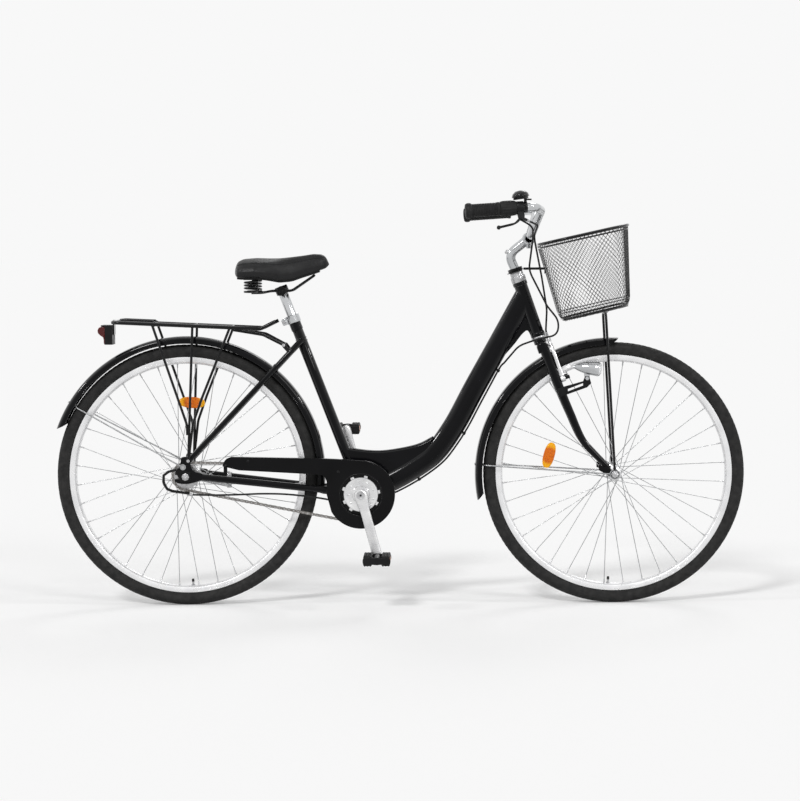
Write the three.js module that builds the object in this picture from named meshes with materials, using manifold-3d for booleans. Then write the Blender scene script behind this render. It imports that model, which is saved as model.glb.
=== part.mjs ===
// A step-through city bike with a front basket, mudguards, a rear carrier and a chain case.
// Lengths are in millimetres. +X is forward, +Z is up and the drive side faces -Y.
// The ground is Z = 0 and the middle of the wheelbase is X = 0.
import * as THREE from "three";
import { mergeVertices } from "three/addons/utils/BufferGeometryUtils.js";
import Module from "manifold-3d";

const wasm = await Module();
wasm.setup();

// Gaps and overruns that every piece shares.
const GAP = 0.3;
const RUN_GAP = 1;
const TURN_GAP = 0.5;
const OVERRUN = 2;
const SINK = 0.6;
const SLACK = 0.08;

// How finely round things are cut.
const WHEEL_SIDES = 36;
const ROUND_SIDES = 12;
const TUBE_SIDES = 8;
const SMALL_SIDES = 6;
const WIRE_SIDES = 5;

// Driving sizes of the whole bike.
const WHEELBASE = 1143;
const HEAD_ANGLE = 71;
const SEAT_ANGLE = 69;
const RAKE = 70;
const HUB_TO_BRACKET = 468.7;
const BRACKET_DROP = 50.8;

// Tyre and rim.
const TYRE_WIDTH = 39.2;
const RIM_RADIUS = 317;
const TYRE_HEIGHT = 33.5;
const TYRE_RADIUS = RIM_RADIUS + TYRE_HEIGHT;
const RIM_WIDTH = 25.2;
const RIM_DEPTH = 18.5;
const RIM_LIP = 1.6;
const RIM_WELL = 6;
const RIM_WELL_HALF = 9.4;
const RIM_SPINE_HALF = 7;
const RIM_SHOULDER = 4.5;
const TYRE_SHOULDER_SHARES = [[0.36, 1], [0.8, 0.76]];
const VALVE_RADIUS = 3;
const VALVE_LENGTH = 27;
const VALVE_HOLE = 4.2;
const VALVE_CAP = 7;
const VALVE_CAP_RADIUS = 3.8;

// Spokes and hubs.
const SPOKES = 36;
const SPOKE_RADIUS = 1;
const SPOKE_SIDES = 3;
const SPOKE_SWEEP = 60;
const SPOKE_RIM_HALF = 3;
const FRONT_WIDTH = 100;
const FRONT_FLANGE_RADIUS = 20;
const FRONT_FLANGE_Y = 30;
const FRONT_BARREL = 11;
const FRONT_END = 42;
const AXLE_RADIUS = 4.75;
const AXLE_BORE = 6.4;
const AXLE_HOLE = 5.4;
const FLANGE_HALF = 2.2;
const SPOKE_OFFSET = 1.3;
const REAR_WIDTH = 127;
const REAR_FLANGE_RADIUS = 32;
const REAR_FLANGE_RIGHT = -24;
const REAR_FLANGE_LEFT = 30;
const REAR_BARREL = 27;
const REAR_END_RIGHT = -34;
const REAR_END_LEFT = 44;
const REFLECTOR_LENGTH = 70;
const REFLECTOR_WIDTH = 30;
const REFLECTOR_HALF = 5;
const REFLECTOR_SLOT = 3.4;

// Where the main centres come to.
const HUB_X = WHEELBASE / 2;
const HUB_Z = TYRE_RADIUS;
const BRACKET_Z = HUB_Z - BRACKET_DROP;
const BRACKET_X = -HUB_X + Math.sqrt(HUB_TO_BRACKET ** 2 - BRACKET_DROP ** 2);

const bike = new THREE.Group();

const radians = THREE.MathUtils.degToRad;
const at = (x, y, z) => new THREE.Vector3(x, y, z);

// A closed geometry as a solid that can be cut and joined.
function solid(geometry) {
  const bare = geometry.clone();
  bare.deleteAttribute("normal");
  bare.deleteAttribute("uv");
  const merged = mergeVertices(bare);
  const index = merged.index.array;
  const kept = [];
  for (let i = 0; i < index.length; i += 3) {
    const [a, b, c] = [index[i], index[i + 1], index[i + 2]];
    if (a !== b && b !== c && a !== c) kept.push(a, b, c);
  }
  return new wasm.Manifold(new wasm.Mesh({
    numProp: 3,
    vertProperties: Float32Array.from(merged.attributes.position.array),
    triVerts: Uint32Array.from(kept),
  }));
}

// A solid becomes a named mesh of the bike.
function add(name, shape, look, place = bike) {
  const made = shape.simplify(SLACK).getMesh();
  const geometry = new THREE.BufferGeometry();
  geometry.setAttribute("position", new THREE.BufferAttribute(Float32Array.from(made.vertProperties), 3));
  geometry.setIndex(new THREE.BufferAttribute(Uint32Array.from(made.triVerts), 1));
  geometry.computeVertexNormals();
  const mesh = new THREE.Mesh(geometry, new THREE.MeshStandardMaterial(look));
  mesh.name = name;
  place.add(mesh);
  return mesh;
}

const join = (...shapes) => wasm.Manifold.union(shapes.flat());
const mirrored = (shape) => shape.mirror([0, 1, 0]);
const both = (shape) => join(shape, mirrored(shape));

// A cylinder or cone along Y between two places.
function drum(radius, from, to, sides = ROUND_SIDES, farRadius = radius) {
  const length = to - from;
  return solid(new THREE.CylinderGeometry(farRadius, radius, length, sides).translate(0, from + length / 2, 0));
}

// A cylinder or cone between two points.
function rod(from, to, radius, sides = TUBE_SIDES, farRadius = radius) {
  const run = to.clone().sub(from);
  const shape = new THREE.CylinderGeometry(farRadius, radius, run.length(), sides);
  const turn = new THREE.Quaternion().setFromUnitVectors(at(0, 1, 0), run.clone().normalize());
  shape.applyQuaternion(turn);
  const middle = from.clone().add(to).multiplyScalar(1 / 2);
  return solid(shape.translate(middle.x, middle.y, middle.z));
}

// A box between two corners.
function block(low, high) {
  const size = high.clone().sub(low);
  const middle = low.clone().add(high).multiplyScalar(1 / 2);
  return solid(new THREE.BoxGeometry(size.x, size.y, size.z).translate(middle.x, middle.y, middle.z));
}

// A profile of [radius, y] pairs that closes on itself, turned about Y.
function turned(profile, sides = WHEEL_SIDES) {
  const points = profile.map(([radius, y]) => new THREE.Vector2(radius, y));
  if (THREE.ShapeUtils.area(points) < 0) points.reverse();
  points.push(points[0].clone());
  return solid(new THREE.LatheGeometry(points, sides));
}

// A polygon with as many corners as asked for, as wide and as deep as asked for.
function oval(halfWidth, halfDepth, sides) {
  const points = [];
  for (let i = 0; i < sides; i += 1) {
    const angle = radians(360 / sides) * (i + 1 / 2);
    points.push(new THREE.Vector2(Math.cos(angle) * halfWidth, Math.sin(angle) * halfDepth));
  }
  return new THREE.Shape(points);
}

// A route of straight runs joined by rounded bends, with a section at each of its stations.
class Route extends THREE.Curve {
  constructor(corners, bend = 0, bendSteps = 3) {
    super();
    this.stations = [corners[0]];
    corners.slice(1, -1).forEach((here, i) => {
      const back = corners[i].clone().sub(here);
      const on = corners[i + 2].clone().sub(here);
      const turn = Math.PI - back.angleTo(on);
      const reach = Math.min(bend * Math.tan(turn / 2), back.length() / 2.02, on.length() / 2.02);
      const start = here.clone().addScaledVector(back.normalize(), reach);
      const end = here.clone().addScaledVector(on.normalize(), reach);
      const curve = new THREE.QuadraticBezierCurve3(start, here, end);
      if (reach > 0) this.stations.push(...curve.getPoints(bendSteps));
      else this.stations.push(here);
    });
    this.stations.push(corners[corners.length - 1]);
  }

  getPoint(share) {
    const place = share * (this.stations.length - 1);
    const before = Math.min(Math.floor(place), this.stations.length - 2);
    return this.stations[before].clone().lerp(this.stations[before + 1], place - before);
  }

  getPointAt(share) {
    return this.getPoint(share);
  }

  getTangentAt(share, target = at(0, 0, 0)) {
    const here = Math.round(share * (this.stations.length - 1));
    target.set(0, 0, 0);
    for (const [a, b] of [[here - 1, here], [here, here + 1]]) {
      if (a < 0 || b >= this.stations.length) continue;
      target.add(this.stations[b].clone().sub(this.stations[a]).normalize());
    }
    return target.normalize();
  }
}

// A section swept along rounded corners, or along a curve in even steps.
function swept(shape, path, steps) {
  const count = steps ?? path.stations.length - 1;
  return solid(new THREE.ExtrudeGeometry(shape, { steps: count, bevelEnabled: false, extrudePath: path }));
}

function tube(corners, radius, bend, sides = TUBE_SIDES, bendSteps = 3) {
  return swept(oval(radius, radius, sides), new Route(corners, bend, bendSteps));
}

// A tube that is as high as asked for but wider or narrower along Y.
function flatTube(corners, halfHeight, halfWidth, bend, sides = TUBE_SIDES, bendSteps = 3) {
  const ratio = halfHeight / halfWidth;
  const spreadOut = corners.map((corner) => corner.clone().setY(corner.y * ratio));
  return tube(spreadOut, halfHeight, bend, sides, bendSteps).scale([1, 1 / ratio, 1]);
}

// An outline in X and Z with a thickness along Y.
function plate(outline, from, to, holes = []) {
  const edge = outline.map(([x, z]) => new THREE.Vector2(x, z));
  if (THREE.ShapeUtils.isClockWise(edge)) edge.reverse();
  const shape = new THREE.Shape(edge);
  for (const hole of holes) shape.holes.push(new THREE.Path(hole.map(([x, z]) => new THREE.Vector2(x, z))));
  const sheet = new THREE.ExtrudeGeometry(shape, { depth: to - from, bevelEnabled: false, curveSegments: 1 });
  return solid(sheet.rotateX(radians(90)).translate(0, to, 0));
}

// Points of an arc in X and Z about a centre, angles in degrees from +X towards +Z.
function arc(centreX, centreZ, radius, from, to, steps) {
  const points = [];
  for (let i = 0; i <= steps; i += 1) {
    const angle = radians(from + (to - from) * (i / steps));
    points.push([centreX + Math.cos(angle) * radius, centreZ + Math.sin(angle) * radius]);
  }
  return points;
}

// The paints and stuffs of the bike.
const PAINT = { color: 0x08080a, roughness: 0.18, metalness: 0.2 };
const CHROME = { color: 0xc9cacb, roughness: 0.25, metalness: 1 };
const ALLOY = { color: 0xb4b6b8, roughness: 0.4, metalness: 0.9 };
const STEEL = { color: 0x8f9193, roughness: 0.4, metalness: 1 };
const BLACK = { color: 0x17181a, roughness: 0.5, metalness: 0.1 };
const RUBBER = { color: 0x1c1c1e, roughness: 0.85, metalness: 0 };
const AMBER = { color: 0xf08a12, roughness: 0.25, metalness: 0 };
const RED = { color: 0xa02a24, roughness: 0.25, metalness: 0 };
const CLEAR = { color: 0xdfe3e6, roughness: 0.15, metalness: 0 };
const LEATHER = { color: 0x19191b, roughness: 0.6, metalness: 0 };

// Wheels. Each is built about its own axle and then set in its group.
const SPOKE_PHASE = 5;
const SPOKE_STEP = 360 / SPOKES;
const SPOKE_END = (RIM_RADIUS - RIM_DEPTH) * Math.cos(radians(180 / WHEEL_SIDES)) - GAP;

function spokeEnds(circle, right, left) {
  const ends = [];
  for (let i = 0; i < SPOKES; i += 1) {
    const rimAngle = radians(SPOKE_PHASE + SPOKE_STEP * i);
    const trailing = Math.floor(i / 2) % 2 === 0 ? 1 : -1;
    const hubAngle = rimAngle + radians(SPOKE_SWEEP) * trailing;
    const side = i % 2 === 0 ? -1 : 1;
    const flange = (side < 0 ? right : left) + trailing * SPOKE_OFFSET;
    ends.push([
      at(Math.cos(hubAngle) * circle, flange, Math.sin(hubAngle) * circle),
      at(Math.cos(rimAngle) * SPOKE_END, side * SPOKE_RIM_HALF + trailing * SPOKE_OFFSET, Math.sin(rimAngle) * SPOKE_END),
    ]);
  }
  return ends;
}

function flange(radius, y) {
  return drum(radius, y - FLANGE_HALF, y + FLANGE_HALF);
}

function rimShape(valveAngle) {
  const well = RIM_RADIUS - RIM_WELL;
  const spine = RIM_RADIUS - RIM_DEPTH;
  const half = RIM_WIDTH / 2;
  const side = [
    [spine, RIM_SPINE_HALF], [spine + RIM_SHOULDER, half], [RIM_RADIUS, half], [well, RIM_WELL_HALF],
  ];
  const ring = turned([...side, ...side.map(([r, y]) => [r, -y]).reverse()]);
  const hole = rod(at(spine - OVERRUN, 0, 0), at(RIM_RADIUS, 0, 0), VALVE_HOLE);
  return ring.subtract(hole.rotate([0, -valveAngle, 0]));
}

function tyreShape(valveAngle) {
  const seat = RIM_RADIUS - RIM_WELL + GAP;
  const crown = TYRE_RADIUS - RIM_RADIUS;
  const half = TYRE_WIDTH / 2;
  const side = [
    [seat, RIM_WELL_HALF - GAP],
    ...TYRE_SHOULDER_SHARES.map(([up, out]) => [RIM_RADIUS + up * crown, out * half]),
  ];
  const ring = turned([...side, [TYRE_RADIUS, 0], ...side.map(([r, y]) => [r, -y]).reverse()]);
  const tip = seat - VALVE_LENGTH;
  const stem = rod(at(tip, 0, 0), at(seat + OVERRUN, 0, 0), VALVE_RADIUS, SMALL_SIDES);
  const cap = rod(at(tip - SINK, 0, 0), at(tip + VALVE_CAP, 0, 0), VALVE_CAP_RADIUS, SMALL_SIDES);
  return join(ring, join(stem, cap).rotate([0, -valveAngle, 0]));
}

function reflectorShape(ends, angle, radius, y) {
  const outline = oval(REFLECTOR_WIDTH / 2, REFLECTOR_LENGTH / 2, ROUND_SIDES).getPoints();
  const plain = plate(outline.map((p) => [radius + p.x, p.y]), y - REFLECTOR_HALF, y + REFLECTOR_HALF);
  const slots = ends.map(([from, to]) => rod(from, to, REFLECTOR_SLOT / 2, SMALL_SIDES));
  return plain.rotate([0, -angle, 0]).subtract(join(slots));
}

function wheel(name, hubX, ends, hub, valveAngle, reflectorAngle, reflectorRadius, reflectorY) {
  const group = new THREE.Group();
  group.position.set(hubX, 0, HUB_Z);
  bike.add(group);
  const laced = join(hub, ends.map(([from, to]) => rod(from, to, SPOKE_RADIUS, SPOKE_SIDES)));
  add(`${name}_hub`, laced, ALLOY, group);
  add(`${name}_rim`, rimShape(valveAngle), ALLOY, group);
  add(`${name}_tyre`, tyreShape(valveAngle), RUBBER, group);
  add(`${name}_reflector`, reflectorShape(ends, reflectorAngle, reflectorRadius, reflectorY), AMBER, group);
}

const FRONT_VALVE_ANGLE = 267;
const REAR_VALVE_ANGLE = 272;
const FRONT_REFLECTOR_ANGLE = 164.4;
const REAR_REFLECTOR_ANGLE = 86;
const FRONT_REFLECTOR_RADIUS = 180;
const REAR_REFLECTOR_RADIUS = 195.5;
const FRONT_REFLECTOR_SHARE = 0.42;
const REAR_REFLECTOR_SHARE = 0.4;

const frontHub = join(
  drum(FRONT_BARREL, -FRONT_END, FRONT_END),
  flange(FRONT_FLANGE_RADIUS, FRONT_FLANGE_Y),
  flange(FRONT_FLANGE_RADIUS, -FRONT_FLANGE_Y),
).subtract(drum(AXLE_BORE, -FRONT_END - OVERRUN, FRONT_END + OVERRUN));
wheel(
  "front_wheel", HUB_X, spokeEnds(FRONT_FLANGE_RADIUS - RUN_GAP, -FRONT_FLANGE_Y, FRONT_FLANGE_Y), frontHub,
  FRONT_VALVE_ANGLE, FRONT_REFLECTOR_ANGLE, FRONT_REFLECTOR_RADIUS, -FRONT_FLANGE_Y * FRONT_REFLECTOR_SHARE,
);

const REAR_HUB_TAPER = 12;
const REAR_HUB_NOSE = 19;
const rearHub = join(
  drum(REAR_BARREL, REAR_END_RIGHT, REAR_END_LEFT - REAR_HUB_TAPER),
  drum(REAR_BARREL, REAR_END_LEFT - REAR_HUB_TAPER, REAR_END_LEFT, ROUND_SIDES, REAR_HUB_NOSE),
  flange(REAR_FLANGE_RADIUS, REAR_FLANGE_RIGHT),
  flange(REAR_FLANGE_RADIUS, REAR_FLANGE_LEFT),
).subtract(drum(AXLE_BORE, REAR_END_RIGHT - OVERRUN, REAR_END_LEFT + OVERRUN));
wheel(
  "rear_wheel", -HUB_X, spokeEnds(REAR_FLANGE_RADIUS - RUN_GAP, REAR_FLANGE_RIGHT, REAR_FLANGE_LEFT), rearHub,
  REAR_VALVE_ANGLE, REAR_REFLECTOR_ANGLE, REAR_REFLECTOR_RADIUS, REAR_FLANGE_RIGHT * REAR_REFLECTOR_SHARE,
);

// Steering pieces are drawn upright about the steering axis, from the foot of the rake, and then leaned.
const STEER_X = HUB_X - RAKE * Math.sin(radians(HEAD_ANGLE));
const STEER_Z = HUB_Z - RAKE * Math.cos(radians(HEAD_ANGLE));
const leaned = (shape) => shape.rotate([0, HEAD_ANGLE - 90, 0]).translate([STEER_X, 0, STEER_Z]);
const upright = (radius, from, to, sides = ROUND_SIDES) => rod(at(0, 0, from), at(0, 0, to), radius, sides);

// The point that lies so far along the steering axis and so far ahead of it.
function steerPoint(along, ahead = 0, y = 0) {
  const lean = radians(90 - HEAD_ANGLE);
  return at(
    STEER_X - along * Math.sin(lean) + ahead * Math.cos(lean), y,
    STEER_Z + along * Math.cos(lean) + ahead * Math.sin(lean),
  );
}

// Frame.
const HEAD_BOTTOM = 413;
const HEAD_LENGTH = 153;
const HEAD_RADIUS = 18;
const HEAD_BORE = 15.5;
const HEAD_RING = 1.6;
const HEAD_RING_HEIGHT = 9;
const SHELL_WIDTH = 68;
const SHELL_RADIUS = 21;
const SHELL_BORE = 17;
const SEAT_TUBE_LENGTH = 496;
const SEAT_TUBE_RADIUS = 14.3;
const POST_RADIUS = 12.7;
const MAIN_HALF_WIDTH = 20;
const MAIN_HALF_DEPTH = 29.5;
const MAIN_SPAN = 439.5;
const MAIN_RISE = 521.3;
const MAIN_SHARES = [
  [0, 0], [0.178, 0.06], [0.36, 0.148], [0.451, 0.208], [0.565, 0.34], [0.693, 0.538], [0.84, 0.758], [1, 1],
  [1.06, 1.09],
];
const MAIN_STEPS = 14;
const MAIN_SIDES = 14;
const WEB_SHARES = [
  [-0.1, 0.232], [-0.03, 0.222], [0.109, 0.212], [0.272, 0.23], [0.36, 0.25], [0.44, 0.285],
  [0.4, 0.2], [0.178, 0.07], [0, 0.02],
];
const WEB_HALF = 13;
const HEAD_WEB_HALF = 3;
const HEAD_WEB_DROP = 62;
const HEAD_WEB_REACH = 22;
const CHAINSTAY_HALF_HEIGHT = 11;
const CHAINSTAY_HALF_WIDTH = 8;
const CHAINSTAY_BRACKET_Y = 24;
const CHAINSTAY_WAIST_Y = 36;
const CHAINSTAY_WAIST_SHARE = 0.24;
const STAY_END_Y = 61;
const STAY_END_X = 26;
const SEATSTAY_RADIUS = 8;
const SEATSTAY_TOP_DROP = 56;
const SEATSTAY_TOP_Y = 15;
const SEATSTAY_BEND_Y = 27;
const SEATSTAY_WAIST_Y = 37;
const SEATSTAY_BEND_SHARE = 0.09;
const SEATSTAY_WAIST_SHARE = 0.22;
const SEATSTAY_END_X = 3.5;
const SEATSTAY_END_Z = 36.5;
const DROPOUT_THICKNESS = 5;
const DROPOUT_OUTLINE = [
  [-27, -13], [2, -19], [34, -12], [46, -6], [46, 8], [24, 14], [14, 30], [14, 50], [-10, 52], [-14, 30], [-27, 13],
];
const BRIDGE_RADIUS = 6;
const STAND_PLATE_THICKNESS = 6;
const STAND_PLATE_LENGTH = 48;
const STAND_PLATE_GAP = 8;
const STAND_HOLE = 5.2;
const MUDGUARD_CLEAR = 19.5;
const FRONT_MUDGUARD_CLEAR = 15.5;
const MUDGUARD_RADIUS = TYRE_RADIUS + MUDGUARD_CLEAR;
const FRONT_MUDGUARD_RADIUS = TYRE_RADIUS + FRONT_MUDGUARD_CLEAR;
const UPPER_BRIDGE_ANGLE = 50.6;
const LOWER_BRIDGE_ANGLE = -6.2;

const seatLean = radians(90 - SEAT_ANGLE);
const seatPoint = (along, behind = 0, y = 0) => at(
  BRACKET_X - along * Math.sin(seatLean) - behind * Math.cos(seatLean), y,
  BRACKET_Z + along * Math.cos(seatLean) - behind * Math.sin(seatLean),
);
const mainPoint = ([span, rise]) => [BRACKET_X + span * MAIN_SPAN, BRACKET_Z + rise * MAIN_RISE];
const mainCurve = new THREE.CatmullRomCurve3(MAIN_SHARES.map(mainPoint).map(([x, z]) => at(x, 0, z)));

const headTop = HEAD_BOTTOM + HEAD_LENGTH;
const aheadOfHead = leaned(block(at(0, -HEAD_LENGTH, 0), at(HEAD_LENGTH, HEAD_LENGTH, headTop * 2)));
const mainTube = swept(oval(MAIN_HALF_WIDTH, MAIN_HALF_DEPTH, MAIN_SIDES), mainCurve, MAIN_STEPS)
  .subtract(aheadOfHead);
const headTube = leaned(join(
  upright(HEAD_RADIUS, HEAD_BOTTOM, headTop),
  upright(HEAD_RADIUS + HEAD_RING, HEAD_BOTTOM, HEAD_BOTTOM + HEAD_RING_HEIGHT),
  upright(HEAD_RADIUS + HEAD_RING, headTop - HEAD_RING_HEIGHT, headTop),
));
const headBore = leaned(upright(HEAD_BORE, HEAD_BOTTOM - OVERRUN, headTop + OVERRUN));

const underMain = mainCurve.getPoint(7 / 9).clone();
const headWebTop = steerPoint(HEAD_BOTTOM + HEAD_WEB_DROP * 2, -HEAD_RADIUS);
const headWebFoot = steerPoint(HEAD_BOTTOM + HEAD_RING_HEIGHT, -HEAD_RADIUS + OVERRUN);
const headWebBack = at(underMain.x + HEAD_WEB_REACH, 0, underMain.z - HEAD_WEB_REACH / 2);
const headWeb = plate(
  [headWebTop, headWebFoot, headWebBack, underMain].map((p) => [p.x, p.z]), -HEAD_WEB_HALF, HEAD_WEB_HALF,
);
const seatTube = rod(seatPoint(0), seatPoint(SEAT_TUBE_LENGTH), SEAT_TUBE_RADIUS, ROUND_SIDES);
const seatBore = rod(
  seatPoint(SEAT_TUBE_LENGTH / 3), seatPoint(SEAT_TUBE_LENGTH + OVERRUN), POST_RADIUS + GAP, ROUND_SIDES,
);
const web = plate(WEB_SHARES.map(mainPoint), -WEB_HALF, WEB_HALF);

const dropoutIn = REAR_WIDTH / 2;
const dropout = plate(
  DROPOUT_OUTLINE.map(([x, z]) => [-HUB_X + x, HUB_Z + z]), -dropoutIn - DROPOUT_THICKNESS, -dropoutIn,
);
const axleSlot = join(
  drum(AXLE_HOLE, -REAR_WIDTH, REAR_WIDTH, TUBE_SIDES),
  block(
    at(DROPOUT_OUTLINE[0][0] * 2, -REAR_WIDTH, -AXLE_HOLE), at(0, REAR_WIDTH, AXLE_HOLE),
  ),
).translate([-HUB_X, 0, HUB_Z]);

const stayFoot = at(-HUB_X + STAY_END_X, -STAY_END_Y, HUB_Z);
const bracketFoot = at(BRACKET_X, -CHAINSTAY_BRACKET_Y, BRACKET_Z);
const chainstayAt = (share, y) => bracketFoot.clone().lerp(stayFoot, share).setY(-y);
const chainstay = flatTube(
  [bracketFoot, chainstayAt(CHAINSTAY_WAIST_SHARE, CHAINSTAY_WAIST_Y), stayFoot],
  CHAINSTAY_HALF_HEIGHT, CHAINSTAY_HALF_WIDTH, SEAT_TUBE_LENGTH / 2,
);
const seatstayTop = seatPoint(SEAT_TUBE_LENGTH - SEATSTAY_TOP_DROP, 0, -SEATSTAY_TOP_Y);
const seatstayEnd = at(-HUB_X + SEATSTAY_END_X, -STAY_END_Y, HUB_Z + SEATSTAY_END_Z);
const seatstayAt = (share, y) => seatstayTop.clone().lerp(seatstayEnd, share).setY(-y);
const seatstay = tube(
  [
    seatstayTop, seatstayAt(SEATSTAY_BEND_SHARE, SEATSTAY_BEND_Y),
    seatstayAt(SEATSTAY_WAIST_SHARE, SEATSTAY_WAIST_Y), seatstayEnd,
  ], SEATSTAY_RADIUS, SEATSTAY_TOP_DROP, TUBE_SIDES, 2,
);
const bridgePlace = (angle) => [
  -HUB_X + Math.cos(radians(angle)) * (MUDGUARD_RADIUS + GAP + BRIDGE_RADIUS), 0,
  HUB_Z + Math.sin(radians(angle)) * (MUDGUARD_RADIUS + GAP + BRIDGE_RADIUS),
];
const upperBridge = drum(BRIDGE_RADIUS, -SEATSTAY_WAIST_Y, SEATSTAY_WAIST_Y, TUBE_SIDES)
  .translate(bridgePlace(UPPER_BRIDGE_ANGLE));
const lowerBridge = drum(BRIDGE_RADIUS, -CHAINSTAY_WAIST_Y, CHAINSTAY_WAIST_Y, TUBE_SIDES)
  .translate(bridgePlace(LOWER_BRIDGE_ANGLE));
const standTop = bridgePlace(LOWER_BRIDGE_ANGLE)[2] - CHAINSTAY_HALF_HEIGHT + SINK * 2;
const standFront = BRACKET_X - SHELL_RADIUS - STAND_PLATE_GAP;
const standPlate = block(
  at(standFront - STAND_PLATE_LENGTH, -CHAINSTAY_WAIST_Y, standTop - STAND_PLATE_THICKNESS),
  at(standFront, CHAINSTAY_WAIST_Y, standTop),
).subtract(rod(
  at(standFront - STAND_PLATE_LENGTH / 2, 0, standTop - STAND_PLATE_THICKNESS * 2),
  at(standFront - STAND_PLATE_LENGTH / 2, 0, standTop + OVERRUN), STAND_HOLE,
));

const shell = drum(SHELL_RADIUS, -SHELL_WIDTH / 2, SHELL_WIDTH / 2).translate([BRACKET_X, 0, BRACKET_Z]);
const shellBore = drum(SHELL_BORE, -SHELL_WIDTH, SHELL_WIDTH).translate([BRACKET_X, 0, BRACKET_Z]);
const frame = join(
  mainTube, headTube, headWeb, seatTube, web, shell, standPlate, upperBridge, lowerBridge,
  both(join(chainstay, seatstay, dropout)),
).subtract(join(headBore, seatBore, shellBore, axleSlot));
add("frame", frame, PAINT);

// Headset: a cup at each end of the head tube, with its lip pressed into the tube.
const STEERER_RADIUS = 12.7;
const CUP_RADIUS = 20;
const CUP_LIP = 12;
const UPPER_CUP_HEIGHT = 29;
const LOWER_CUP_HEIGHT = 17;
const CUP_STEP = 2.5;
const CUP_NECK_SHARE = 0.55;

function cup(height) {
  const step = height * CUP_NECK_SHARE;
  return join(
    upright(CUP_RADIUS, GAP, step), upright(CUP_RADIUS - CUP_STEP, step - SINK, height),
    upright(HEAD_BORE - GAP, -CUP_LIP, GAP + SINK),
  ).subtract(upright(STEERER_RADIUS + TURN_GAP, -CUP_LIP - OVERRUN, height + OVERRUN));
}
add("headset_upper_cup", leaned(cup(UPPER_CUP_HEIGHT).translate([0, 0, headTop])), STEEL);
add("headset_lower_cup", leaned(cup(LOWER_CUP_HEIGHT).mirror([0, 0, 1]).translate([0, 0, HEAD_BOTTOM])), STEEL);

// Bottom bracket: a cartridge in the shell with a flange on each side, and the spindle that turns in it.
const SPINDLE_RADIUS = 8.5;
const CARTRIDGE_BORE = 9.2;
const FLANGE_RADIUS = 20;
const FLANGE_THICKNESS = 3;
const CRANK_IN = 52;
const SPINDLE_END = 66;
const cartridge = join(
  drum(SHELL_BORE - GAP, -SHELL_WIDTH / 2 - GAP - SINK, SHELL_WIDTH / 2 + GAP + SINK),
  both(drum(FLANGE_RADIUS, SHELL_WIDTH / 2 + GAP, SHELL_WIDTH / 2 + GAP + FLANGE_THICKNESS)),
).subtract(drum(CARTRIDGE_BORE, -SHELL_WIDTH, SHELL_WIDTH));
add("bottom_bracket", cartridge.translate([BRACKET_X, 0, BRACKET_Z]), STEEL);

// Seat clamp: a split collar on the seat tube with a bolt through its ears.
const COLLAR_RADIUS = 18.5;
const COLLAR_HEIGHT = 22;
const COLLAR_RISE = 1.5;
const EAR_LENGTH = 13;
const EAR_HALF = 9;
const SPLIT_HALF = 1.2;
const CLAMP_BOLT = 3;
const collarTop = SEAT_TUBE_LENGTH + COLLAR_RISE;
const collarRing = rod(
  seatPoint(collarTop - COLLAR_HEIGHT), seatPoint(collarTop), COLLAR_RADIUS, ROUND_SIDES,
);
const ear = (y) => plate([
  seatPoint(collarTop - COLLAR_HEIGHT, COLLAR_RADIUS - SPLIT_HALF * 2),
  seatPoint(collarTop - COLLAR_HEIGHT, COLLAR_RADIUS + EAR_LENGTH),
  seatPoint(collarTop, COLLAR_RADIUS + EAR_LENGTH),
  seatPoint(collarTop, COLLAR_RADIUS - SPLIT_HALF * 2),
].map((p) => [p.x, p.z]), y > 0 ? SPLIT_HALF : -EAR_HALF, y > 0 ? EAR_HALF : -SPLIT_HALF);
const clampBolt = seatPoint(collarTop - COLLAR_HEIGHT / 2, COLLAR_RADIUS + EAR_LENGTH / 2);
const seatClamp = join(
  collarRing, ear(1), ear(-1),
  drum(CLAMP_BOLT, -EAR_HALF * 1.5, EAR_HALF * 1.5, SMALL_SIDES).translate([clampBolt.x, 0, clampBolt.z]),
).subtract(rod(
  seatPoint(collarTop - COLLAR_HEIGHT - OVERRUN), seatPoint(SEAT_TUBE_LENGTH + GAP),
  SEAT_TUBE_RADIUS + GAP, ROUND_SIDES,
)).subtract(rod(
  seatPoint(SEAT_TUBE_LENGTH), seatPoint(collarTop + OVERRUN), POST_RADIUS + GAP, ROUND_SIDES,
));
add("seat_clamp", seatClamp, CHROME);

// Axles: a threaded rod with the bearing cones that the hub turns on, and a nut outside each dropout.
const NUT_RADIUS = 8.6;
const NUT_THICKNESS = 9;
const NUT_SIDES = 6;
const AXLE_STICK = 4;
const WASHER_RADIUS = 10;
const WASHER_THICKNESS = 2;
const CONE_DEPTH = 9;
const CONE_RADIUS = 8;
const FORK_TIP = 5;

function nutShape(seat) {
  return join(
    drum(WASHER_RADIUS, seat, seat + WASHER_THICKNESS + SINK, TUBE_SIDES),
    drum(NUT_RADIUS, seat + WASHER_THICKNESS, seat + WASHER_THICKNESS + NUT_THICKNESS, NUT_SIDES),
    drum(AXLE_RADIUS, 0, seat + WASHER_THICKNESS + NUT_THICKNESS + AXLE_STICK, SMALL_SIDES),
  );
}

// The spacers reach from the hub to the plates, and the nuts sit on the plates or on what hangs there.
function axle(width, plateThickness, hubRight, hubLeft, rightHung, leftHung) {
  const inner = width / 2 - GAP;
  const outer = width / 2 + plateThickness + GAP;
  return join(
    nutShape(outer + leftHung), mirrored(nutShape(outer + rightHung)),
    drum(AXLE_BORE - GAP, hubLeft - CONE_DEPTH, hubLeft + RUN_GAP + SINK, TUBE_SIDES),
    drum(AXLE_BORE - GAP, hubRight - RUN_GAP - SINK, hubRight + CONE_DEPTH, TUBE_SIDES),
    drum(CONE_RADIUS, hubLeft + RUN_GAP, inner, TUBE_SIDES),
    drum(CONE_RADIUS, -inner, hubRight - RUN_GAP, TUBE_SIDES),
  );
}

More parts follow.
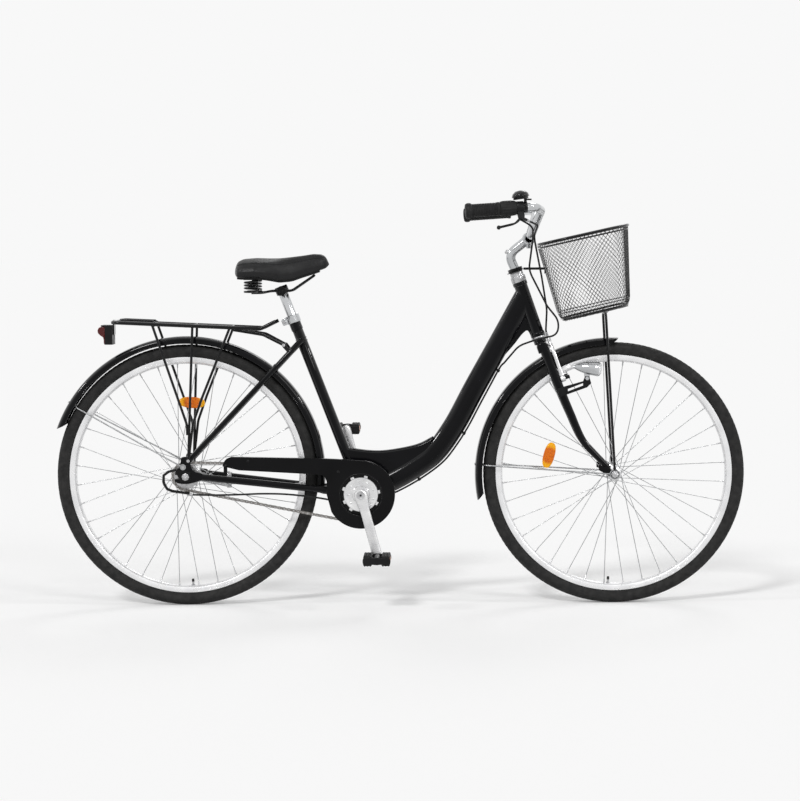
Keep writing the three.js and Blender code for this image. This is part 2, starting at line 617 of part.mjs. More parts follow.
// Drive: sprocket, chainring and the chain that runs round both.
const PITCH = 12.7;
const RING_TEETH = 38;
const SPROCKET_TEETH = 18;
const CHAIN_Y = -47;
const TOOTH_HALF = 1.1;
const CHAIN_HALF = 3.6;
const SIDE_PLATE = 1.1;
const CHAIN_HEIGHT = 8.4;
const ROLLER_HALF = 3.2;
const TOOTH_RISE = 3.4;
const TOOTH_ROOT = ROLLER_HALF + GAP;
const pitchRadius = (teeth) => PITCH / 2 / Math.sin(Math.PI / teeth);
const RING_PITCH_RADIUS = pitchRadius(RING_TEETH);
const SPROCKET_PITCH_RADIUS = pitchRadius(SPROCKET_TEETH);

// The line of the chain: over the ring, back below it and round the sprocket.
const centreSlope = Math.atan2(BRACKET_Z - HUB_Z, BRACKET_X + HUB_X);
const spread = Math.asin((RING_PITCH_RADIUS - SPROCKET_PITCH_RADIUS) / HUB_TO_BRACKET);
const straightRun = HUB_TO_BRACKET * Math.cos(spread);
const topAngle = centreSlope + Math.PI / 2 + spread;
const lowAngle = centreSlope - Math.PI / 2 - spread;
const ringWrap = Math.PI + spread * 2;
const sprocketWrap = Math.PI - spread * 2;
const chainLength = straightRun * 2 + ringWrap * RING_PITCH_RADIUS + sprocketWrap * SPROCKET_PITCH_RADIUS;
const LINKS = Math.round(chainLength / PITCH / 2) * 2;
const onRing = (angle, rise = 0) => [
  BRACKET_X + Math.cos(angle) * (RING_PITCH_RADIUS + rise), BRACKET_Z + Math.sin(angle) * (RING_PITCH_RADIUS + rise),
];
const onSprocket = (angle, rise = 0) => [
  -HUB_X + Math.cos(angle) * (SPROCKET_PITCH_RADIUS + rise), HUB_Z + Math.sin(angle) * (SPROCKET_PITCH_RADIUS + rise),
];
const between = (from, to, share) => [from[0] + (to[0] - from[0]) * share, from[1] + (to[1] - from[1]) * share];

// Where the roller lies that is so far along the chain from the top of the sprocket.
function rollerPlace(along) {
  const ends = [
    straightRun, straightRun + ringWrap * RING_PITCH_RADIUS, straightRun * 2 + ringWrap * RING_PITCH_RADIUS,
  ];
  if (along < ends[0]) return between(onSprocket(topAngle), onRing(topAngle), along / straightRun);
  if (along < ends[1]) return onRing(topAngle - (along - ends[0]) / RING_PITCH_RADIUS);
  if (along < ends[2]) return between(onRing(lowAngle), onSprocket(lowAngle), (along - ends[1]) / straightRun);
  return onSprocket(lowAngle - (along - ends[2]) / SPROCKET_PITCH_RADIUS);
}

// Two side plates with a roller across them at every pitch, as one closed loop.
const RING_STEPS = 18;
const SPROCKET_STEPS = 10;
function chainShape() {
  const band = (rise) => {
    const points = [];
    for (let i = 0; i <= RING_STEPS; i += 1) points.push(onRing(topAngle - (ringWrap * i) / RING_STEPS, rise));
    for (let i = 0; i <= SPROCKET_STEPS; i += 1) {
      points.push(onSprocket(lowAngle - (sprocketWrap * i) / SPROCKET_STEPS, rise));
    }
    return points;
  };
  const loop = (from, to) => plate(band(CHAIN_HEIGHT / 2), from, to, [band(-CHAIN_HEIGHT / 2)]);
  const rollers = [];
  for (let i = 0; i < LINKS; i += 1) {
    const [x, z] = rollerPlace((chainLength / LINKS) * i);
    rollers.push(drum(ROLLER_HALF, -CHAIN_HALF - SINK / 2, CHAIN_HALF + SINK / 2, 3).translate([x, 0, z]));
  }
  return join(
    loop(-CHAIN_HALF - SIDE_PLATE, -CHAIN_HALF), loop(CHAIN_HALF, CHAIN_HALF + SIDE_PLATE), rollers,
  ).translate([0, CHAIN_Y, 0]);
}
add("chain", chainShape(), STEEL);

// A toothed disc whose gaps take the rollers of the chain, first gap at the angle asked for.
function toothed(teeth, firstAngle, bore) {
  const radius = pitchRadius(teeth);
  const outline = [];
  for (let i = 0; i < teeth; i += 1) {
    const middle = firstAngle + (Math.PI * 2 * i) / teeth;
    const half = Math.PI / teeth;
    for (const [share, out] of [[0.52, -TOOTH_ROOT], [1, TOOTH_RISE], [1.48, -TOOTH_ROOT]]) {
      outline.push([Math.cos(middle + half * share) * (radius + out), Math.sin(middle + half * share) * (radius + out)]);
    }
  }
  return plate(outline, -TOOTH_HALF, TOOTH_HALF, [arc(0, 0, bore, 360, 0, ROUND_SIDES).slice(1)]);
}

// The gap of the toothed disc that takes the roller nearest the middle of each wrap.
const linkStep = chainLength / LINKS;
function rollerAngle(wrapStart, wrapLength, centreX, centreZ) {
  const [x, z] = rollerPlace(Math.round((wrapStart + wrapLength / 2) / linkStep) * linkStep);
  return Math.atan2(z - centreZ, x - centreX);
}
const ringPhase = rollerAngle(straightRun, ringWrap * RING_PITCH_RADIUS, BRACKET_X, BRACKET_Z);
const sprocketPhase = rollerAngle(
  chainLength - sprocketWrap * SPROCKET_PITCH_RADIUS, sprocketWrap * SPROCKET_PITCH_RADIUS, -HUB_X, HUB_Z,
);

// Sprocket on its driver, which turns on the axle beside the hub.
const DRIVER_RADIUS = 17;
const DRIVER_IN = 36;
const DRIVER_OUT = 53;
const driveSleeve = drum(DRIVER_RADIUS, -DRIVER_OUT, -DRIVER_IN);
const sprocketBore = drum(CONE_RADIUS + TURN_GAP, -REAR_WIDTH, 0);
add("sprocket", join(
  driveSleeve, toothed(SPROCKET_TEETH, sprocketPhase, DRIVER_RADIUS - SINK).translate([0, CHAIN_Y, 0]),
).subtract(sprocketBore).translate([-HUB_X, 0, HUB_Z]), STEEL);

const GUARD_PLATE = 2;
const GUARD_TUBE = 4;
add("rear_axle", axle(
  REAR_WIDTH, DROPOUT_THICKNESS, REAR_END_RIGHT, REAR_END_LEFT, GUARD_PLATE + GAP, 0,
).translate([-HUB_X, 0, HUB_Z]), STEEL);
add("front_axle", axle(
  FRONT_WIDTH, FORK_TIP, -FRONT_END, FRONT_END, (GUARD_PLATE + GAP) * 2, (GUARD_PLATE + GAP) * 2,
).translate([HUB_X, 0, HUB_Z]), STEEL);

// A bent guard round the right end of the rear axle, held by a plate under its nut.
const GUARD_EYE = 13;
const GUARD_BACK = 62;
const GUARD_RISE = 20;
const GUARD_DROP = 42;
const GUARD_OUT = 20;
const guardIn = REAR_WIDTH / 2 + DROPOUT_THICKNESS + GAP;
const guardPlateEdge = [
  [GUARD_EYE, -GUARD_EYE], [GUARD_EYE, GUARD_EYE], [-GUARD_EYE * 2, GUARD_EYE * 1.6],
  [-GUARD_EYE * 2, GUARD_EYE], [-GUARD_EYE, -GUARD_EYE],
];
const guardShape = join(
  plate(guardPlateEdge, -guardIn - GUARD_PLATE, -guardIn),
  tube([
    at(-GUARD_EYE * 1.9, -guardIn - GUARD_PLATE / 2, GUARD_RISE),
    at(-GUARD_BACK, -guardIn - GUARD_OUT, GUARD_RISE / 2),
    at(-GUARD_BACK * 0.8, -guardIn - GUARD_OUT, -GUARD_DROP * 0.8),
    at(GUARD_EYE, -guardIn - GUARD_OUT, -GUARD_DROP),
  ], GUARD_TUBE, GUARD_EYE * 2, SMALL_SIDES, 2),
).subtract(drum(AXLE_HOLE, -REAR_WIDTH, 0, TUBE_SIDES));
add("gear_guard", guardShape.translate([-HUB_X, 0, HUB_Z]), BLACK);

// The arm that holds the coaster brake, from the left end of the hub to a strap on the chainstay.
const ARM_THICKNESS = 3;
const ARM_EYE = 16;
const ARM_REACH = 106;
const ARM_DROP = 34;
const ARM_END_HALF = 6;
const STRAP_WALL = 2;
const STRAP_WIDTH = 12;
const armY = REAR_END_LEFT + RUN_GAP * 2;
const strapShare = 1 - (ARM_REACH - STAY_END_X) / (BRACKET_X + HUB_X - STAY_END_X);
const strapY = CHAINSTAY_WAIST_Y
  + (STAY_END_Y - CHAINSTAY_WAIST_Y) * (strapShare - CHAINSTAY_WAIST_SHARE) / (1 - CHAINSTAY_WAIST_SHARE);
const strapPlace = chainstayAt(strapShare, -strapY).sub(at(-HUB_X, 0, HUB_Z));
const stayRing = (grow) => rod(
  strapPlace.clone().add(at(-STRAP_WIDTH * (grow > STRAP_WALL / 2 ? 1 : 3) / 2, 0, 0)),
  strapPlace.clone().add(at(STRAP_WIDTH * (grow > STRAP_WALL / 2 ? 1 : 3) / 2, 0, 0)),
  CHAINSTAY_HALF_HEIGHT + grow, ROUND_SIDES,
);
const coasterArm = join(
  plate([
    ...arc(0, 0, ARM_EYE, 100, 260, 6),
    [ARM_REACH + ARM_END_HALF, -ARM_DROP - ARM_END_HALF], [ARM_REACH + ARM_END_HALF, -ARM_DROP + ARM_END_HALF],
  ], armY, armY + ARM_THICKNESS),
  stayRing(STRAP_WALL + GAP + SINK),
  block(
    at(ARM_REACH - ARM_END_HALF, armY, -ARM_DROP - ARM_END_HALF),
    at(ARM_REACH + ARM_END_HALF, strapY, strapPlace.z - CHAINSTAY_HALF_HEIGHT),
  ),
).subtract(join(stayRing(GAP + SINK), drum(CONE_RADIUS + GAP, 0, REAR_WIDTH)));
add("coaster_arm", coasterArm.translate([-HUB_X, 0, HUB_Z]), STEEL);

// Crankset. The right arm stands a little ahead of straight down and the left one opposite.
const CRANK_LENGTH = 170;
const CRANK_ANGLE = 15;
const CRANK_ROOT_HALF = 16;
const CRANK_TIP_HALF = 12;
const CRANK_THICKNESS = 14;
const CRANK_OUT = 80;
const PEDAL_BOLT = 4.5;
const PEDAL_WIDTH = 95;
const PEDAL_LENGTH = 70;
const PEDAL_HEIGHT = 27;
const PEDAL_SPACE = 5;
const SPINDLE_TAPER = 6.5;
const SPINDLE_STEP = 3;
const RING_DISC = 46;
const RING_COVER = 50;
const RING_DISC_OUT = 57;
const TAB_COUNT = 9;
const CRANK_CAP = 11;

const crankset = new THREE.Group();
crankset.position.set(BRACKET_X, 0, BRACKET_Z);
bike.add(crankset);
const spindleLong = CRANK_OUT - SPINDLE_STEP * 2;
add("crank_spindle", join(
  drum(SPINDLE_RADIUS, -SHELL_WIDTH / 2, SHELL_WIDTH / 2),
  drum(SPINDLE_TAPER, -spindleLong, spindleLong),
), STEEL, crankset);

const ringPlain = join(
  toothed(RING_TEETH, ringPhase, SPINDLE_TAPER * 2).translate([0, CHAIN_Y, 0]),
  drum(RING_DISC, -RING_DISC_OUT, CHAIN_Y - TOOTH_HALF + SINK),
);
const tabs = [];
for (let i = 0; i < TAB_COUNT; i += 1) {
  const tab = block(
    at(RING_DISC * 0.9, -RING_DISC_OUT + SPINDLE_STEP, -CRANK_TIP_HALF / 2),
    at(RING_COVER, CHAIN_Y - TOOTH_HALF + SINK, CRANK_TIP_HALF / 2),
  );
  tabs.push(tab.rotate([0, (360 / TAB_COUNT) * i, 0]));
}
add("chainring", join(ringPlain, tabs).subtract(
  drum(SPINDLE_TAPER + GAP, -REAR_WIDTH, 0),
), ALLOY, crankset);

function crankShape() {
  const inner = CRANK_OUT - CRANK_THICKNESS;
  const arm = plate([
    ...arc(0, 0, CRANK_ROOT_HALF, 0, 180, 8), ...arc(0, -CRANK_LENGTH, CRANK_TIP_HALF, 180, 360, 6),
  ], -CRANK_OUT, -inner);
  const boss = drum(CRANK_CAP * 1.3, -inner - SINK, -RING_DISC_OUT - GAP);
  const bolt = drum(PEDAL_BOLT, -CRANK_OUT - PEDAL_SPACE - PEDAL_WIDTH + SPINDLE_STEP, -inner - SINK, TUBE_SIDES)
    .translate([0, 0, -CRANK_LENGTH]);
  const hole = drum(SPINDLE_TAPER + GAP, -spindleLong - GAP, 0);
  const recess = drum(CRANK_CAP, -CRANK_OUT - OVERRUN, -CRANK_OUT + SPINDLE_STEP / 2);
  return join(arm, boss, bolt).subtract(join(hole, recess));
}
const rightCrank = crankShape();
add("right_crank", rightCrank.rotate([0, -CRANK_ANGLE, 0]), ALLOY, crankset);
add("left_crank", mirrored(rightCrank).rotate([0, 180 - CRANK_ANGLE, 0]), ALLOY, crankset);

// Pedals: a sleeve on the bolt, a cage end at each side and a tread block before and behind.
const TREAD_LENGTH = 22;
const CAGE_END = 5;
const CAGE_HALF = 9;
const TREAD_GROOVES = 2;
const TREAD_GROOVE = 3;
function pedalShape() {
  const near = -CRANK_OUT - PEDAL_SPACE;
  const far = near - PEDAL_WIDTH;
  const half = PEDAL_LENGTH / 2;
  const tread = join(
    block(at(half - TREAD_LENGTH, far, -PEDAL_HEIGHT / 2), at(half, near, PEDAL_HEIGHT / 2)),
  );
  const grooves = [];
  for (let i = 1; i <= TREAD_GROOVES; i += 1) {
    const x = half - (TREAD_LENGTH * i) / (TREAD_GROOVES + 1);
    for (const side of [-1, 1]) {
      const edge = (side * PEDAL_HEIGHT) / 2;
      grooves.push(block(
        at(x - TREAD_GROOVE / 2, far - OVERRUN, Math.min(edge, edge - side * TREAD_GROOVE)),
        at(x + TREAD_GROOVE / 2, near + OVERRUN, Math.max(edge, edge - side * TREAD_GROOVE) + OVERRUN * (side + 1) / 2),
      ));
    }
  }
  const cut = tread.subtract(join(grooves));
  const end = (from) => block(at(-half + SINK, from, -CAGE_HALF), at(half - SINK, from + CAGE_END, CAGE_HALF));
  return join(cut, cut.mirror([1, 0, 0]), end(far), end(near - CAGE_END), drum(CAGE_HALF, far, near, TUBE_SIDES))
    .subtract(drum(PEDAL_BOLT + TURN_GAP, far + CAGE_END / 2, near + OVERRUN, TUBE_SIDES));
}
const pedalX = Math.sin(radians(CRANK_ANGLE)) * CRANK_LENGTH;
const pedalZ = Math.cos(radians(CRANK_ANGLE)) * CRANK_LENGTH;
const rightPedal = add("right_pedal", pedalShape(), RUBBER, crankset);
rightPedal.position.set(pedalX, 0, -pedalZ);
const leftPedal = add("left_pedal", mirrored(pedalShape()), RUBBER, crankset);
leftPedal.position.set(-pedalX, 0, pedalZ);

// Mudguards: a thin rolled section that follows the tyre.
const MUDGUARD_WALL = 2;
const MUDGUARD_HALF = 24;
const MUDGUARD_SKIRT = 22;
const MUDGUARD_SHARES = [[1, 1], [0.97, 0.42], [0.5, 0.04]];
const MUDGUARD_FACET = 9;
const REAR_MUDGUARD_ARC = [-7.5, 161];
const FRONT_MUDGUARD_ARC = [86.8, 191];

// An arc in the middle plane about the origin, as a path for a section.
class Bow extends THREE.Curve {
  constructor(radius, from, to) {
    super();
    this.radius = radius;
    this.from = radians(from);
    this.turn = radians(to - from);
  }

  getPoint(share) {
    const angle = this.from + this.turn * share;
    return at(Math.cos(angle) * this.radius, 0, Math.sin(angle) * this.radius);
  }
}

function mudguardShape(radius, [from, to]) {
  const outer = MUDGUARD_SHARES.map(([wide, low]) => [wide * MUDGUARD_HALF, -low * MUDGUARD_SKIRT]);
  const inner = outer.map(([wide, low], i) => [
    wide - MUDGUARD_WALL * (i === outer.length - 1 ? 1 / 4 : 1), low - (i === 0 ? 0 : MUDGUARD_WALL),
  ]);
  const half = [...inner.slice().reverse(), ...outer];
  const points = [...half, ...half.map(([wide, low]) => [-wide, low]).reverse()];
  const shape = new THREE.Shape(points.map(([wide, low]) => new THREE.Vector2(wide, low)));
  const steps = Math.round((to - from) / MUDGUARD_FACET);
  return swept(shape, new Bow(radius, from, to), steps);
}

const rearMudguard = mudguardShape(MUDGUARD_RADIUS, REAR_MUDGUARD_ARC);
add("rear_mudguard", rearMudguard.translate([-HUB_X, 0, HUB_Z]), PAINT);

// Mudguard stays: one wire from an eye on each side, up inside the skirts and across under the crown.
const STAY_WIRE = 2;
const STAY_LEVEL = 38;
const EYE_RADIUS = 8;
const EYE_HOLE = 3;
const AXLE_EYE = 14;
const STRUT_EYE = 11;
function mudguardStay(angle, guardRadius, eyeX, eyeZ, eyeY, eyeRadius, holeRadius) {
  const out = (radius) => [Math.cos(radians(angle)) * radius, Math.sin(radians(angle)) * radius];
  const skirt = guardRadius - MUDGUARD_SKIRT;
  const inside = MUDGUARD_HALF - MUDGUARD_WALL - GAP - STAY_WIRE;
  const crown = (guardRadius - MUDGUARD_SHARES[2][1] * MUDGUARD_SKIRT - MUDGUARD_WALL)
    * Math.cos(radians(MUDGUARD_FACET / 2)) - STAY_WIRE - GAP;
  const point = (radius, y) => at(out(radius)[0], y, out(radius)[1]);
  const eyeCentre = at(eyeX, 0, eyeZ);
  const towards = point(skirt, 0).sub(eyeCentre).normalize();
  const level = (distance, hand) => eyeCentre.clone().addScaledVector(towards, distance)
    .setY(hand * (eyeY + STAY_WIRE));
  const side = (hand) => [
    level(eyeRadius - STAY_WIRE, hand), level(STAY_LEVEL, hand),
    point(skirt - STAY_WIRE * 4, hand * (MUDGUARD_HALF + STAY_WIRE)),
    point(skirt - STAY_WIRE, hand * (inside - GAP)),
    point(crown - STAY_WIRE * 3, hand * (inside - STAY_WIRE * 2)),
  ];
  const corners = [
    ...side(-1), point(crown, -inside / 2), point(crown, inside / 2), ...side(1).reverse(),
  ];
  const eye = drum(eyeRadius, eyeY, eyeY + GUARD_PLATE, TUBE_SIDES).translate([eyeX, 0, eyeZ]);
  const clear = drum(holeRadius, -eyeY * 2, eyeY * 2, TUBE_SIDES).translate([eyeX, 0, eyeZ]);
  return join(tube(corners, STAY_WIRE, 0, WIRE_SIDES), both(eye)).subtract(clear);
}
const REAR_STAY_ANGLE = 148;
const FRONT_STAY_ANGLE = 176.2;
const STAY_EYELET = [-6.5, 26.1];
const CARRIER_EYELET = [8.5, 43];
const dropoutOut = REAR_WIDTH / 2 + DROPOUT_THICKNESS + GAP;
const tipOut = FRONT_WIDTH / 2 + FORK_TIP + GAP;
add("rear_mudguard_stay", mudguardStay(
  REAR_STAY_ANGLE, MUDGUARD_RADIUS, ...STAY_EYELET, dropoutOut, EYE_RADIUS, EYE_HOLE,
).translate([-HUB_X, 0, HUB_Z]), STEEL);
add("front_mudguard_stay", mudguardStay(
  FRONT_STAY_ANGLE, FRONT_MUDGUARD_RADIUS, 0, 0, tipOut, AXLE_EYE, AXLE_HOLE,
).translate([HUB_X, 0, HUB_Z]), STEEL);

// Rear carrier: two rails joined at the back, cross bars, two inner bars and three wires a side.
const RAIL_RADIUS = 5;
const BAR_RADIUS = 3.5;
const RAIL_Y = 60;
const RAIL_INNER_Y = 20;
const CARRIER_REAR = at(-763, 0, 762);
const CARRIER_FRONT = at(-369, 0, 743);
const CARRIER_TIP = at(-330, 0, 762);
const CARRIER_BARS = [-657, -549.5, -450];
const LEG_RADIUS = 3.5;
const LEG_MEET_HIGH = at(-566, 0, 490);
const LEG_MEET_LOW = at(-565, 0, 462);
const LEG_FRONT_HIGH = at(-526, 0, 559);
const LEG_FRONT_LOW = at(-550, 0, 492);
const BRACE_TOP = at(-444, 0, 741);
const BRACE_BEND = at(-362, 0, 727);
const BRACE_END = at(-309, 0, 699);
const LIGHT_PLATE_HALF = 15;
const LIGHT_PLATE_DROP = 34;
const LIGHT_PLATE_RISE = 6;
const railZ = (x) => CARRIER_REAR.z
  + (CARRIER_FRONT.z - CARRIER_REAR.z) * ((x - CARRIER_REAR.x) / (CARRIER_FRONT.x - CARRIER_REAR.x));
const beside = (point, y) => point.clone().setY(-y);
const rails = tube([
  beside(CARRIER_TIP, RAIL_Y), beside(CARRIER_FRONT, RAIL_Y), beside(CARRIER_REAR, RAIL_Y),
  beside(CARRIER_REAR, -RAIL_Y), beside(CARRIER_FRONT, -RAIL_Y), beside(CARRIER_TIP, -RAIL_Y),
], RAIL_RADIUS, RAIL_Y / 3, SMALL_SIDES, 2);
const bars = CARRIER_BARS.map((x) => drum(BAR_RADIUS, -RAIL_Y, RAIL_Y, WIRE_SIDES).translate([x, 0, railZ(x)]));
const innerBar = tube([
  at(CARRIER_REAR.x, -RAIL_INNER_Y, CARRIER_REAR.z), at(CARRIER_BARS[2], -RAIL_INNER_Y, railZ(CARRIER_BARS[2])),
], BAR_RADIUS, 0, WIRE_SIDES);
const legFoot = at(-HUB_X + CARRIER_EYELET[0], -dropoutOut - LEG_RADIUS - GAP * 2, HUB_Z + CARRIER_EYELET[1]);
const legY = (z) => RAIL_Y + (-legFoot.y - RAIL_Y) * ((CARRIER_FRONT.z - z) / (CARRIER_FRONT.z - legFoot.z));
const legAt = (point) => point.clone().setY(-legY(point.z));
const legs = [
  tube([at(CARRIER_BARS[1], -RAIL_Y, railZ(CARRIER_BARS[1])), legAt(legFoot)], LEG_RADIUS, 0, WIRE_SIDES),
  tube([
    at(CARRIER_BARS[0], -RAIL_Y, railZ(CARRIER_BARS[0])), legAt(LEG_MEET_HIGH), legAt(LEG_MEET_LOW),
  ], LEG_RADIUS, RAIL_Y, WIRE_SIDES, 2),
  tube([
    at(CARRIER_BARS[2], -RAIL_Y, railZ(CARRIER_BARS[2])), legAt(LEG_FRONT_HIGH), legAt(LEG_FRONT_LOW),
    legAt(legFoot).add(at(SINK, 0, 0)),
  ], LEG_RADIUS, RAIL_Y, WIRE_SIDES, 2),
];
const foot = drum(EYE_RADIUS, legFoot.y, -dropoutOut, TUBE_SIDES)
  .translate([legFoot.x, 0, legFoot.z]);
const brace = flatTube([
  beside(BRACE_TOP, RAIL_Y), beside(BRACE_BEND, RAIL_Y - RAIL_RADIUS), beside(BRACE_END, SEATSTAY_BEND_Y * 1.6),
], BAR_RADIUS, BAR_RADIUS * 0.6, RAIL_Y / 2, WIRE_SIDES, 2);
const lightPlate = block(
  at(CARRIER_REAR.x - BAR_RADIUS, -LIGHT_PLATE_HALF, CARRIER_REAR.z - LIGHT_PLATE_DROP),
  at(CARRIER_REAR.x, LIGHT_PLATE_HALF, CARRIER_REAR.z + LIGHT_PLATE_RISE),
);
add("carrier", join(rails, bars, lightPlate, both(join(innerBar, legs, foot, brace))), BLACK);

// The sprung clip on the carrier, wound round its first cross bar.
const CLIP_WIRE = 3;
const CLIP_HALF = 34;
const CLIP_LENGTH = 88;
const clipRise = BAR_RADIUS + TURN_GAP * 2 + CLIP_WIRE;
const clipFall = railZ(CARRIER_BARS[0] - CLIP_LENGTH) - railZ(CARRIER_BARS[0]);
const clip = join(
  tube([
    at(0, -CLIP_HALF, clipRise), at(-CLIP_LENGTH, -CLIP_HALF, clipRise + clipFall),
    at(-CLIP_LENGTH, CLIP_HALF, clipRise + clipFall), at(0, CLIP_HALF, clipRise),
  ], CLIP_WIRE, CLIP_HALF / 2, WIRE_SIDES),
  both(drum(clipRise + CLIP_WIRE, -CLIP_HALF - CLIP_WIRE, -CLIP_HALF + CLIP_WIRE, TUBE_SIDES)),
).subtract(drum(BAR_RADIUS + TURN_GAP * 2, -RAIL_Y, RAIL_Y, SMALL_SIDES));
add("carrier_clip", clip.translate([CARRIER_BARS[0], 0, railZ(CARRIER_BARS[0])]), BLACK);

// Tail light: a hooded body on the plate of the carrier, with the lens behind it.
const LIGHT_HALF = 30;
const LIGHT_HEIGHT = 52;
const LIGHT_DEPTH = 20;
const LENS_DEPTH = 20;
const HOOD_DEPTH = 10;
const HOOD_WALL = 3;
const LIGHT_DROP = 8;
const lightFront = CARRIER_REAR.x - BAR_RADIUS - GAP;
const lightTop = CARRIER_REAR.z - LIGHT_DROP;
const tailLight = join(
  block(at(lightFront - LIGHT_DEPTH, -LIGHT_HALF, lightTop - LIGHT_HEIGHT), at(lightFront, LIGHT_HALF, lightTop)),
  block(
    at(lightFront - LIGHT_DEPTH - HOOD_DEPTH, -LIGHT_HALF, lightTop - HOOD_WALL), at(lightFront, LIGHT_HALF, lightTop),
  ),
).subtract(join(rails, lightPlate.translate([-GAP, 0, 0])));
add("tail_light", tailLight, BLACK);
const lensSide = [
  [0, 0], [0, 1], [-0.72, 0.86], [-1, 0.45], [-0.9, 0.08],
].map(([out, up]) => [
  lightFront - LIGHT_DEPTH - GAP + out * LENS_DEPTH,
  lightTop - LIGHT_HEIGHT + up * (LIGHT_HEIGHT - HOOD_WALL - GAP),
]);
add("tail_light_lens", plate(lensSide, -LIGHT_HALF + HOOD_WALL, LIGHT_HALF - HOOD_WALL), RED);

// Chain case: a plate outside the chain with a rolled edge above and before it.
const CASE_OUT = 62;
const CASE_WALL = 1.6;
const CASE_DEPTH = 24;
const CASE_RADIUS = 91;
const CASE_HOLE = 56;
const CASE_TOP = 97;
const CASE_REAR = -368;
const CASE_SLOPE_FOOT = -345;
const CASE_REAR_FOOT = 78;
const CASE_TOP_REAR = 103;
const CASE_UNDER_REAR = 67;
const CASE_UNDER_FRONT = 54;
const CASE_CORNER_X = -104;
const CASE_CORNER_Z = 40;
const CASE_TAB = 5;
const caseEdge = [
  [CASE_REAR, CASE_REAR_FOOT], [CASE_SLOPE_FOOT, CASE_TOP_REAR], [-CASE_RADIUS, CASE_TOP],
  ...arc(0, 0, CASE_RADIUS, 82, -150, 14),
  [-CASE_RADIUS, 0], [-CASE_RADIUS, CASE_CORNER_Z * 0.9], [CASE_CORNER_X, CASE_UNDER_FRONT],
  [CASE_REAR * 0.88, CASE_UNDER_REAR],
];
const caseRim = [
  [CASE_SLOPE_FOOT, CASE_TOP_REAR], [-CASE_RADIUS, CASE_TOP],
  ...arc(0, 0, CASE_RADIUS, 82, -100, 11),
];
const inwards = (points) => points.map(([x, z]) => {
  const away = Math.hypot(x, z);
  return x < CASE_CORNER_X / 2 && z > 0 ? [x + CASE_WALL / 2, z - CASE_WALL] : [x * (1 - CASE_WALL / away),
    z * (1 - CASE_WALL / away)];
});
const caseTab = BRACKET_X + HUB_X - ARM_REACH;
const tabFoot = chainstayAt(strapShare, 0).z + CHAINSTAY_HALF_HEIGHT + GAP - BRACKET_Z;
const chainCase = join(
  plate(caseEdge, -CASE_OUT, -CASE_OUT + CASE_WALL, [arc(0, 0, CASE_HOLE, 360, 0, 18).slice(1)]),
  plate([...caseRim, ...inwards(caseRim).reverse()], -CASE_OUT, -CASE_OUT + CASE_DEPTH),
  block(
    at(-caseTab - CASE_TAB, -CASE_OUT, tabFoot), at(-caseTab + CASE_TAB, -CASE_OUT + CASE_WALL * 2, CASE_REAR_FOOT),
  ),
);
add("chain_case", chainCase.translate([BRACKET_X, 0, BRACKET_Z]), BLACK);

// Fork: steerer, crown, two bowed blades with their tips, and the bosses of the brake.
const STEERER_TOP = 592;
const STEERER_BORE = 11.5;
const CROWN_TOP = 395;
const CROWN_DROP = 26;
const CROWN_HALF = 44;
const CROWN_LENGTH = 30;
const BLADE_TOP_Y = 37;
const BLADE_TIP_Y = 50.2;
const BLADE_TOP_HALF = 13;
const BLADE_TIP_HALF = 7;
const BLADE_WIDTH_SHARE = 0.62;
const BLADE_ROUTE = [[388, 3], [265, 7], [190, 12], [110, 20], [57, 42], [17, 62]];
const BOSS_ALONG = 286;
const BOSS_RADIUS = 5;
const BOSS_START = 8;
const BOSS_END = 38;
const BOSS_Y = 41;
const TIP_EYE = 12;
const TIP_NECK = 24;

const bladeY = (along) => BLADE_TOP_Y + (BLADE_TIP_Y - BLADE_TOP_Y) * (1 - along / BLADE_ROUTE[0][0]);
const bladeRoute = new THREE.CatmullRomCurve3(
  BLADE_ROUTE.map(([along, ahead]) => at(ahead, -bladeY(along) / BLADE_WIDTH_SHARE, along)),
);
// A blade narrows towards its tip, so each ring of the swept tube is drawn in by how far down it lies.
const bladeGeometry = new THREE.ExtrudeGeometry(
  oval(BLADE_TOP_HALF, BLADE_TOP_HALF, TUBE_SIDES), { steps: 8, bevelEnabled: false, extrudePath: bladeRoute },
);
const bladePlaces = bladeGeometry.attributes.position;
const bladeStations = bladeRoute.getSpacedPoints(40);
for (let i = 0; i < bladePlaces.count; i += 1) {
  const here = new THREE.Vector3().fromBufferAttribute(bladePlaces, i);
  let near = 0;
  bladeStations.forEach((station, k) => {
    if (station.distanceTo(here) < bladeStations[near].distanceTo(here)) near = k;
  });
  const draw = 1 - (1 - BLADE_TIP_HALF / BLADE_TOP_HALF) * (near / (bladeStations.length - 1));
  const moved = bladeStations[near].clone().lerp(here, draw);
  bladePlaces.setXYZ(i, moved.x, moved.y, moved.z);
}
const blade = solid(bladeGeometry).scale([1, BLADE_WIDTH_SHARE, 1]);
const crown = plate([
  [-CROWN_LENGTH / 2, CROWN_TOP - CROWN_DROP], [-CROWN_LENGTH / 2, CROWN_TOP - CROWN_DROP / 3],
  [-CROWN_LENGTH / 3, CROWN_TOP], [CROWN_LENGTH / 3, CROWN_TOP],
  [CROWN_LENGTH / 2, CROWN_TOP - CROWN_DROP / 3], [CROWN_LENGTH / 2, CROWN_TOP - CROWN_DROP],
], -CROWN_HALF, CROWN_HALF);
const boss = rod(at(BOSS_START, -BOSS_Y, BOSS_ALONG), at(BOSS_END, -BOSS_Y, BOSS_ALONG), BOSS_RADIUS, TUBE_SIDES);
const tip = plate([
  ...arc(RAKE, 0, TIP_EYE, -135, 90, 4), [BLADE_ROUTE[5][1] - BLADE_TIP_HALF, TIP_NECK],
  [BLADE_ROUTE[5][1] - TIP_NECK, TIP_NECK * 1.6], [BLADE_ROUTE[5][1] - TIP_NECK * 1.2, TIP_NECK],
], -FRONT_WIDTH / 2 - FORK_TIP, -FRONT_WIDTH / 2);
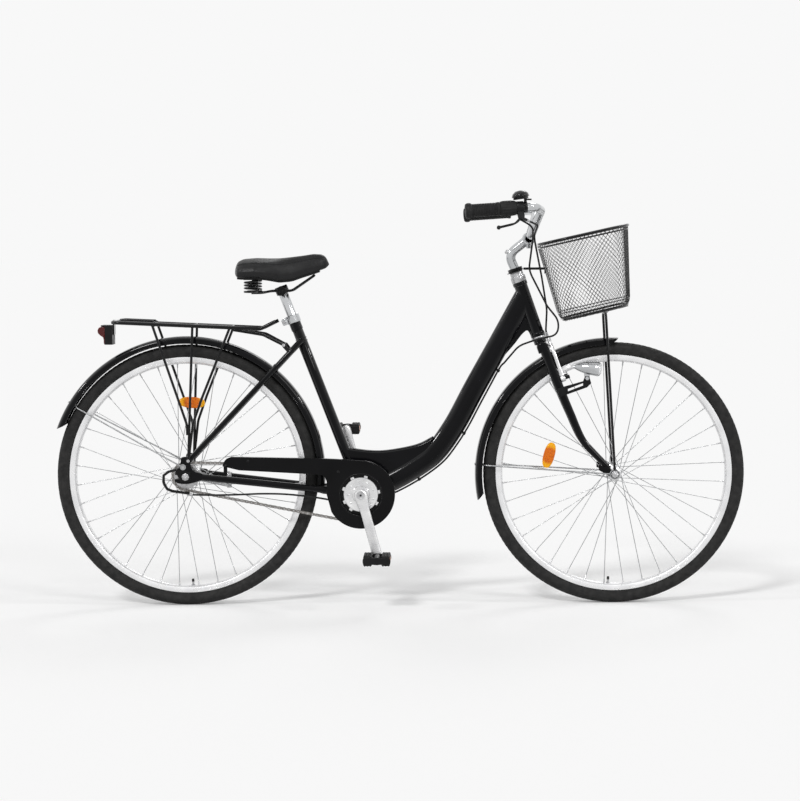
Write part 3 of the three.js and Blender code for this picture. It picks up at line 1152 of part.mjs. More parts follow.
const steererBore = upright(STEERER_BORE, CROWN_TOP - CROWN_DROP / 2, STEERER_TOP + OVERRUN);
const forkShape = join(
  upright(STEERER_RADIUS, CROWN_TOP - SINK, STEERER_TOP), crown, both(join(blade, boss, tip)),
).subtract(join(steererBore, drum(AXLE_HOLE, -REAR_WIDTH, REAR_WIDTH, TUBE_SIDES).translate([RAKE, 0, 0])));
add("fork", leaned(forkShape), PAINT);

// The front mudguard hangs from a bracket under the crown of the fork.
const HANGER_HALF = 9;
const guardTop = Math.sqrt(FRONT_MUDGUARD_RADIUS ** 2 - RAKE ** 2);
const hanger = leaned(block(
  at(-HANGER_HALF, -HANGER_HALF, guardTop - MUDGUARD_WALL * 2),
  at(HANGER_HALF, HANGER_HALF, CROWN_TOP - CROWN_DROP - GAP),
));
const frontMudguard = mudguardShape(FRONT_MUDGUARD_RADIUS, FRONT_MUDGUARD_ARC).translate([HUB_X, 0, HUB_Z]);
add("front_mudguard", join(frontMudguard, hanger), PAINT);

// Stem: a quill in the steerer that bends forward to the clamp of the bar.
const QUILL_RADIUS = 11.1;
const QUILL_BOTTOM = 500;
const STEM_RADIUS = 12.5;
const STEM_SHOULDER = STEERER_TOP + 6;
const STEM_BEND = at(292, 0, 936);
const BAR_CENTRE = at(346, 0, 978.5);
const BAR_RADIUS_HERE = 12.7;
const BAR_CLAMP = 17;
const BAR_CLAMP_HALF = 20;
const stemShape = join(
  leaned(upright(QUILL_RADIUS, QUILL_BOTTOM, STEM_SHOULDER + OVERRUN)),
  tube([steerPoint(STEM_SHOULDER), STEM_BEND, BAR_CENTRE], STEM_RADIUS, STEM_RADIUS * 3),
  drum(BAR_CLAMP, -BAR_CLAMP_HALF, BAR_CLAMP_HALF).translate([BAR_CENTRE.x, 0, BAR_CENTRE.z]),
).subtract(drum(BAR_RADIUS_HERE + GAP, -REAR_WIDTH, REAR_WIDTH).translate([BAR_CENTRE.x, 0, BAR_CENTRE.z]));
add("stem", stemShape, CHROME);

// Handlebar: a swept-back bar that rises from the clamp to the grips.
const BAR_TUBE = 11;
const BAR_BEND = 50;
const BAR_POINTS = [
  [0, BAR_CLAMP_HALF + 8, 0], [6, 66, 12], [18, 130, 47], [27, 190, 72], [8, 276.3, 79.6], [-166, 300, 69],
];
const barRoute = new Route(
  [...BAR_POINTS.map(([x, y, z]) => at(x, -y, z)).reverse(), ...BAR_POINTS.map(([x, y, z]) => at(x, y, z))]
    .map((p) => p.add(BAR_CENTRE)), BAR_BEND,
);
const bar = join(
  swept(oval(BAR_TUBE, BAR_TUBE, TUBE_SIDES), barRoute),
  drum(BAR_RADIUS_HERE, -BAR_CLAMP_HALF - OVERRUN * 3, BAR_CLAMP_HALF + OVERRUN * 3).translate([
    BAR_CENTRE.x, 0, BAR_CENTRE.z]),
);
add("handlebar", bar, CHROME);

// Grips, with the end of the bar closed inside each, and the twist shifter before the right one.
const GRIP_RADIUS = 17;
const GRIP_FLARE = 20;
const GRIP_CAP = 5;
const GRIP_FROM_SHARE = 0.3;
const SHIFTER_RADIUS = 20;
const SHIFTER_LENGTH = 42;
const barEnds = BAR_POINTS.slice(-2).map(([x, y, z]) => at(x, -y, z).add(BAR_CENTRE));
const GRIP_END = barEnds[1];
const gripAxis = GRIP_END.clone().sub(barEnds[0]).normalize();
const alongGrip = (distance) => GRIP_END.clone().addScaledVector(gripAxis, -distance);
const clearBar = (radius) => swept(oval(radius, radius, TUBE_SIDES), barRoute);
const GRIP_LENGTH = 84;
const BORE_SLACK = 0.9;
const gripBore = (from, to) => rod(alongGrip(from), alongGrip(to), BAR_TUBE + BORE_SLACK, ROUND_SIDES);
const gripShape = join(
  rod(alongGrip(GRIP_LENGTH), alongGrip(0), GRIP_RADIUS, ROUND_SIDES, GRIP_RADIUS),
  rod(alongGrip(GRIP_CAP * 2), alongGrip(-GRIP_CAP), GRIP_FLARE, ROUND_SIDES, GRIP_FLARE * 0.9),
).subtract(gripBore(GRIP_LENGTH * 2, -GAP));
add("right_grip", gripShape, RUBBER);
const longGrip = join(
  rod(alongGrip(GRIP_LENGTH + SHIFTER_LENGTH), alongGrip(0), GRIP_RADIUS, ROUND_SIDES, GRIP_RADIUS),
  rod(alongGrip(GRIP_CAP * 2), alongGrip(-GRIP_CAP), GRIP_FLARE, ROUND_SIDES, GRIP_FLARE * 0.9),
).subtract(gripBore(GRIP_LENGTH * 2, -GAP));
add("left_grip", mirrored(longGrip), RUBBER);
const shifter = join(
  rod(alongGrip(GRIP_LENGTH + SHIFTER_LENGTH), alongGrip(GRIP_LENGTH + GAP), SHIFTER_RADIUS, ROUND_SIDES,
    GRIP_RADIUS),
).subtract(gripBore(GRIP_LENGTH * 2, 0));
add("twist_shifter", shifter, RUBBER);

// Brake lever bracket, clamped on the bar inboard of the shifter, with the pin that the lever turns on.
const BRACKET_START = GRIP_LENGTH + SHIFTER_LENGTH + RUN_GAP;
const BRACKET_LENGTH = 18;
const BRACKET_OUTER = 16.5;
const LEVER_OFF = 27;
const LEVER_AHEAD = 1;
const LEVER_HALF = 4;
const LEVER_CHEEK = 2.5;
const LEVER_CHEEK_RADIUS = 8;
const LEVER_PIN = 2.6;
const BARREL_RADIUS = 4;
const BARREL_LENGTH = 16;
const bracketMiddle = alongGrip(BRACKET_START + BRACKET_LENGTH / 2);
const leverOut = at(0, -0.42, -0.9075).projectOnPlane(gripAxis).normalize();
const pinWay = leverOut.clone().cross(gripAxis).normalize();
const pivot = bracketMiddle.clone().addScaledVector(gripAxis, -LEVER_AHEAD).addScaledVector(leverOut, LEVER_OFF);
const onPin = (along, centre = pivot) => centre.clone().addScaledVector(pinWay, along);
const cheekIn = LEVER_HALF + TURN_GAP;
const cheekFoot = bracketMiddle.clone().addScaledVector(leverOut, BAR_TUBE);
const cheek = (side) => wasm.Manifold.hull([pivot, cheekFoot].map((centre) => rod(
  onPin(side * cheekIn, centre), onPin(side * (cheekIn + LEVER_CHEEK), centre), LEVER_CHEEK_RADIUS, TUBE_SIDES,
)));
const brakeWay = at(0.62, 0.74, -0.26).normalize();
const shiftWay = at(0.05, 0.75, -0.66).normalize();
const brakeBarrel = onPin(cheekIn + LEVER_CHEEK).addScaledVector(gripAxis, -LEVER_HALF);
const shiftBarrel = bracketMiddle.clone().addScaledVector(shiftWay, BRACKET_OUTER - BARREL_RADIUS);
const barrel = (from, way) => rod(from, from.clone().addScaledVector(way, BARREL_LENGTH), BARREL_RADIUS, TUBE_SIDES);
const leverBracket = join(
  rod(alongGrip(BRACKET_START + BRACKET_LENGTH), alongGrip(BRACKET_START), BRACKET_OUTER, ROUND_SIDES),
  cheek(1), cheek(-1), rod(onPin(-cheekIn - SINK), onPin(cheekIn + SINK), LEVER_PIN, TUBE_SIDES),
  barrel(brakeBarrel, brakeWay), barrel(shiftBarrel, shiftWay),
).subtract(clearBar(BAR_TUBE + GAP));
add("lever_bracket", leverBracket, BLACK);

// Brake lever: a blade from its boss on the pin out below the grip, with a rounded tip.
const LEVER_REACH = 74;
const LEVER_SPREAD = 18;
const LEVER_RADIUS = 3.5;
const LEVER_BOSS = 6;
const LEVER_TIP = 5;
const LEVER_ELBOW_SHARES = [0.3, 0.6];
const leverPoint = (along, out) => pivot.clone().addScaledVector(gripAxis, along).addScaledVector(leverOut, out);
const leverEnd = leverPoint(LEVER_REACH, LEVER_SPREAD);
const leverShape = join(
  rod(onPin(-LEVER_HALF), onPin(LEVER_HALF), LEVER_BOSS, TUBE_SIDES),
  tube([pivot, leverPoint(LEVER_REACH * LEVER_ELBOW_SHARES[0], LEVER_SPREAD * LEVER_ELBOW_SHARES[1]), leverEnd], LEVER_RADIUS, LEVER_REACH / 2,
    SMALL_SIDES, 2),
  rod(onPin(-LEVER_HALF, leverEnd), onPin(LEVER_HALF, leverEnd), LEVER_TIP, TUBE_SIDES),
).subtract(rod(onPin(-cheekIn), onPin(cheekIn), LEVER_PIN + TURN_GAP, TUBE_SIDES));
add("brake_lever", leverShape, ALLOY);

// Bell: a dome and its base on a strap round the bar, and the thumb lever below it.
const BELL_RADIUS = 23;
const BELL_HEIGHT = 17;
const BELL_TILT = 8;
const BELL_BASE = 6;
const BELL_STALK = 4;
const BELL_STRAP = 14.5;
const BELL_STRAP_WIDTH = 9;
const BELL_BACK = 12;
const bellFoot = alongGrip(BRACKET_START + BRACKET_LENGTH + RUN_GAP + BELL_STRAP_WIDTH / 2);
const bellCentre = bellFoot.clone().add(at(-BELL_BACK, BELL_BACK / 4, BELL_STRAP + BELL_BASE * 2));
const dome = [[0, 1], [0.55, 0.88], [0.88, 0.5], [1, 0]].map(([out, up]) => [out * BELL_RADIUS, up * BELL_HEIGHT]);
const bellShape = join(
  turned([...dome, [0, 0]], ROUND_SIDES).rotate([90, 0, 0]),
  upright(BELL_RADIUS * 0.86, -BELL_BASE, SINK),
).rotate([0, -BELL_TILT, 0]).translate([bellCentre.x, bellCentre.y, bellCentre.z]);
const strapRing = rod(
  alongGrip(BRACKET_START + BRACKET_LENGTH + RUN_GAP),
  alongGrip(BRACKET_START + BRACKET_LENGTH + RUN_GAP + BELL_STRAP_WIDTH), BELL_STRAP, ROUND_SIDES,
);
const stalk = rod(bellFoot, bellFoot.clone().setZ(bellCentre.z - BELL_BASE / 2), BELL_STALK, TUBE_SIDES);
add("bell", join(bellShape, strapRing, stalk).subtract(clearBar(BAR_TUBE + GAP)), BLACK);
const BELL_LEVER_HALF = 4;
const BELL_LEVER_REACH = 12;
const BELL_LEVER_SHARES = [0.7, 0.3];
const bellLeverX = BELL_RADIUS * BELL_LEVER_SHARES[0];
const underBase = BELL_BASE * Math.cos(radians(BELL_TILT))
  - (bellLeverX - BELL_LEVER_HALF / 2) * Math.sin(radians(BELL_TILT));
const bellPivot = bellCentre.clone().add(
  at(bellLeverX, BELL_RADIUS * BELL_LEVER_SHARES[1], -underBase - GAP - BELL_LEVER_HALF / 2),
);
const bellLever = block(
  at(bellPivot.x - BELL_LEVER_HALF / 2, bellPivot.y - BELL_LEVER_HALF, bellPivot.z - BELL_LEVER_HALF / 2),
  at(bellPivot.x + BELL_LEVER_REACH, bellPivot.y + BELL_LEVER_HALF, bellPivot.z + BELL_LEVER_HALF / 2),
);
add("bell_lever", bellLever, BLACK);

// Front brake: an arm on each boss, with its pad beside the rim and its top above the tyre.
const ARM_BORE = 5;
const ARM_HUB = 9;
const ARM_LENGTH = 112;
const ARM_BLADE = 5;
const PAD_LENGTH = 56;
const PAD_HEIGHT = 9;
const PAD_GAP = 1.2;
const ARM_OUT_Y = 45;
const ARM_TOP_Y = 30;
const BRAKE_ARM_START = 18;
const BRAKE_ARM_THICK = 12;
const padRadius = RIM_RADIUS - RIM_DEPTH / 2 + OVERRUN;
const armHub = rod(
  at(BRAKE_ARM_START, -BOSS_Y, BOSS_ALONG), at(BRAKE_ARM_START + BRAKE_ARM_THICK, -BOSS_Y, BOSS_ALONG),
  ARM_HUB, ROUND_SIDES,
);
const armMiddle = BRAKE_ARM_START + BRAKE_ARM_THICK / 2;
const armBlade = flatTube([
  at(armMiddle, -BOSS_Y, BOSS_ALONG), at(armMiddle, -ARM_OUT_Y, BOSS_ALONG + ARM_LENGTH * 0.6),
  at(armMiddle, -ARM_TOP_Y, BOSS_ALONG + ARM_LENGTH),
], ARM_BLADE, ARM_BLADE * 0.7, ARM_LENGTH / 3, SMALL_SIDES, 2);
const padUp = Math.sqrt(padRadius ** 2 - (RAKE - armMiddle) ** 2);
const padIn = RIM_WIDTH / 2 + PAD_GAP;
const padBlock = block(
  at(-PAD_LENGTH / 2, -padIn - PAD_HEIGHT, -PAD_HEIGHT / 2), at(PAD_LENGTH / 2, -padIn, PAD_HEIGHT / 2),
).rotate([0, THREE.MathUtils.radToDeg(Math.asin((armMiddle - RAKE) / padRadius)), 0]).translate([armMiddle, 0, padUp]);
const padStud = rod(
  at(armMiddle, -padIn - PAD_HEIGHT + SINK, padUp), at(armMiddle, -BOSS_Y - SINK, padUp), PAD_HEIGHT / 3, SMALL_SIDES,
);
const ARM_HEAD = 5;
const armTop = BOSS_ALONG + ARM_LENGTH;
const armHead = rod(
  at(armMiddle, -ARM_TOP_Y - ARM_HEAD / 2, armTop), at(armMiddle, -ARM_TOP_Y + ARM_HEAD * 2, armTop),
  ARM_HEAD, TUBE_SIDES,
);
const armShape = join(armHub, armBlade, armHead, padBlock, padStud).subtract(rod(
  at(0, -BOSS_Y, BOSS_ALONG), at(BOSS_END * 2, -BOSS_Y, BOSS_ALONG), BOSS_RADIUS + TURN_GAP, TUBE_SIDES,
));
add("right_brake_arm", leaned(armShape), ALLOY);
add("left_brake_arm", leaned(mirrored(armShape)), ALLOY);

// Headlight on a pierced bracket from the right fork blade.
const LAMP_BRACKET_Y = 60;
const LAMP_BRACKET_WALL = 2.5;
const LAMP_BRACKET_FROM = at(436, 0, 575);
const LAMP_BRACKET_TO = at(498, 0, 594);
const LAMP_BRACKET_HALF = 11;
const LAMP_BRACKET_HOLE = 4;
const LAMP_EYE_RISE = 13;
const lampEye = at(LAMP_BRACKET_TO.x, 0, LAMP_BRACKET_TO.z + LAMP_EYE_RISE);
const bladeSide = bladeY(LAMP_BRACKET_FROM.z / 3);
const lampBracket = plate([
  [LAMP_BRACKET_FROM.x - LAMP_BRACKET_HALF * 1.6, LAMP_BRACKET_FROM.z + LAMP_BRACKET_HALF / 2],
  [LAMP_BRACKET_FROM.x - LAMP_BRACKET_HALF, LAMP_BRACKET_FROM.z - LAMP_BRACKET_HALF * 1.6],
  [LAMP_BRACKET_TO.x, LAMP_BRACKET_TO.z - LAMP_BRACKET_HALF],
  [LAMP_BRACKET_TO.x + LAMP_BRACKET_HALF, LAMP_BRACKET_TO.z],
  [LAMP_BRACKET_TO.x + LAMP_BRACKET_HALF / 2, lampEye.z + LAMP_BRACKET_HALF / 2],
  [LAMP_BRACKET_TO.x - LAMP_BRACKET_HALF / 2, lampEye.z + LAMP_BRACKET_HALF / 2],
  [LAMP_BRACKET_TO.x - LAMP_BRACKET_HALF, LAMP_BRACKET_TO.z + LAMP_BRACKET_HALF / 2],
], -LAMP_BRACKET_Y - LAMP_BRACKET_WALL, -LAMP_BRACKET_Y, [
  [
    [LAMP_BRACKET_FROM.x + LAMP_BRACKET_HALF, LAMP_BRACKET_FROM.z - LAMP_BRACKET_HOLE / 2],
    [LAMP_BRACKET_TO.x - LAMP_BRACKET_HALF, LAMP_BRACKET_TO.z - LAMP_BRACKET_HOLE * 1.5],
    [LAMP_BRACKET_TO.x - LAMP_BRACKET_HALF, LAMP_BRACKET_TO.z],
    [LAMP_BRACKET_FROM.x + LAMP_BRACKET_HALF, LAMP_BRACKET_FROM.z + LAMP_BRACKET_HOLE],
  ].reverse(),
]);
const LAMP_PIN = 3;
const lampLug = rod(
  at(steerPoint(BRAKE_ARM_START * 14, BOSS_START).x, -LAMP_BRACKET_Y - SINK, LAMP_BRACKET_FROM.z),
  at(steerPoint(BRAKE_ARM_START * 14, BOSS_START).x, -BLADE_TIP_Y + LAMP_PIN, LAMP_BRACKET_FROM.z),
  LAMP_BRACKET_HALF / 2, TUBE_SIDES,
);
add("headlight_bracket", join(lampBracket, lampLug).subtract(join(
  leaned(both(blade)), drum(LAMP_PIN + TURN_GAP, -REAR_WIDTH, 0, TUBE_SIDES).translate([lampEye.x, 0, lampEye.z]),
)), BLACK);

// Headlight: a bullet body on a foot that tilts about the eye of the bracket, with a lens in front.
const LAMP_LENGTH = 68;
const LAMP_RADIUS = 19;
const LAMP_DROOP = 6;
const LAMP_CENTRE = at(462, -56, 638);
const LAMP_FOOT_WALL = 3;
const LENS_THICKNESS = 8;
const lampProfile = [[0.12, 0], [0.6, 0.28], [0.92, 0.6], [1, 0.92], [1, 1]].map(([out, along]) => [
  out * LAMP_RADIUS, along * LAMP_LENGTH,
]);
const alongX = (shape) => shape.rotate([0, 0, -90]).rotate([0, LAMP_DROOP, 0])
  .translate([LAMP_CENTRE.x, LAMP_CENTRE.y, LAMP_CENTRE.z]);
const lampBody = alongX(turned([[0, 0], ...lampProfile, [0, LAMP_LENGTH]], ROUND_SIDES));
const footY = LAMP_BRACKET_Y - GAP;
const lampFoot = plate([
  [lampEye.x - LAMP_PIN * 2, lampEye.z - LAMP_PIN * 2], [lampEye.x + LAMP_PIN * 2, lampEye.z - LAMP_PIN * 2],
  [lampEye.x + LAMP_PIN * 3, LAMP_CENTRE.z - LAMP_RADIUS / 2], [lampEye.x - LAMP_PIN * 3, LAMP_CENTRE.z - LAMP_RADIUS / 2],
], -footY, -footY + LAMP_FOOT_WALL);
const lampPin = join(
  drum(LAMP_PIN, -LAMP_BRACKET_Y - LAMP_BRACKET_WALL - GAP * 2, -footY + SINK, TUBE_SIDES),
  drum(LAMP_PIN * 1.8, -LAMP_BRACKET_Y - LAMP_BRACKET_WALL - LAMP_PIN, -LAMP_BRACKET_Y - LAMP_BRACKET_WALL - GAP,
    NUT_SIDES),
).translate([lampEye.x, 0, lampEye.z]);
add("headlight", join(lampBody, lampFoot, lampPin), CHROME);
const lensDisc = turned([
  [0, LAMP_LENGTH + GAP], [LAMP_RADIUS * 0.94, LAMP_LENGTH + GAP],
  [LAMP_RADIUS * 0.8, LAMP_LENGTH + GAP + LENS_THICKNESS * 0.6], [0, LAMP_LENGTH + GAP + LENS_THICKNESS],
], ROUND_SIDES);
add("headlight_lens", alongX(lensDisc), CLEAR);

// Basket: four leaning walls and a floor of diamond net, a wire rim and a band round the foot.
const BASKET_TOP_REAR = at(370, 160, 966);
const BASKET_TOP_FRONT = at(594, 160, 1016);
const BASKET_LOW_FRONT = at(600, 115, 808);
const BASKET_LOW_REAR = at(431, 115, 768);
const NET_WALL = 2;
const NET_GAP_SHARE = 0.78;
const NET_EDGE_SHARE = 0.04;
const RIM_WIRE = 4;
const NET_SIDE = [4, 2];
const NET_END = [4, 2];
const NET_FLOOR = [3, 2];

// A sheet between four corners, with staggered diamond gaps in so many columns and rows.
function netSheet([a, b, c, d], [columns, rows]) {
  const across = b.clone().sub(a).normalize();
  const normal = across.clone().cross(d.clone().sub(a)).normalize();
  const up = normal.clone().cross(across);
  const flat = (p) => new THREE.Vector2(p.clone().sub(a).dot(across), p.clone().sub(a).dot(up));
  const corner = [a, b, c, d].map(flat);
  const spot = (u, v) => corner[0].clone().lerp(corner[1], u).lerp(corner[3].clone().lerp(corner[2], u), v);
  const shape = new THREE.Shape(corner);
  const stepU = (1 - NET_EDGE_SHARE * 2) / (columns + 1 / 2);
  const stepV = (1 - NET_EDGE_SHARE * 2) / ((rows * 2 + 1) / 2);
  for (let row = 0; row < rows * 2; row += 1) {
    const odd = row % 2;
    for (let column = 0; column < columns; column += 1) {
      const u = NET_EDGE_SHARE + stepU * (column + 1 / 2 + odd / 2);
      const v = NET_EDGE_SHARE + stepV * (row + 1) / 2;
      const [wide, high] = [stepU * NET_GAP_SHARE / 2, stepV * NET_GAP_SHARE / 2];
      shape.holes.push(new THREE.Path([
        spot(u - wide, v), spot(u, v + high), spot(u + wide, v), spot(u, v - high),
      ]));
    }
  }
  const sheet = new THREE.ExtrudeGeometry(shape, { depth: NET_WALL, bevelEnabled: false });
  sheet.translate(0, 0, -NET_WALL / 2);
  sheet.applyMatrix4(new THREE.Matrix4().makeBasis(across, up, normal).setPosition(a));
  return solid(sheet);
}
const left = (p) => p.clone().setY(p.y);
const right = (p) => p.clone().setY(-p.y);
const [tr, tf, lf, lr] = [BASKET_TOP_REAR, BASKET_TOP_FRONT, BASKET_LOW_FRONT, BASKET_LOW_REAR];
const rimRoute = [
  tr.clone().setY(0), left(tr), left(tf), right(tf), right(tr), tr.clone().setY(0).add(at(0, SINK, 0)),
];
const basket = join(
  netSheet([right(lr), right(lf), right(tf), right(tr)], NET_SIDE),
  netSheet([left(lr), left(lf), left(tf), left(tr)], NET_SIDE),
  netSheet([right(lf), left(lf), left(tf), right(tf)], NET_END),
  netSheet([right(lr), left(lr), left(tr), right(tr)], NET_END),
  netSheet([right(lr), right(lf), left(lf), left(lr)], NET_FLOOR),
  tube(rimRoute, RIM_WIRE, RIM_WIRE * 4, SMALL_SIDES, 1),
  tube([
    lr.clone().setY(0), left(lr), left(lf), right(lf), right(lr), lr.clone().setY(0).add(at(0, SINK, 0)),
  ], RIM_WIRE * 0.7, RIM_WIRE * 2, WIRE_SIDES, 1),
);
const BASKET_HOLD = headTop + UPPER_CUP_HEIGHT + GAP;
const HOLD_THICKNESS = 2.2;
const HOLD_RADIUS = 24;
const HOLD_PLATE = 14;
const holdStart = steerPoint(BASKET_HOLD + HOLD_THICKNESS / 2, HOLD_RADIUS - HOLD_THICKNESS);
const rearWallX = tr.x + (lr.x - tr.x) * ((tr.z - holdStart.z) / (tr.z - lr.z));
const basketHold = join(
  leaned(upright(HOLD_RADIUS, BASKET_HOLD, BASKET_HOLD + HOLD_THICKNESS)
    .subtract(upright(STEERER_RADIUS + GAP * 2, BASKET_HOLD - OVERRUN, BASKET_HOLD + HOLD_THICKNESS + OVERRUN))),
  rod(holdStart, at(rearWallX, 0, holdStart.z), RIM_WIRE * 0.8, SMALL_SIDES),
  rod(at(rearWallX - NET_WALL, 0, holdStart.z), at(rearWallX + NET_WALL, 0, holdStart.z), HOLD_PLATE, TUBE_SIDES),
);
add("basket", join(basket, basketHold), BLACK);

// Struts: one rod from an eye at each end of the front axle, across under the floor of the basket.
const STRUT_RADIUS = 3.5;
const STRUT_X = 548;
const STRUT_Y = 62;
const strutEyeY = tipOut + GUARD_PLATE + GAP;
const floorSlope = (lf.z - lr.z) / (lf.x - lr.x);
const strutTop = lr.z + (STRUT_X - lr.x) * floorSlope - (NET_WALL / 2 + STRUT_RADIUS + GAP) * Math.hypot(1, floorSlope);
const strutSide = (hand) => [
  at(HUB_X, hand * (strutEyeY + GUARD_PLATE / 2), HUB_Z), at(STRUT_X, hand * STRUT_Y, strutTop),
];
const strutEye = drum(STRUT_EYE, strutEyeY, strutEyeY + GUARD_PLATE, TUBE_SIDES)
  .translate([HUB_X, 0, HUB_Z]);
const strutClear = drum(AXLE_HOLE, -REAR_WIDTH, REAR_WIDTH, TUBE_SIDES).translate([HUB_X, 0, HUB_Z]);
const strutFlat = block(
  at(HUB_X - EYE_RADIUS * 2, strutEyeY + GUARD_PLATE, HUB_Z - EYE_RADIUS * 2),
  at(HUB_X + EYE_RADIUS * 2, strutEyeY * 2, HUB_Z + EYE_RADIUS * 2),
);
const strutFlatIn = block(
  at(HUB_X - EYE_RADIUS * 2, 0, HUB_Z - EYE_RADIUS * 2),
  at(HUB_X + EYE_RADIUS * 2, strutEyeY, HUB_Z + EYE_RADIUS * 2),
);
add("basket_struts", join(
  tube([...strutSide(-1), ...strutSide(1).reverse()], STRUT_RADIUS, STRUT_Y / 3, SMALL_SIDES, 2), both(strutEye),
).subtract(join(strutClear, both(strutFlat), both(strutFlatIn))), BLACK);

// Cables. Their routes are chosen by hand.
const CABLE_RADIUS = 2.5;
const CABLE_BEND = 60;
const cable = (points) => tube(points, CABLE_RADIUS, CABLE_BEND, WIRE_SIDES, 2);
const brakeStart = brakeBarrel.clone().addScaledVector(brakeWay, BARREL_LENGTH + GAP);
const shiftStart = shiftBarrel.clone().addScaledVector(shiftWay, BARREL_LENGTH + GAP);
const brakeEndY = ARM_TOP_Y - ARM_HEAD * 1.4;
const BRAKE_CABLE = [
  brakeStart, brakeStart.clone().addScaledVector(brakeWay, BARREL_LENGTH),
  at(364, -190, 1012), at(356, -110, 984), at(378, -50, 880), at(393, -26, 790),
  steerPoint(armTop + ARM_HEAD * 4, armMiddle, brakeEndY), steerPoint(armTop + ARM_HEAD + GAP, armMiddle, brakeEndY),
];
add("brake_cable", cable(BRAKE_CABLE), BLACK);
const SHIFT_LOOP = [
  shiftStart, shiftStart.clone().addScaledVector(shiftWay, BARREL_LENGTH),
  at(350, -218, 1008), at(352, -150, 976), at(343, -92, 895), at(392, -66, 800), at(424, -56, 760),
  at(420, -50, 722), at(370, -44, 712), at(318, -34, 694), at(283, -10, 652),
];
add("shift_cable_loop", cable(SHIFT_LOOP), BLACK);

const CLIP_RADIUS = 4;
const RUN_DROP = MAIN_HALF_DEPTH + CLIP_RADIUS + GAP;
const underTube = (share) => {
  const here = mainCurve.getPointAt(share);
  const way = mainCurve.getTangentAt(share);
  return at(here.x + way.z * RUN_DROP, 0, here.z - way.x * RUN_DROP);
};
const RUN_SHARES = [0.68, 0.6, 0.52, 0.44, 0.37, 0.3, 0.23, 0.14, 0.05];
const SHIFT_RUN_BACK = [
  [-118, -12, 262], [-200, -36, 286], [-300, -44, 300], [-370, -52, 303], [-430, -62, 302], [-500, -72, 302],
  [-552, -80, 304],
].map(([x, y, z]) => at(x, y, z));
const RUN_CLIP_SHARES = [0.66, 0.41, 0.2];
const CLIP_WIDTH = 7;
const loopEnds = SHIFT_LOOP.slice(-2);
const loopWay = loopEnds[1].clone().sub(loopEnds[0]).normalize();
const runPoints = [
  loopEnds[1].clone().addScaledVector(loopWay, GAP), loopEnds[1].clone().addScaledVector(loopWay, CLIP_WIDTH),
  ...RUN_SHARES.map(underTube), ...SHIFT_RUN_BACK,
];
const runClips = RUN_CLIP_SHARES.map((share) => {
  const here = underTube(share);
  const way = mainCurve.getTangentAt(share).multiplyScalar(CLIP_WIDTH / 2);
  return rod(here.clone().sub(way), here.clone().add(way), CLIP_RADIUS, SMALL_SIDES);
});
add("shift_cable_run", join(
  tube(runPoints, CABLE_RADIUS, 0, WIRE_SIDES), runClips,
), BLACK);

// Saddle: a cushion whose width, top and foot change from tail to nose.
const SADDLE_LENGTH = 251;
const SADDLE_HALF = 101;
const SADDLE_HEIGHT = 62;
const SADDLE_TAIL = -439;
const SADDLE_FOOT = 880;
const SADDLE_SHARES = [
  [0, 0.55, 0.1, 0.42], [0.03, 0.84, 0, 0.66], [0.1, 0.97, -0.02, 0.79], [0.24, 1, 0, 0.83], [0.36, 0.83, -0.06, 0.81],
  [0.48, 0.57, -0.16, 0.815], [0.6, 0.41, -0.12, 0.87], [0.72, 0.32, 0.05, 0.93], [0.84, 0.265, 0.2, 1],
  [0.93, 0.22, 0.32, 0.96], [0.98, 0.15, 0.39, 0.82], [1, 0.06, 0.47, 0.63],
];
const SADDLE_SECTION_SHARES = [[0.9, 0], [1, 0.3], [0.93, 0.66], [0.72, 0.9], [0.36, 1], [0.08, 0.97]];
const SADDLE_EDGE_SHARE = 0.9;

// Rings of points joined in order, with a flat fan at each end.
function lofted(rings) {
  const count = rings[0].length;
  const places = rings.flat().flatMap((p) => [p.x, p.y, p.z]);
  const faces = [];
  for (let i = 0; i < rings.length - 1; i += 1) {
    for (let k = 0; k < count; k += 1) {
      const [a, b] = [i * count + k, i * count + ((k + 1) % count)];
      faces.push(a, b, b + count, a, b + count, a + count);
    }
  }
  const last = (rings.length - 1) * count;
  for (let k = 1; k < count - 1; k += 1) faces.push(0, k + 1, k, last, last + k, last + k + 1);
  const geometry = new THREE.BufferGeometry();
  geometry.setAttribute("position", new THREE.Float32BufferAttribute(places, 3));
  geometry.setIndex(faces);
  return solid(geometry);
}
const saddleRings = SADDLE_SHARES.map(([along, wide, low, high]) => {
  const x = SADDLE_TAIL + along * SADDLE_LENGTH;
  const foot = SADDLE_FOOT + low * SADDLE_HEIGHT;
  const top = SADDLE_FOOT + high * SADDLE_HEIGHT;
  const half = SADDLE_SECTION_SHARES.map(([out, up]) => [out * wide * SADDLE_HALF, foot + up * (top - foot)]);
  return [...half.map(([y, z]) => at(x, y, z)), ...half.map(([y, z]) => at(x, -y, z)).reverse()];
});
add("saddle_cover", lofted(saddleRings), LEATHER);

// The base follows the foot of the cushion, a little inside its edge.
const BASE_THICKNESS = 5;
const baseRings = SADDLE_SHARES.slice(1, -2).map(([along, wide, low]) => {
  const x = SADDLE_TAIL + along * SADDLE_LENGTH;
  const top = SADDLE_FOOT + low * SADDLE_HEIGHT - GAP;
  const half = wide * SADDLE_HALF * SADDLE_EDGE_SHARE * SADDLE_EDGE_SHARE;
  return [at(x, half, top - BASE_THICKNESS), at(x, half, top), at(x, -half, top), at(x, -half, top - BASE_THICKNESS)];
});
add("saddle_base", lofted(baseRings), BLACK);

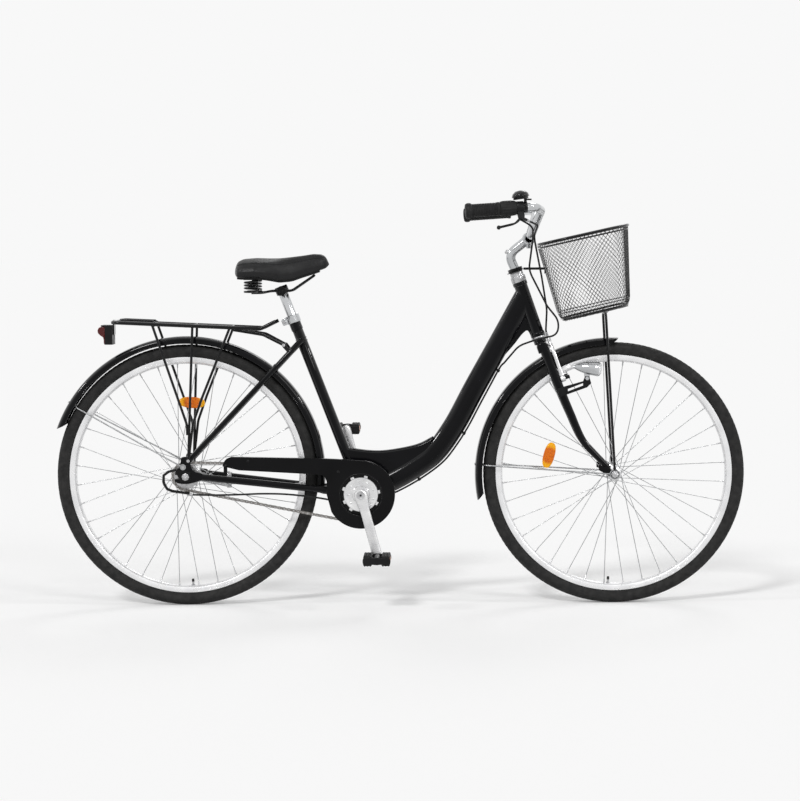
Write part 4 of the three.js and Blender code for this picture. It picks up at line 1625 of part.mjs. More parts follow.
// Seat post, and the rails and clamp of the saddle on its top.
const POST_LENGTH = 268;
const POST_TOP = 592;
const CLAMP_RADIUS = 18;
const CLAMP_HEIGHT = 30;
const CLAMP_HALF = 27;
const CLAMP_DRUM = 13;
const RAIL_WIRE = 3.5;
const SPRING_RADIUS = 18;
const SPRING_WIRE = 2.6;
const SPRING_CURLS = 3.25;
const SPRING_X = -392;
const SPRING_Y = 56;
const SPRING_PLATE = 3;
const SPRING_HEIGHT = 30;
const CURL_STEPS = 8;
add("seatpost", rod(seatPoint(POST_TOP - POST_LENGTH), seatPoint(POST_TOP), POST_RADIUS, ROUND_SIDES), CHROME);
const springTop = SADDLE_FOOT + SADDLE_SHARES[3][2] * SADDLE_HEIGHT - GAP * 2 - BASE_THICKNESS;
const springFoot = springTop - SPRING_HEIGHT;
const clampMiddle = seatPoint(POST_TOP - CLAMP_HEIGHT / 3);
const noseRail = at(SADDLE_TAIL + SADDLE_SHARES[8][0] * SADDLE_LENGTH, 0,
  SADDLE_FOOT + SADDLE_SHARES[8][2] * SADDLE_HEIGHT - GAP * 2 - BASE_THICKNESS - RAIL_WIRE);
const railSide = tube([
  at(noseRail.x, -RAIL_WIRE * 2, noseRail.z), at(clampMiddle.x + CLAMP_HALF, -CLAMP_HALF * 0.8, clampMiddle.z),
  at(clampMiddle.x - CLAMP_HALF, -CLAMP_HALF * 0.8, clampMiddle.z), at(SPRING_X + SPRING_RADIUS * 1.6, -SPRING_Y, springFoot - SPRING_PLATE * 2),
  at(SPRING_X, -SPRING_Y, springFoot - SPRING_PLATE * 2),
], RAIL_WIRE, CLAMP_HALF, WIRE_SIDES, 1);
const springCup = rod(
  at(SPRING_X, -SPRING_Y, springFoot - SPRING_PLATE * 2), at(SPRING_X, -SPRING_Y, springFoot - GAP),
  SPRING_RADIUS + SPRING_WIRE, TUBE_SIDES,
);
const noseBar = drum(RAIL_WIRE, -RAIL_WIRE * 3, RAIL_WIRE * 3, SMALL_SIDES).translate([noseRail.x, 0, noseRail.z]);
const clampSocket = rod(
  seatPoint(POST_TOP - CLAMP_HEIGHT), seatPoint(POST_TOP + SPRING_PLATE), CLAMP_RADIUS, ROUND_SIDES,
).subtract(rod(seatPoint(POST_TOP - CLAMP_HEIGHT * 2), seatPoint(POST_TOP + GAP), POST_RADIUS + GAP, ROUND_SIDES));
const clampDrum = drum(CLAMP_DRUM, CLAMP_RADIUS - OVERRUN * 2, CLAMP_HALF, TUBE_SIDES)
  .translate([clampMiddle.x, 0, clampMiddle.z]);
add("saddle_frame", join(clampSocket, both(join(railSide, springCup, clampDrum)), noseBar), BLACK);

// Each spring is one wire from a formula, with a straight end above and below.
class Coil extends THREE.Curve {
  getPoint(share) {
    const turn = share * SPRING_CURLS * Math.PI * 2;
    const rise = SPRING_WIRE + share * (SPRING_HEIGHT - SPRING_WIRE * 2 - GAP);
    return at(SPRING_X + Math.cos(turn) * SPRING_RADIUS, -SPRING_Y + Math.sin(turn) * SPRING_RADIUS, springFoot + rise);
  }

  getPointAt(share) {
    return this.getPoint(share);
  }

  getTangentAt(share, target) {
    return this.getTangent(share, target);
  }
}
const spring = swept(oval(SPRING_WIRE, SPRING_WIRE, WIRE_SIDES), new Coil(), SPRING_CURLS * CURL_STEPS);
add("right_saddle_spring", spring, STEEL);
add("left_saddle_spring", mirrored(spring), STEEL);
const curlPitch = (SPRING_HEIGHT - SPRING_WIRE * 2 - GAP) / SPRING_CURLS;
console.log("least gap of a spring to itself in mm:", (curlPitch - SPRING_WIRE * 2).toFixed(2));

export default bike;
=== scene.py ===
"""A step-through city bicycle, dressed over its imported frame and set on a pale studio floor."""

import math

import bmesh
import bpy
import numpy as np
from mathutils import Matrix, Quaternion, Vector


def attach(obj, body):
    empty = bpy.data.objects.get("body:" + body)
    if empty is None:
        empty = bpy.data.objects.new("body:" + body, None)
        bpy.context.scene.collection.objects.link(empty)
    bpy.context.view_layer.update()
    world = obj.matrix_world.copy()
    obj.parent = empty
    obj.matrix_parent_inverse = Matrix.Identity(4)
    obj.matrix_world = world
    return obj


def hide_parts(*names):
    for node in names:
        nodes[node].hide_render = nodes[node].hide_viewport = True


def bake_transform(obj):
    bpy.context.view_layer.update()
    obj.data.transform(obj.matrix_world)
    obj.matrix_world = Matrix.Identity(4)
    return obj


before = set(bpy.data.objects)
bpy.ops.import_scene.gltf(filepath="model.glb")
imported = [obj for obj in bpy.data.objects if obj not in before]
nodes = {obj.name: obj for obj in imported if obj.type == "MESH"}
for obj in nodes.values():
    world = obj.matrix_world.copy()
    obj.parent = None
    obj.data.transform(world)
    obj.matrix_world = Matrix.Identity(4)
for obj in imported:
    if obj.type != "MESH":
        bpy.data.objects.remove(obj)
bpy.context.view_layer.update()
MM = 0.001
rad = math.radians
HUB_X, HUB_Z = 571.5, 350.5


# ---------------------------------------------------------------- camera, floor and light
CAMERA, AIM, ROLL, SHIFT = (0.135, -6.5, 0.93), (0.135, 0, 0.54636), -0.316, -0.0632
SENSOR, FOCAL_POINTS, PICTURE_POINTS = 36, 2426.3, 801
FLOOR_REACH, FLOOR_GREY, FLOOR_GLOW = 900, 0.93, 0.085
WORLD_LIGHT, WORLD_SEEN = 0.449, 0.939
SUNS = (
    ("key", 1.1, 10, (50, 0, -26)), ("fill", 0.55, 16, (66, 0, 34)), ("back", 0.35, 20, (50, 0, 165)),
    ("left_rim", 0.3, 5, (58, 0, -76)), ("right_rim", 0.3, 5, (58, 0, 76)),
)


def placed(name, data):
    """A new object in the scene."""
    made = bpy.data.objects.new(name, data)
    bpy.context.scene.collection.objects.link(made)
    return made


def fresh(tree, *kinds):
    """The new nodes of a tree that is emptied first."""
    tree.nodes.clear()
    return [tree.nodes.new(f"ShaderNode{kind}") for kind in kinds]


def set_camera():
    camera = bpy.data.cameras.new("camera")
    seen = placed("camera", camera)
    seen.location = CAMERA
    seen.rotation_mode = "QUATERNION"
    towards = (Vector(AIM) - seen.location).to_track_quat("-Z", "Y")
    seen.rotation_quaternion = towards @ Quaternion((0, 0, 1), rad(ROLL))
    camera.shift_x = SHIFT
    camera.sensor_width = SENSOR
    camera.lens = FOCAL_POINTS / PICTURE_POINTS * SENSOR
    camera.clip_end = 2000
    bpy.context.scene.camera = seen


def set_floor():
    floor = placed("studio_floor", bpy.data.meshes.new("studio_floor"))
    corners = [(x * FLOOR_REACH, y * FLOOR_REACH, 0) for x, y in ((-1, -1), (1, -1), (1, 1), (-1, 1))]
    floor.data.from_pydata(corners, [], [(0, 1, 2, 3)])
    made = bpy.data.materials.new("studio_floor")
    made.use_nodes = True
    link = made.node_tree.links.new
    out, matt, glow, rays, share, both = fresh(
        made.node_tree, "OutputMaterial", "BsdfDiffuse", "Emission", "LightPath", "Math", "AddShader")
    matt.inputs["Color"].default_value = (FLOOR_GREY, FLOOR_GREY, FLOOR_GREY, 1)
    share.operation = "MULTIPLY"
    share.inputs[1].default_value = FLOOR_GLOW
    link(rays.outputs["Is Camera Ray"], share.inputs[0])
    link(share.outputs[0], glow.inputs["Strength"])
    link(matt.outputs[0], both.inputs[0])
    link(glow.outputs[0], both.inputs[1])
    link(both.outputs[0], out.inputs["Surface"])
    floor.data.materials.append(made)


def set_world():
    """A pale surround that the camera, reflections and glass see, and a weaker one that lights the scene."""
    world = bpy.data.worlds.new("studio")
    bpy.context.scene.world = world
    world.use_nodes = True
    link = world.node_tree.links.new
    out, plain, pale, rays, either, third, mix = fresh(
        world.node_tree, "OutputWorld", "Background", "Background", "LightPath", "Math", "Math", "MixShader")
    plain.inputs["Color"].default_value = (1, 1, 1, 1)
    plain.inputs["Strength"].default_value = WORLD_LIGHT
    pale.inputs["Color"].default_value = (WORLD_SEEN, WORLD_SEEN, WORLD_SEEN, 1)
    either.operation = third.operation = "MAXIMUM"
    link(rays.outputs["Is Camera Ray"], either.inputs[0])
    link(rays.outputs["Is Glossy Ray"], either.inputs[1])
    link(either.outputs[0], third.inputs[0])
    link(rays.outputs["Is Transmission Ray"], third.inputs[1])
    link(third.outputs[0], mix.inputs["Fac"])
    link(plain.outputs[0], mix.inputs[1])
    link(pale.outputs[0], mix.inputs[2])
    link(mix.outputs[0], out.inputs["Surface"])


def studio():
    set_camera()
    set_floor()
    set_world()
    for name, strength, spread, turn in SUNS:
        lamp = bpy.data.lights.new(name, "SUN")
        lamp.energy, lamp.angle = strength, rad(spread)
        placed(name, lamp).rotation_euler = tuple(rad(a) for a in turn)
    bpy.context.scene.view_settings.view_transform = "Standard"


studio()


# ---------------------------------------------------------------- materials
class Look:
    """A principled material whose colour, roughness and bump come from procedural nodes."""

    def __init__(self, name, colour, rough, metal=0.0, coat=0.0, coat_rough=0.05, specular=0.5,
                 transmission=0.0, sheen=0.0):
        self.made = bpy.data.materials.new(name)
        self.made.use_nodes = True
        self.tree = self.made.node_tree
        self.shader = self.tree.nodes["Principled BSDF"]
        put = self.shader.inputs
        put["Base Color"].default_value = (*colour, 1)
        put["Roughness"].default_value = rough
        put["Metallic"].default_value = metal
        put["Coat Weight"].default_value = coat
        put["Coat Roughness"].default_value = coat_rough
        put["Specular IOR Level"].default_value = specular
        put["Transmission Weight"].default_value = transmission
        put["Sheen Weight"].default_value = sheen
        self.colour, self.normal = colour, None
        self.place = self.node("TexCoord", "Object")

    def node(self, kind, output, links=(), values=(), **settings):
        """The output of a new node with its settings, values and links."""
        node = self.tree.nodes.new(f"ShaderNode{kind}")
        for name, value in settings.items():
            setattr(node, name, value)
        for name, value in dict(values).items():
            node.inputs[name].default_value = value
        for name, source in dict(links).items():
            self.tree.links.new(source, node.inputs[name])
        return node.outputs[output]

    def noise(self, scale, detail, stretch=None):
        place = self.place
        if stretch:
            place = self.node("Mapping", "Vector", {"Vector": place}, {"Scale": stretch})
        return self.node("TexNoise", "Fac", {"Vector": place}, {"Scale": scale, "Detail": detail})

    def cells(self, scale):
        return self.node("TexVoronoi", "Distance", {"Vector": self.place}, {"Scale": scale}, feature="F1")

    def shaded(self, other, noise):
        return self.shade(self.noise(*noise), other)

    def sums(self, operation, first, second=0.0):
        given = {0: first, 1: second}
        values = {i: value for i, value in given.items() if isinstance(value, (int, float))}
        links = {i: value for i, value in given.items() if i not in values}
        return self.node("Math", 0, links, values, operation=operation)

    def waves(self, source, pitch):
        return self.sums("SINE", self.sums("MULTIPLY", source, pitch))

    def part(self, axis):
        return self.node("SeparateXYZ", axis, {0: self.place})

    def away(self, centre):
        """How far a point lies from a line along Y through a centre in X and Z."""
        x, z = (self.sums("SUBTRACT", self.part(axis), value * MM) for axis, value in zip("XZ", centre))
        return self.sums("SQRT", self.sums("ADD", self.sums("MULTIPLY", x, x), self.sums("MULTIPLY", z, z)))

    def ramp(self, source, low, high, from_low=0.35, from_high=0.65):
        return self.node("MapRange", "Result", {"Value": source},
                         {"From Min": from_low, "From Max": from_high, "To Min": low, "To Max": high})

    def shade(self, source, other, from_low=0.35, from_high=0.65):
        """The colour, or the shade before, runs to another colour where the source is high."""
        links = {"Factor": self.ramp(source, 0, 1, from_low, from_high)}
        before = self.shader.inputs["Base Color"].links
        if before:
            links["A"] = before[0].from_socket
        mix = self.node("Mix", "Result", links, {"A": (*self.colour, 1), "B": (*other, 1)}, data_type="RGBA")
        self.tree.links.new(mix, self.shader.inputs["Base Color"])
        return self

    def roughen(self, source, low, high):
        self.tree.links.new(self.ramp(source, low, high), self.shader.inputs["Roughness"])
        return self

    def gloss_edges(self, flat, edge):
        """The clear coat shows most where the surface turns away, as lacquer does."""
        facing = self.node("LayerWeight", "Facing", values={"Blend": 0.5})
        self.tree.links.new(self.ramp(facing, flat, edge, 0.04, 0.3), self.shader.inputs["Coat Weight"])
        return self

    def bump(self, source, height, strength):
        links = {"Height": source} if self.normal is None else {"Height": source, "Normal": self.normal}
        self.normal = self.node("Bump", "Normal", links, {"Distance": height * MM, "Strength": strength})
        self.tree.links.new(self.normal, self.shader.inputs["Normal"])
        return self


# Each look: its material, colour, roughness and options, its other colour with the noise that mixes them, the
# noise and range of its roughness, the noise, height and strength of its bump, and the gloss of its edges.
NOISED = {
    "paint": ("gloss_paint", (0.0025, 0.0025, 0.003), 0.12, {"specular": 0.06, "coat": 0.1, "coat_rough": 0.03},
              (0.0045, 0.0045, 0.0055), (9, 4), (14, 4), (0.1, 0.2), (300, 2), (0.01, 0.04), (0.1, 1.0)),
    "wire": ("black_wire_paint", (0.005, 0.005, 0.0055), 0.24, {"specular": 0.1},
             (0.009, 0.009, 0.0095), (40, 4), (60, 4), (0.18, 0.32), (700, 2), (0.01, 0.08), (0.07, 0.8)),
    "plastic": ("black_plastic", (0.006, 0.006, 0.0065), 0.38, {"specular": 0.16},
                (0.010, 0.010, 0.0105), (30, 5), (45, 4), (0.3, 0.46), (1800, 2), (0.05, 0.5)),
    "case": ("case_plastic", (0.003, 0.003, 0.0034), 0.18, {"specular": 0.07},
             (0.005, 0.005, 0.0055), (12, 5), (16, 5), (0.14, 0.24), (1100, 2), (0.01, 0.2), (0.06, 1.0)),
    "chrome": ("chrome", (0.62, 0.63, 0.64), 0.1, {"metal": 1},
               (0.50, 0.51, 0.52), (20, 4), (26, 5), (0.06, 0.16), (240, 2), (0.01, 0.05)),
    "alloy": ("polished_alloy", (0.80, 0.80, 0.80), 0.26, {"metal": 0.85},
              (0.68, 0.68, 0.69), (35, 5), (50, 5, (1, 1, 6)), (0.2, 0.36), (1500, 2, (1, 1, 8)), (0.02, 0.4)),
    "front_rim": ("front_rim_metal", (0.86, 0.86, 0.865), 0.3, {"metal": 0.7},
                  (0.76, 0.76, 0.77), (30, 4), (60, 4), (0.24, 0.38)),
    "spoke": ("spoke_steel", (0.40, 0.405, 0.41), 0.4, {"metal": 1},
              (0.30, 0.305, 0.31), (90, 4), (120, 3), (0.34, 0.5)),
    "steel": ("bright_steel", (0.56, 0.56, 0.565), 0.28, {"metal": 1},
              (0.40, 0.40, 0.41), (120, 5), (160, 4), (0.2, 0.42), (2000, 2), (0.03, 0.4)),
    "chain": ("chain_steel", (0.34, 0.33, 0.32), 0.34, {"metal": 1},
              (0.16, 0.15, 0.14), (220, 4), (180, 4), (0.26, 0.5)),
    "front_tyre": ("front_tyre_rubber", (0.013, 0.013, 0.013), 0.7, {"specular": 0.2},
                   (0.023, 0.0225, 0.022), (60, 6), (80, 5), (0.58, 0.85)),
    "rubber": ("soft_rubber", (0.009, 0.009, 0.0095), 0.55, {"specular": 0.2},
               (0.015, 0.015, 0.015), (70, 5), (90, 4), (0.46, 0.68), (1500, 3), (0.07, 0.5)),
    "vinyl": ("saddle_vinyl", (0.007, 0.007, 0.0075), 0.4, {"specular": 0.22, "sheen": 0.02},
              (0.012, 0.012, 0.0125), (18, 5), (22, 5), (0.34, 0.48)),
    "thread": ("thread", (0.030, 0.030, 0.032), 0.7, {"specular": 0.2},
               (0.05, 0.05, 0.052), (900, 2), None, None, (2600, 2), (0.05, 0.6)),
}
for part in ("rim", "tyre"):
    name, *rest = NOISED[f"front_{part}"]
    NOISED[f"rear_{part}"] = (name.replace("front", "rear"), *rest)
SPOTS = ((398.1, 398.9), (-557.9, 545.5))


def noised(name, colour, rough, options, other, shade, roughen, span, bump=None, relief=None, gloss=None):
    """A look that runs between two colours in soft clouds, with roughness and bump of their own."""
    m = Look(name, colour, rough, **options).shaded(other, shade)
    if roughen:
        m.roughen(m.noise(*roughen), *span)
    if bump:
        m.bump(m.noise(*bump), *relief)
    if gloss:
        m.gloss_edges(*gloss)
    return m


def looks():
    made = {name: noised(*row) for name, row in NOISED.items()}
    for end, x in (("front", HUB_X), ("rear", -HUB_X)):
        m = made[f"{end}_rim"]
        m.bump(m.waves(m.away((x, HUB_Z)), 9000), 0.03, 0.35)
        m = made[f"{end}_tyre"]
        m.bump(m.waves(m.away((x, HUB_Z)), 2600), 0.12, 0.35).bump(m.noise(1600, 3), 0.08, 0.5)
    m = made["vinyl"]
    m.bump(m.cells(820), 0.22, 0.55).bump(m.noise(26, 3), 0.5, 0.25)
    for name, colour, other in (("amber", (0.56, 0.105, 0.002), (0.80, 0.22, 0.004)),
                                ("reflector", (0.50, 0.085, 0.002), (0.72, 0.17, 0.004))):
        m = made[name] = Look(f"{name}_lens", colour, 0.16, specular=0.15, coat=0.25, coat_rough=0.03)
        prism = m.cells(260)
        m.shade(prism, other, 0.1, 0.6).bump(prism, 0.5, 0.9)
    m.shade(m.sums("MINIMUM", *(m.away(spot) for spot in SPOTS)), (0.90, 0.42, 0.006), 0.018, 0.026)
    m = made["red"] = Look("red_lens", (0.055, 0.004, 0.004), 0.14, specular=0.2, coat=0.3, coat_rough=0.03)
    ribs = m.waves(m.part("Y"), 1900)
    m.shade(ribs, (0.12, 0.010, 0.009), -1, 1).bump(ribs, 0.4, 0.7)
    m = made["clear"] = Look("clear_lens", (0.95, 0.96, 0.97), 0.05, specular=0.5, transmission=1.0)
    m.bump(m.waves(m.part("Y"), 2600), 0.2, 0.6).roughen(m.noise(80, 3), 0.03, 0.1)
    return {name: look.made for name, look in made.items()}


LOOK = looks()


# ---------------------------------------------------------------- shapes, in millimetres
def P(*values):
    return np.array(values, float)


def flat_pairs(points):
    return [(p[0], p[2]) for p in points]


def unit(v):
    return np.asarray(v, float) / max(np.linalg.norm(v), 1e-12)


class Shape:
    """Points and faces in millimetres, gathered from simple parts."""

    def __init__(self):
        self.points, self.faces, self.kinds = [], [], []

    def take(self, points, faces, kind=0):
        base = len(self.points)
        self.points.extend(tuple(float(x) for x in p) for p in points)
        self.faces.extend(tuple(i + base for i in f) for f in faces)
        self.kinds.extend([kind] * len(faces))
        return self

    def join(self, *others):
        for other in others:
            base = len(self.points)
            self.points.extend(other.points)
            self.faces.extend(tuple(i + base for i in f) for f in other.faces)
            self.kinds.extend(other.kinds)
        return self

    def kind(self, number):
        self.kinds = [number] * len(self.faces)
        return self

    def moved(self, change):
        made = Shape()
        made.points = [tuple(change(P(*p))) for p in self.points]
        made.faces, made.kinds = list(self.faces), list(self.kinds)
        return made

    def mirrored(self):
        made = self.moved(lambda p: P(p[0], -p[1], p[2]))
        made.faces = [tuple(reversed(f)) for f in made.faces]
        return made

    def both(self):
        return Shape().join(self, self.mirrored())

    def shifted(self, x=0, y=0, z=0):
        return self.moved(lambda p: p + P(x, y, z))

    def turned_y(self, degrees):
        """Turns from +X towards +Z about the Y axis."""
        c, s = math.cos(rad(degrees)), math.sin(rad(degrees))
        return self.moved(lambda p: P(p[0] * c - p[2] * s, p[1], p[0] * s + p[2] * c))


def piece(name, shape, body, *materials, slot=None, replaces=None, bevel=0.0, angle=38, subdivide=0, flat=False):
    """A shape as an object of the bicycle that rides on a body, dressed in its looks in order."""
    mesh = bpy.data.meshes.new(name)
    mesh.from_pydata([(x * MM, y * MM, z * MM) for x, y, z in shape.points], [], shape.faces)
    if len(materials) > 1 and len(mesh.polygons) == len(shape.kinds):
        mesh.polygons.foreach_set("material_index", shape.kinds)
    worked = bmesh.new()
    worked.from_mesh(mesh)
    bmesh.ops.recalc_face_normals(worked, faces=worked.faces)
    worked.to_mesh(mesh)
    worked.free()
    made = placed(name, mesh)
    for material in materials:
        mesh.materials.append(LOOK[material])
    if not flat:
        mesh.polygons.foreach_set("use_smooth", [True] * len(mesh.polygons))
        mesh.set_sharp_from_angle(angle=rad(angle))
    if bevel:
        cut = made.modifiers.new("bevel", "BEVEL")
        cut.width, cut.segments, cut.limit_method, cut.angle_limit = bevel * MM, 2, "ANGLE", rad(angle)
        cut.harden_normals = False
    if subdivide:
        cut = made.modifiers.new("subdivide", "SUBSURF")
        cut.render_levels = cut.levels = subdivide
    if body:
        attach(made, body)
    if replaces:
        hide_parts(replaces)
    return made


def lattice(rows, size, closed=False, capped=True):
    """Faces between rows of points, where every row is a closed loop of the same size."""
    faces = []
    for i in range(rows if closed else rows - 1):
        j = (i + 1) % rows
        for k in range(size):
            m = (k + 1) % size
            faces.append((i * size + k, i * size + m, j * size + m, j * size + k))
    if capped and not closed:
        faces += [tuple(reversed(range(size))), tuple(range((rows - 1) * size, rows * size))]
    return faces


def sweep(path, section, closed=False, level=True):
    """A closed section of (across, up) pairs carried along a path, one section for all or one for each point."""
    path = np.asarray(path, float)
    count = len(path)
    if closed:
        way = np.roll(path, -1, 0) - np.roll(path, 1, 0)
    else:
        way = np.gradient(path, axis=0)
    way /= np.maximum(np.linalg.norm(way, axis=1, keepdims=True), 1e-9)
    across = P(0, 1, 0) if abs(way[0][1]) < 0.9 else P(0, 0, 1)
    across = unit(across - way[0] * (across @ way[0]))
    section = np.asarray(section, float)
    points, size = [], section.shape[-2]
    for i in range(count):
        if level and abs(way[i][1]) < 0.98:
            across = unit(P(0, 1, 0) - way[i] * way[i][1])
        else:
            across = unit(across - way[i] * (across @ way[i]))
        up = np.cross(way[i], across)
        here = section[i] if section.ndim == 3 else section
        points.extend(path[i] + a * across + b * up for a, b in here)
    return Shape().take(points, lattice(count, size, closed))


def ring(across, up=None, sides=16):
    up = across if up is None else up
    turn = np.arange(sides) * 2 * math.pi / sides
    return np.stack([np.cos(turn) * across, np.sin(turn) * up], 1)


def tube(path, radius, sides=16, closed=False, level=False):
    """A round tube along a path. The radius may change from point to point."""
    section = np.stack([ring(r, None, sides) for r in radius]) if np.ndim(radius) else ring(radius, None, sides)
    return sweep(path, section, closed, level)


def bent(corners, bend, steps=8, closed=False):
    """Corners joined by rounded bends."""
    c = [P(*p) for p in corners]
    count, out = len(c), []
    order = range(count) if closed else range(1, count - 1)
    if not closed:
        out.append(c[0])
    for i in order:
        here, back, on = c[i], c[(i - 1) % count] - c[i], c[(i + 1) % count] - c[i]
        cosine = np.clip(unit(back) @ unit(on), -1, 1)
        turn = math.pi - math.acos(cosine)
        reach = min(bend * math.tan(turn / 2), np.linalg.norm(back) / 2.02, np.linalg.norm(on) / 2.02)
        if reach < 1e-3:
            out.append(here)
            continue
        a, b = here + unit(back) * reach, here + unit(on) * reach
        for s in range(steps + 1):
            t = s / steps
            out.append((1 - t) ** 2 * a + 2 * t * (1 - t) * here + t * t * b)
    if not closed:
        out.append(c[-1])
    return np.array(out)


def flowing(corners, per=10, closed=False):
    """A smooth curve through its points."""
    c = [P(*p) for p in corners]
    c = [c[-1], *c, c[0], c[1]] if closed else [2 * c[0] - c[1], *c, 2 * c[-1] - c[-2]]
    out = []
    for i in range(1, len(c) - 2):
        p0, p1, p2, p3 = c[i - 1:i + 3]
        d = [max(np.linalg.norm(b - a) ** 0.5, 1e-4) for a, b in ((p0, p1), (p1, p2), (p2, p3))]
        t1 = ((p1 - p0) / d[0] - (p2 - p0) / (d[0] + d[1]) + (p2 - p1) / d[1]) * d[1]
        t2 = ((p2 - p1) / d[1] - (p3 - p1) / (d[1] + d[2]) + (p3 - p2) / d[2]) * d[1]
        for s in range(per):
            x = s / per
            out.append(p1 + t1 * x + (3 * p2 - 3 * p1 - 2 * t1 - t2) * x * x + (2 * p1 - 2 * p2 + t1 + t2) * x ** 3)
    if not closed:
        out.append(c[-2])
    return np.array(out)


def smoothed(pairs, per, closed=False):
    """A smooth curve through pairs of X and Z."""
    return flat_pairs(flowing([P(x, 0, z) for x, z in pairs], per, closed))


def evenly(path, count):
    """The same path with points at even steps."""
    path = np.asarray(path, float)
    run = np.concatenate([[0], np.cumsum(np.linalg.norm(np.diff(path, axis=0), axis=1))])
    at = np.linspace(0, run[-1], count)
    return np.stack([np.interp(at, run, path[:, k]) for k in range(3)], 1)


def spun(profile, start, way, sides=48, closed=False):
    """A profile of (radius, along) pairs turned about a line."""
    start, way = P(*start), unit(way)
    first = P(0, 1, 0) if abs(way[1]) < 0.9 else P(1, 0, 0)
    first = unit(first - way * (first @ way))
    second = np.cross(way, first)
    points, rows = [], []
    for radius, along in profile:
        base = len(points)
        if radius < 1e-6:
            points.append(start + way * along)
            rows.append([base] * sides)
        else:
            for k in range(sides):
                a = 2 * math.pi * k / sides
                points.append(start + way * along + (first * math.cos(a) + second * math.sin(a)) * radius)
            rows.append([base + k for k in range(sides)])
    faces = []
    for i in range(len(rows) if closed else len(rows) - 1):
        a, b = rows[i], rows[(i + 1) % len(rows)]
        for k in range(sides):
            m = (k + 1) % sides
            quad = [a[k], a[m], b[m], b[k]]
            quad = [q for n, q in enumerate(quad) if q != quad[n - 1]]
            if len(quad) > 2:
                faces.append(tuple(quad))
    return Shape().take(points, faces)


def rod(start, end, radius, sides=28, edge=0.6):
    """A round bar between two points, with eased ends."""
    start, end = P(*start), P(*end)
    length = np.linalg.norm(end - start)
    e = min(edge, length / 3, radius / 2)
    return spun([(0, 0), (radius - e, 0), (radius, e), (radius, length - e), (radius - e, length), (0, length)],
                start, end - start, sides)


def block(low, high):
    x0, y0, z0 = (min(a, b) for a, b in zip(low, high))
    x1, y1, z1 = (max(a, b) for a, b in zip(low, high))
    return Shape().take([(x, y, z) for z in (z0, z1) for x, y in ((x0, y0), (x1, y0), (x1, y1), (x0, y1))],
                        [(0, 3, 2, 1), (4, 5, 6, 7), (0, 1, 5, 4), (1, 2, 6, 5), (2, 3, 7, 6), (3, 0, 4, 7)])


def plate(outline, y0, y1, holes=(), edge=0.5, steps=2):
    """An outline in X and Z with a thickness along Y and eased edges."""
    curve = bpy.data.curves.new("plate", "CURVE")
    curve.dimensions, curve.fill_mode = "2D", "BOTH"
    edge = min(edge, abs(y1 - y0) / 2.2)
    for loop in (outline, *holes):
        line = curve.splines.new("POLY")
        line.points.add(len(loop) - 1)
        for spot, (x, z) in zip(line.points, loop):
            spot.co = (x, z, 0, 1)
        line.use_cyclic_u = True
    curve.extrude = abs(y1 - y0) / 2 - edge
    curve.bevel_depth, curve.bevel_resolution, curve.offset = edge, steps, -edge
    held = bpy.data.objects.new("plate", curve)
    bpy.context.scene.collection.objects.link(held)
    bpy.context.view_layer.update()
    seen = held.evaluated_get(bpy.context.evaluated_depsgraph_get())
    mesh = seen.to_mesh()
    middle = (y0 + y1) / 2
    points = [(v.co.x, middle - v.co.z, v.co.y) for v in mesh.vertices]
    faces = [tuple(p.vertices) for p in mesh.polygons]
    seen.to_mesh_clear()
    bpy.data.objects.remove(held)
    bpy.data.curves.remove(curve)
    return Shape().take(points, faces)


def arc(x, z, radius, start, end, steps):
    turn = np.radians(np.linspace(start, end, steps + 1))
    return [(x + math.cos(a) * radius, z + math.sin(a) * radius) for a in turn]


def bowed(value, power):
    return math.copysign(abs(value) ** power, value)


def squared(across, up, power, sides):
    """An oval with squarer corners, the more so the lower its power."""
    turns = np.linspace(0, 2 * math.pi, sides, endpoint=False)
    return [(bowed(math.cos(a), power) * across, bowed(math.sin(a), power) * up) for a in turns]


def eyelet(x, z, radius, hole, side, y):
    """A flat ring about a line along Y, 2 mm thick and outward of y on one side."""
    y0, y1 = sorted((side * y, side * (y + 2)))
    return plate(arc(x, z, radius, 0, 348, 30), y0, y1, [arc(x, z, hole, 0, 345, 18)], edge=0.4)


def coiled(centre, radius, wire, turns, low, high):
    share = np.linspace(0, 1, int(turns * 28) + 1)
    turn = share * turns * 2 * math.pi
    path = np.stack([centre[0] + np.cos(turn) * radius, centre[1] + np.sin(turn) * radius,
                     low + share * (high - low)], 1)
    return sweep(path, ring(wire, None, 12), level=False)


# ---------------------------------------------------------------- shared places
BRACKET_Z = 299.7
DRIVE = 468.7
BRACKET_X = -HUB_X + math.sqrt(DRIVE ** 2 - (HUB_Z - BRACKET_Z) ** 2)
BRACKET = (BRACKET_X, 0, BRACKET_Z)
ACROSS = (0, 1, 0)
LEAN, SEAT = rad(19), rad(21)
STEER_X = HUB_X - 70 * math.cos(LEAN)
STEER_Z = HUB_Z - 70 * math.sin(LEAN)


def steer(along, ahead=0.0, y=0.0):
    """A place measured up the steering axis and ahead of it."""
    return P(STEER_X - along * math.sin(LEAN) + ahead * math.cos(LEAN), y,
             STEER_Z + along * math.cos(LEAN) + ahead * math.sin(LEAN))


def leaned(shape):
    """From upright about the steering axis, X ahead and Z along, to where it belongs."""
    return shape.moved(lambda p: steer(p[2], p[0], p[1]))


def seat(along, behind=0.0, y=0.0):
    """A place measured up the seat tube and behind it."""
    return P(BRACKET_X - along * math.sin(SEAT) - behind * math.cos(SEAT), y,
             BRACKET_Z + along * math.cos(SEAT) - behind * math.sin(SEAT))


STEER_WAY, SEAT_WAY = steer(1) - steer(0), seat(1) - seat(0)


def on_wheel(hub_x, angle, radius, y=0.0):
    return P(hub_x + math.cos(rad(angle)) * radius, y, HUB_Z + math.sin(rad(angle)) * radius)


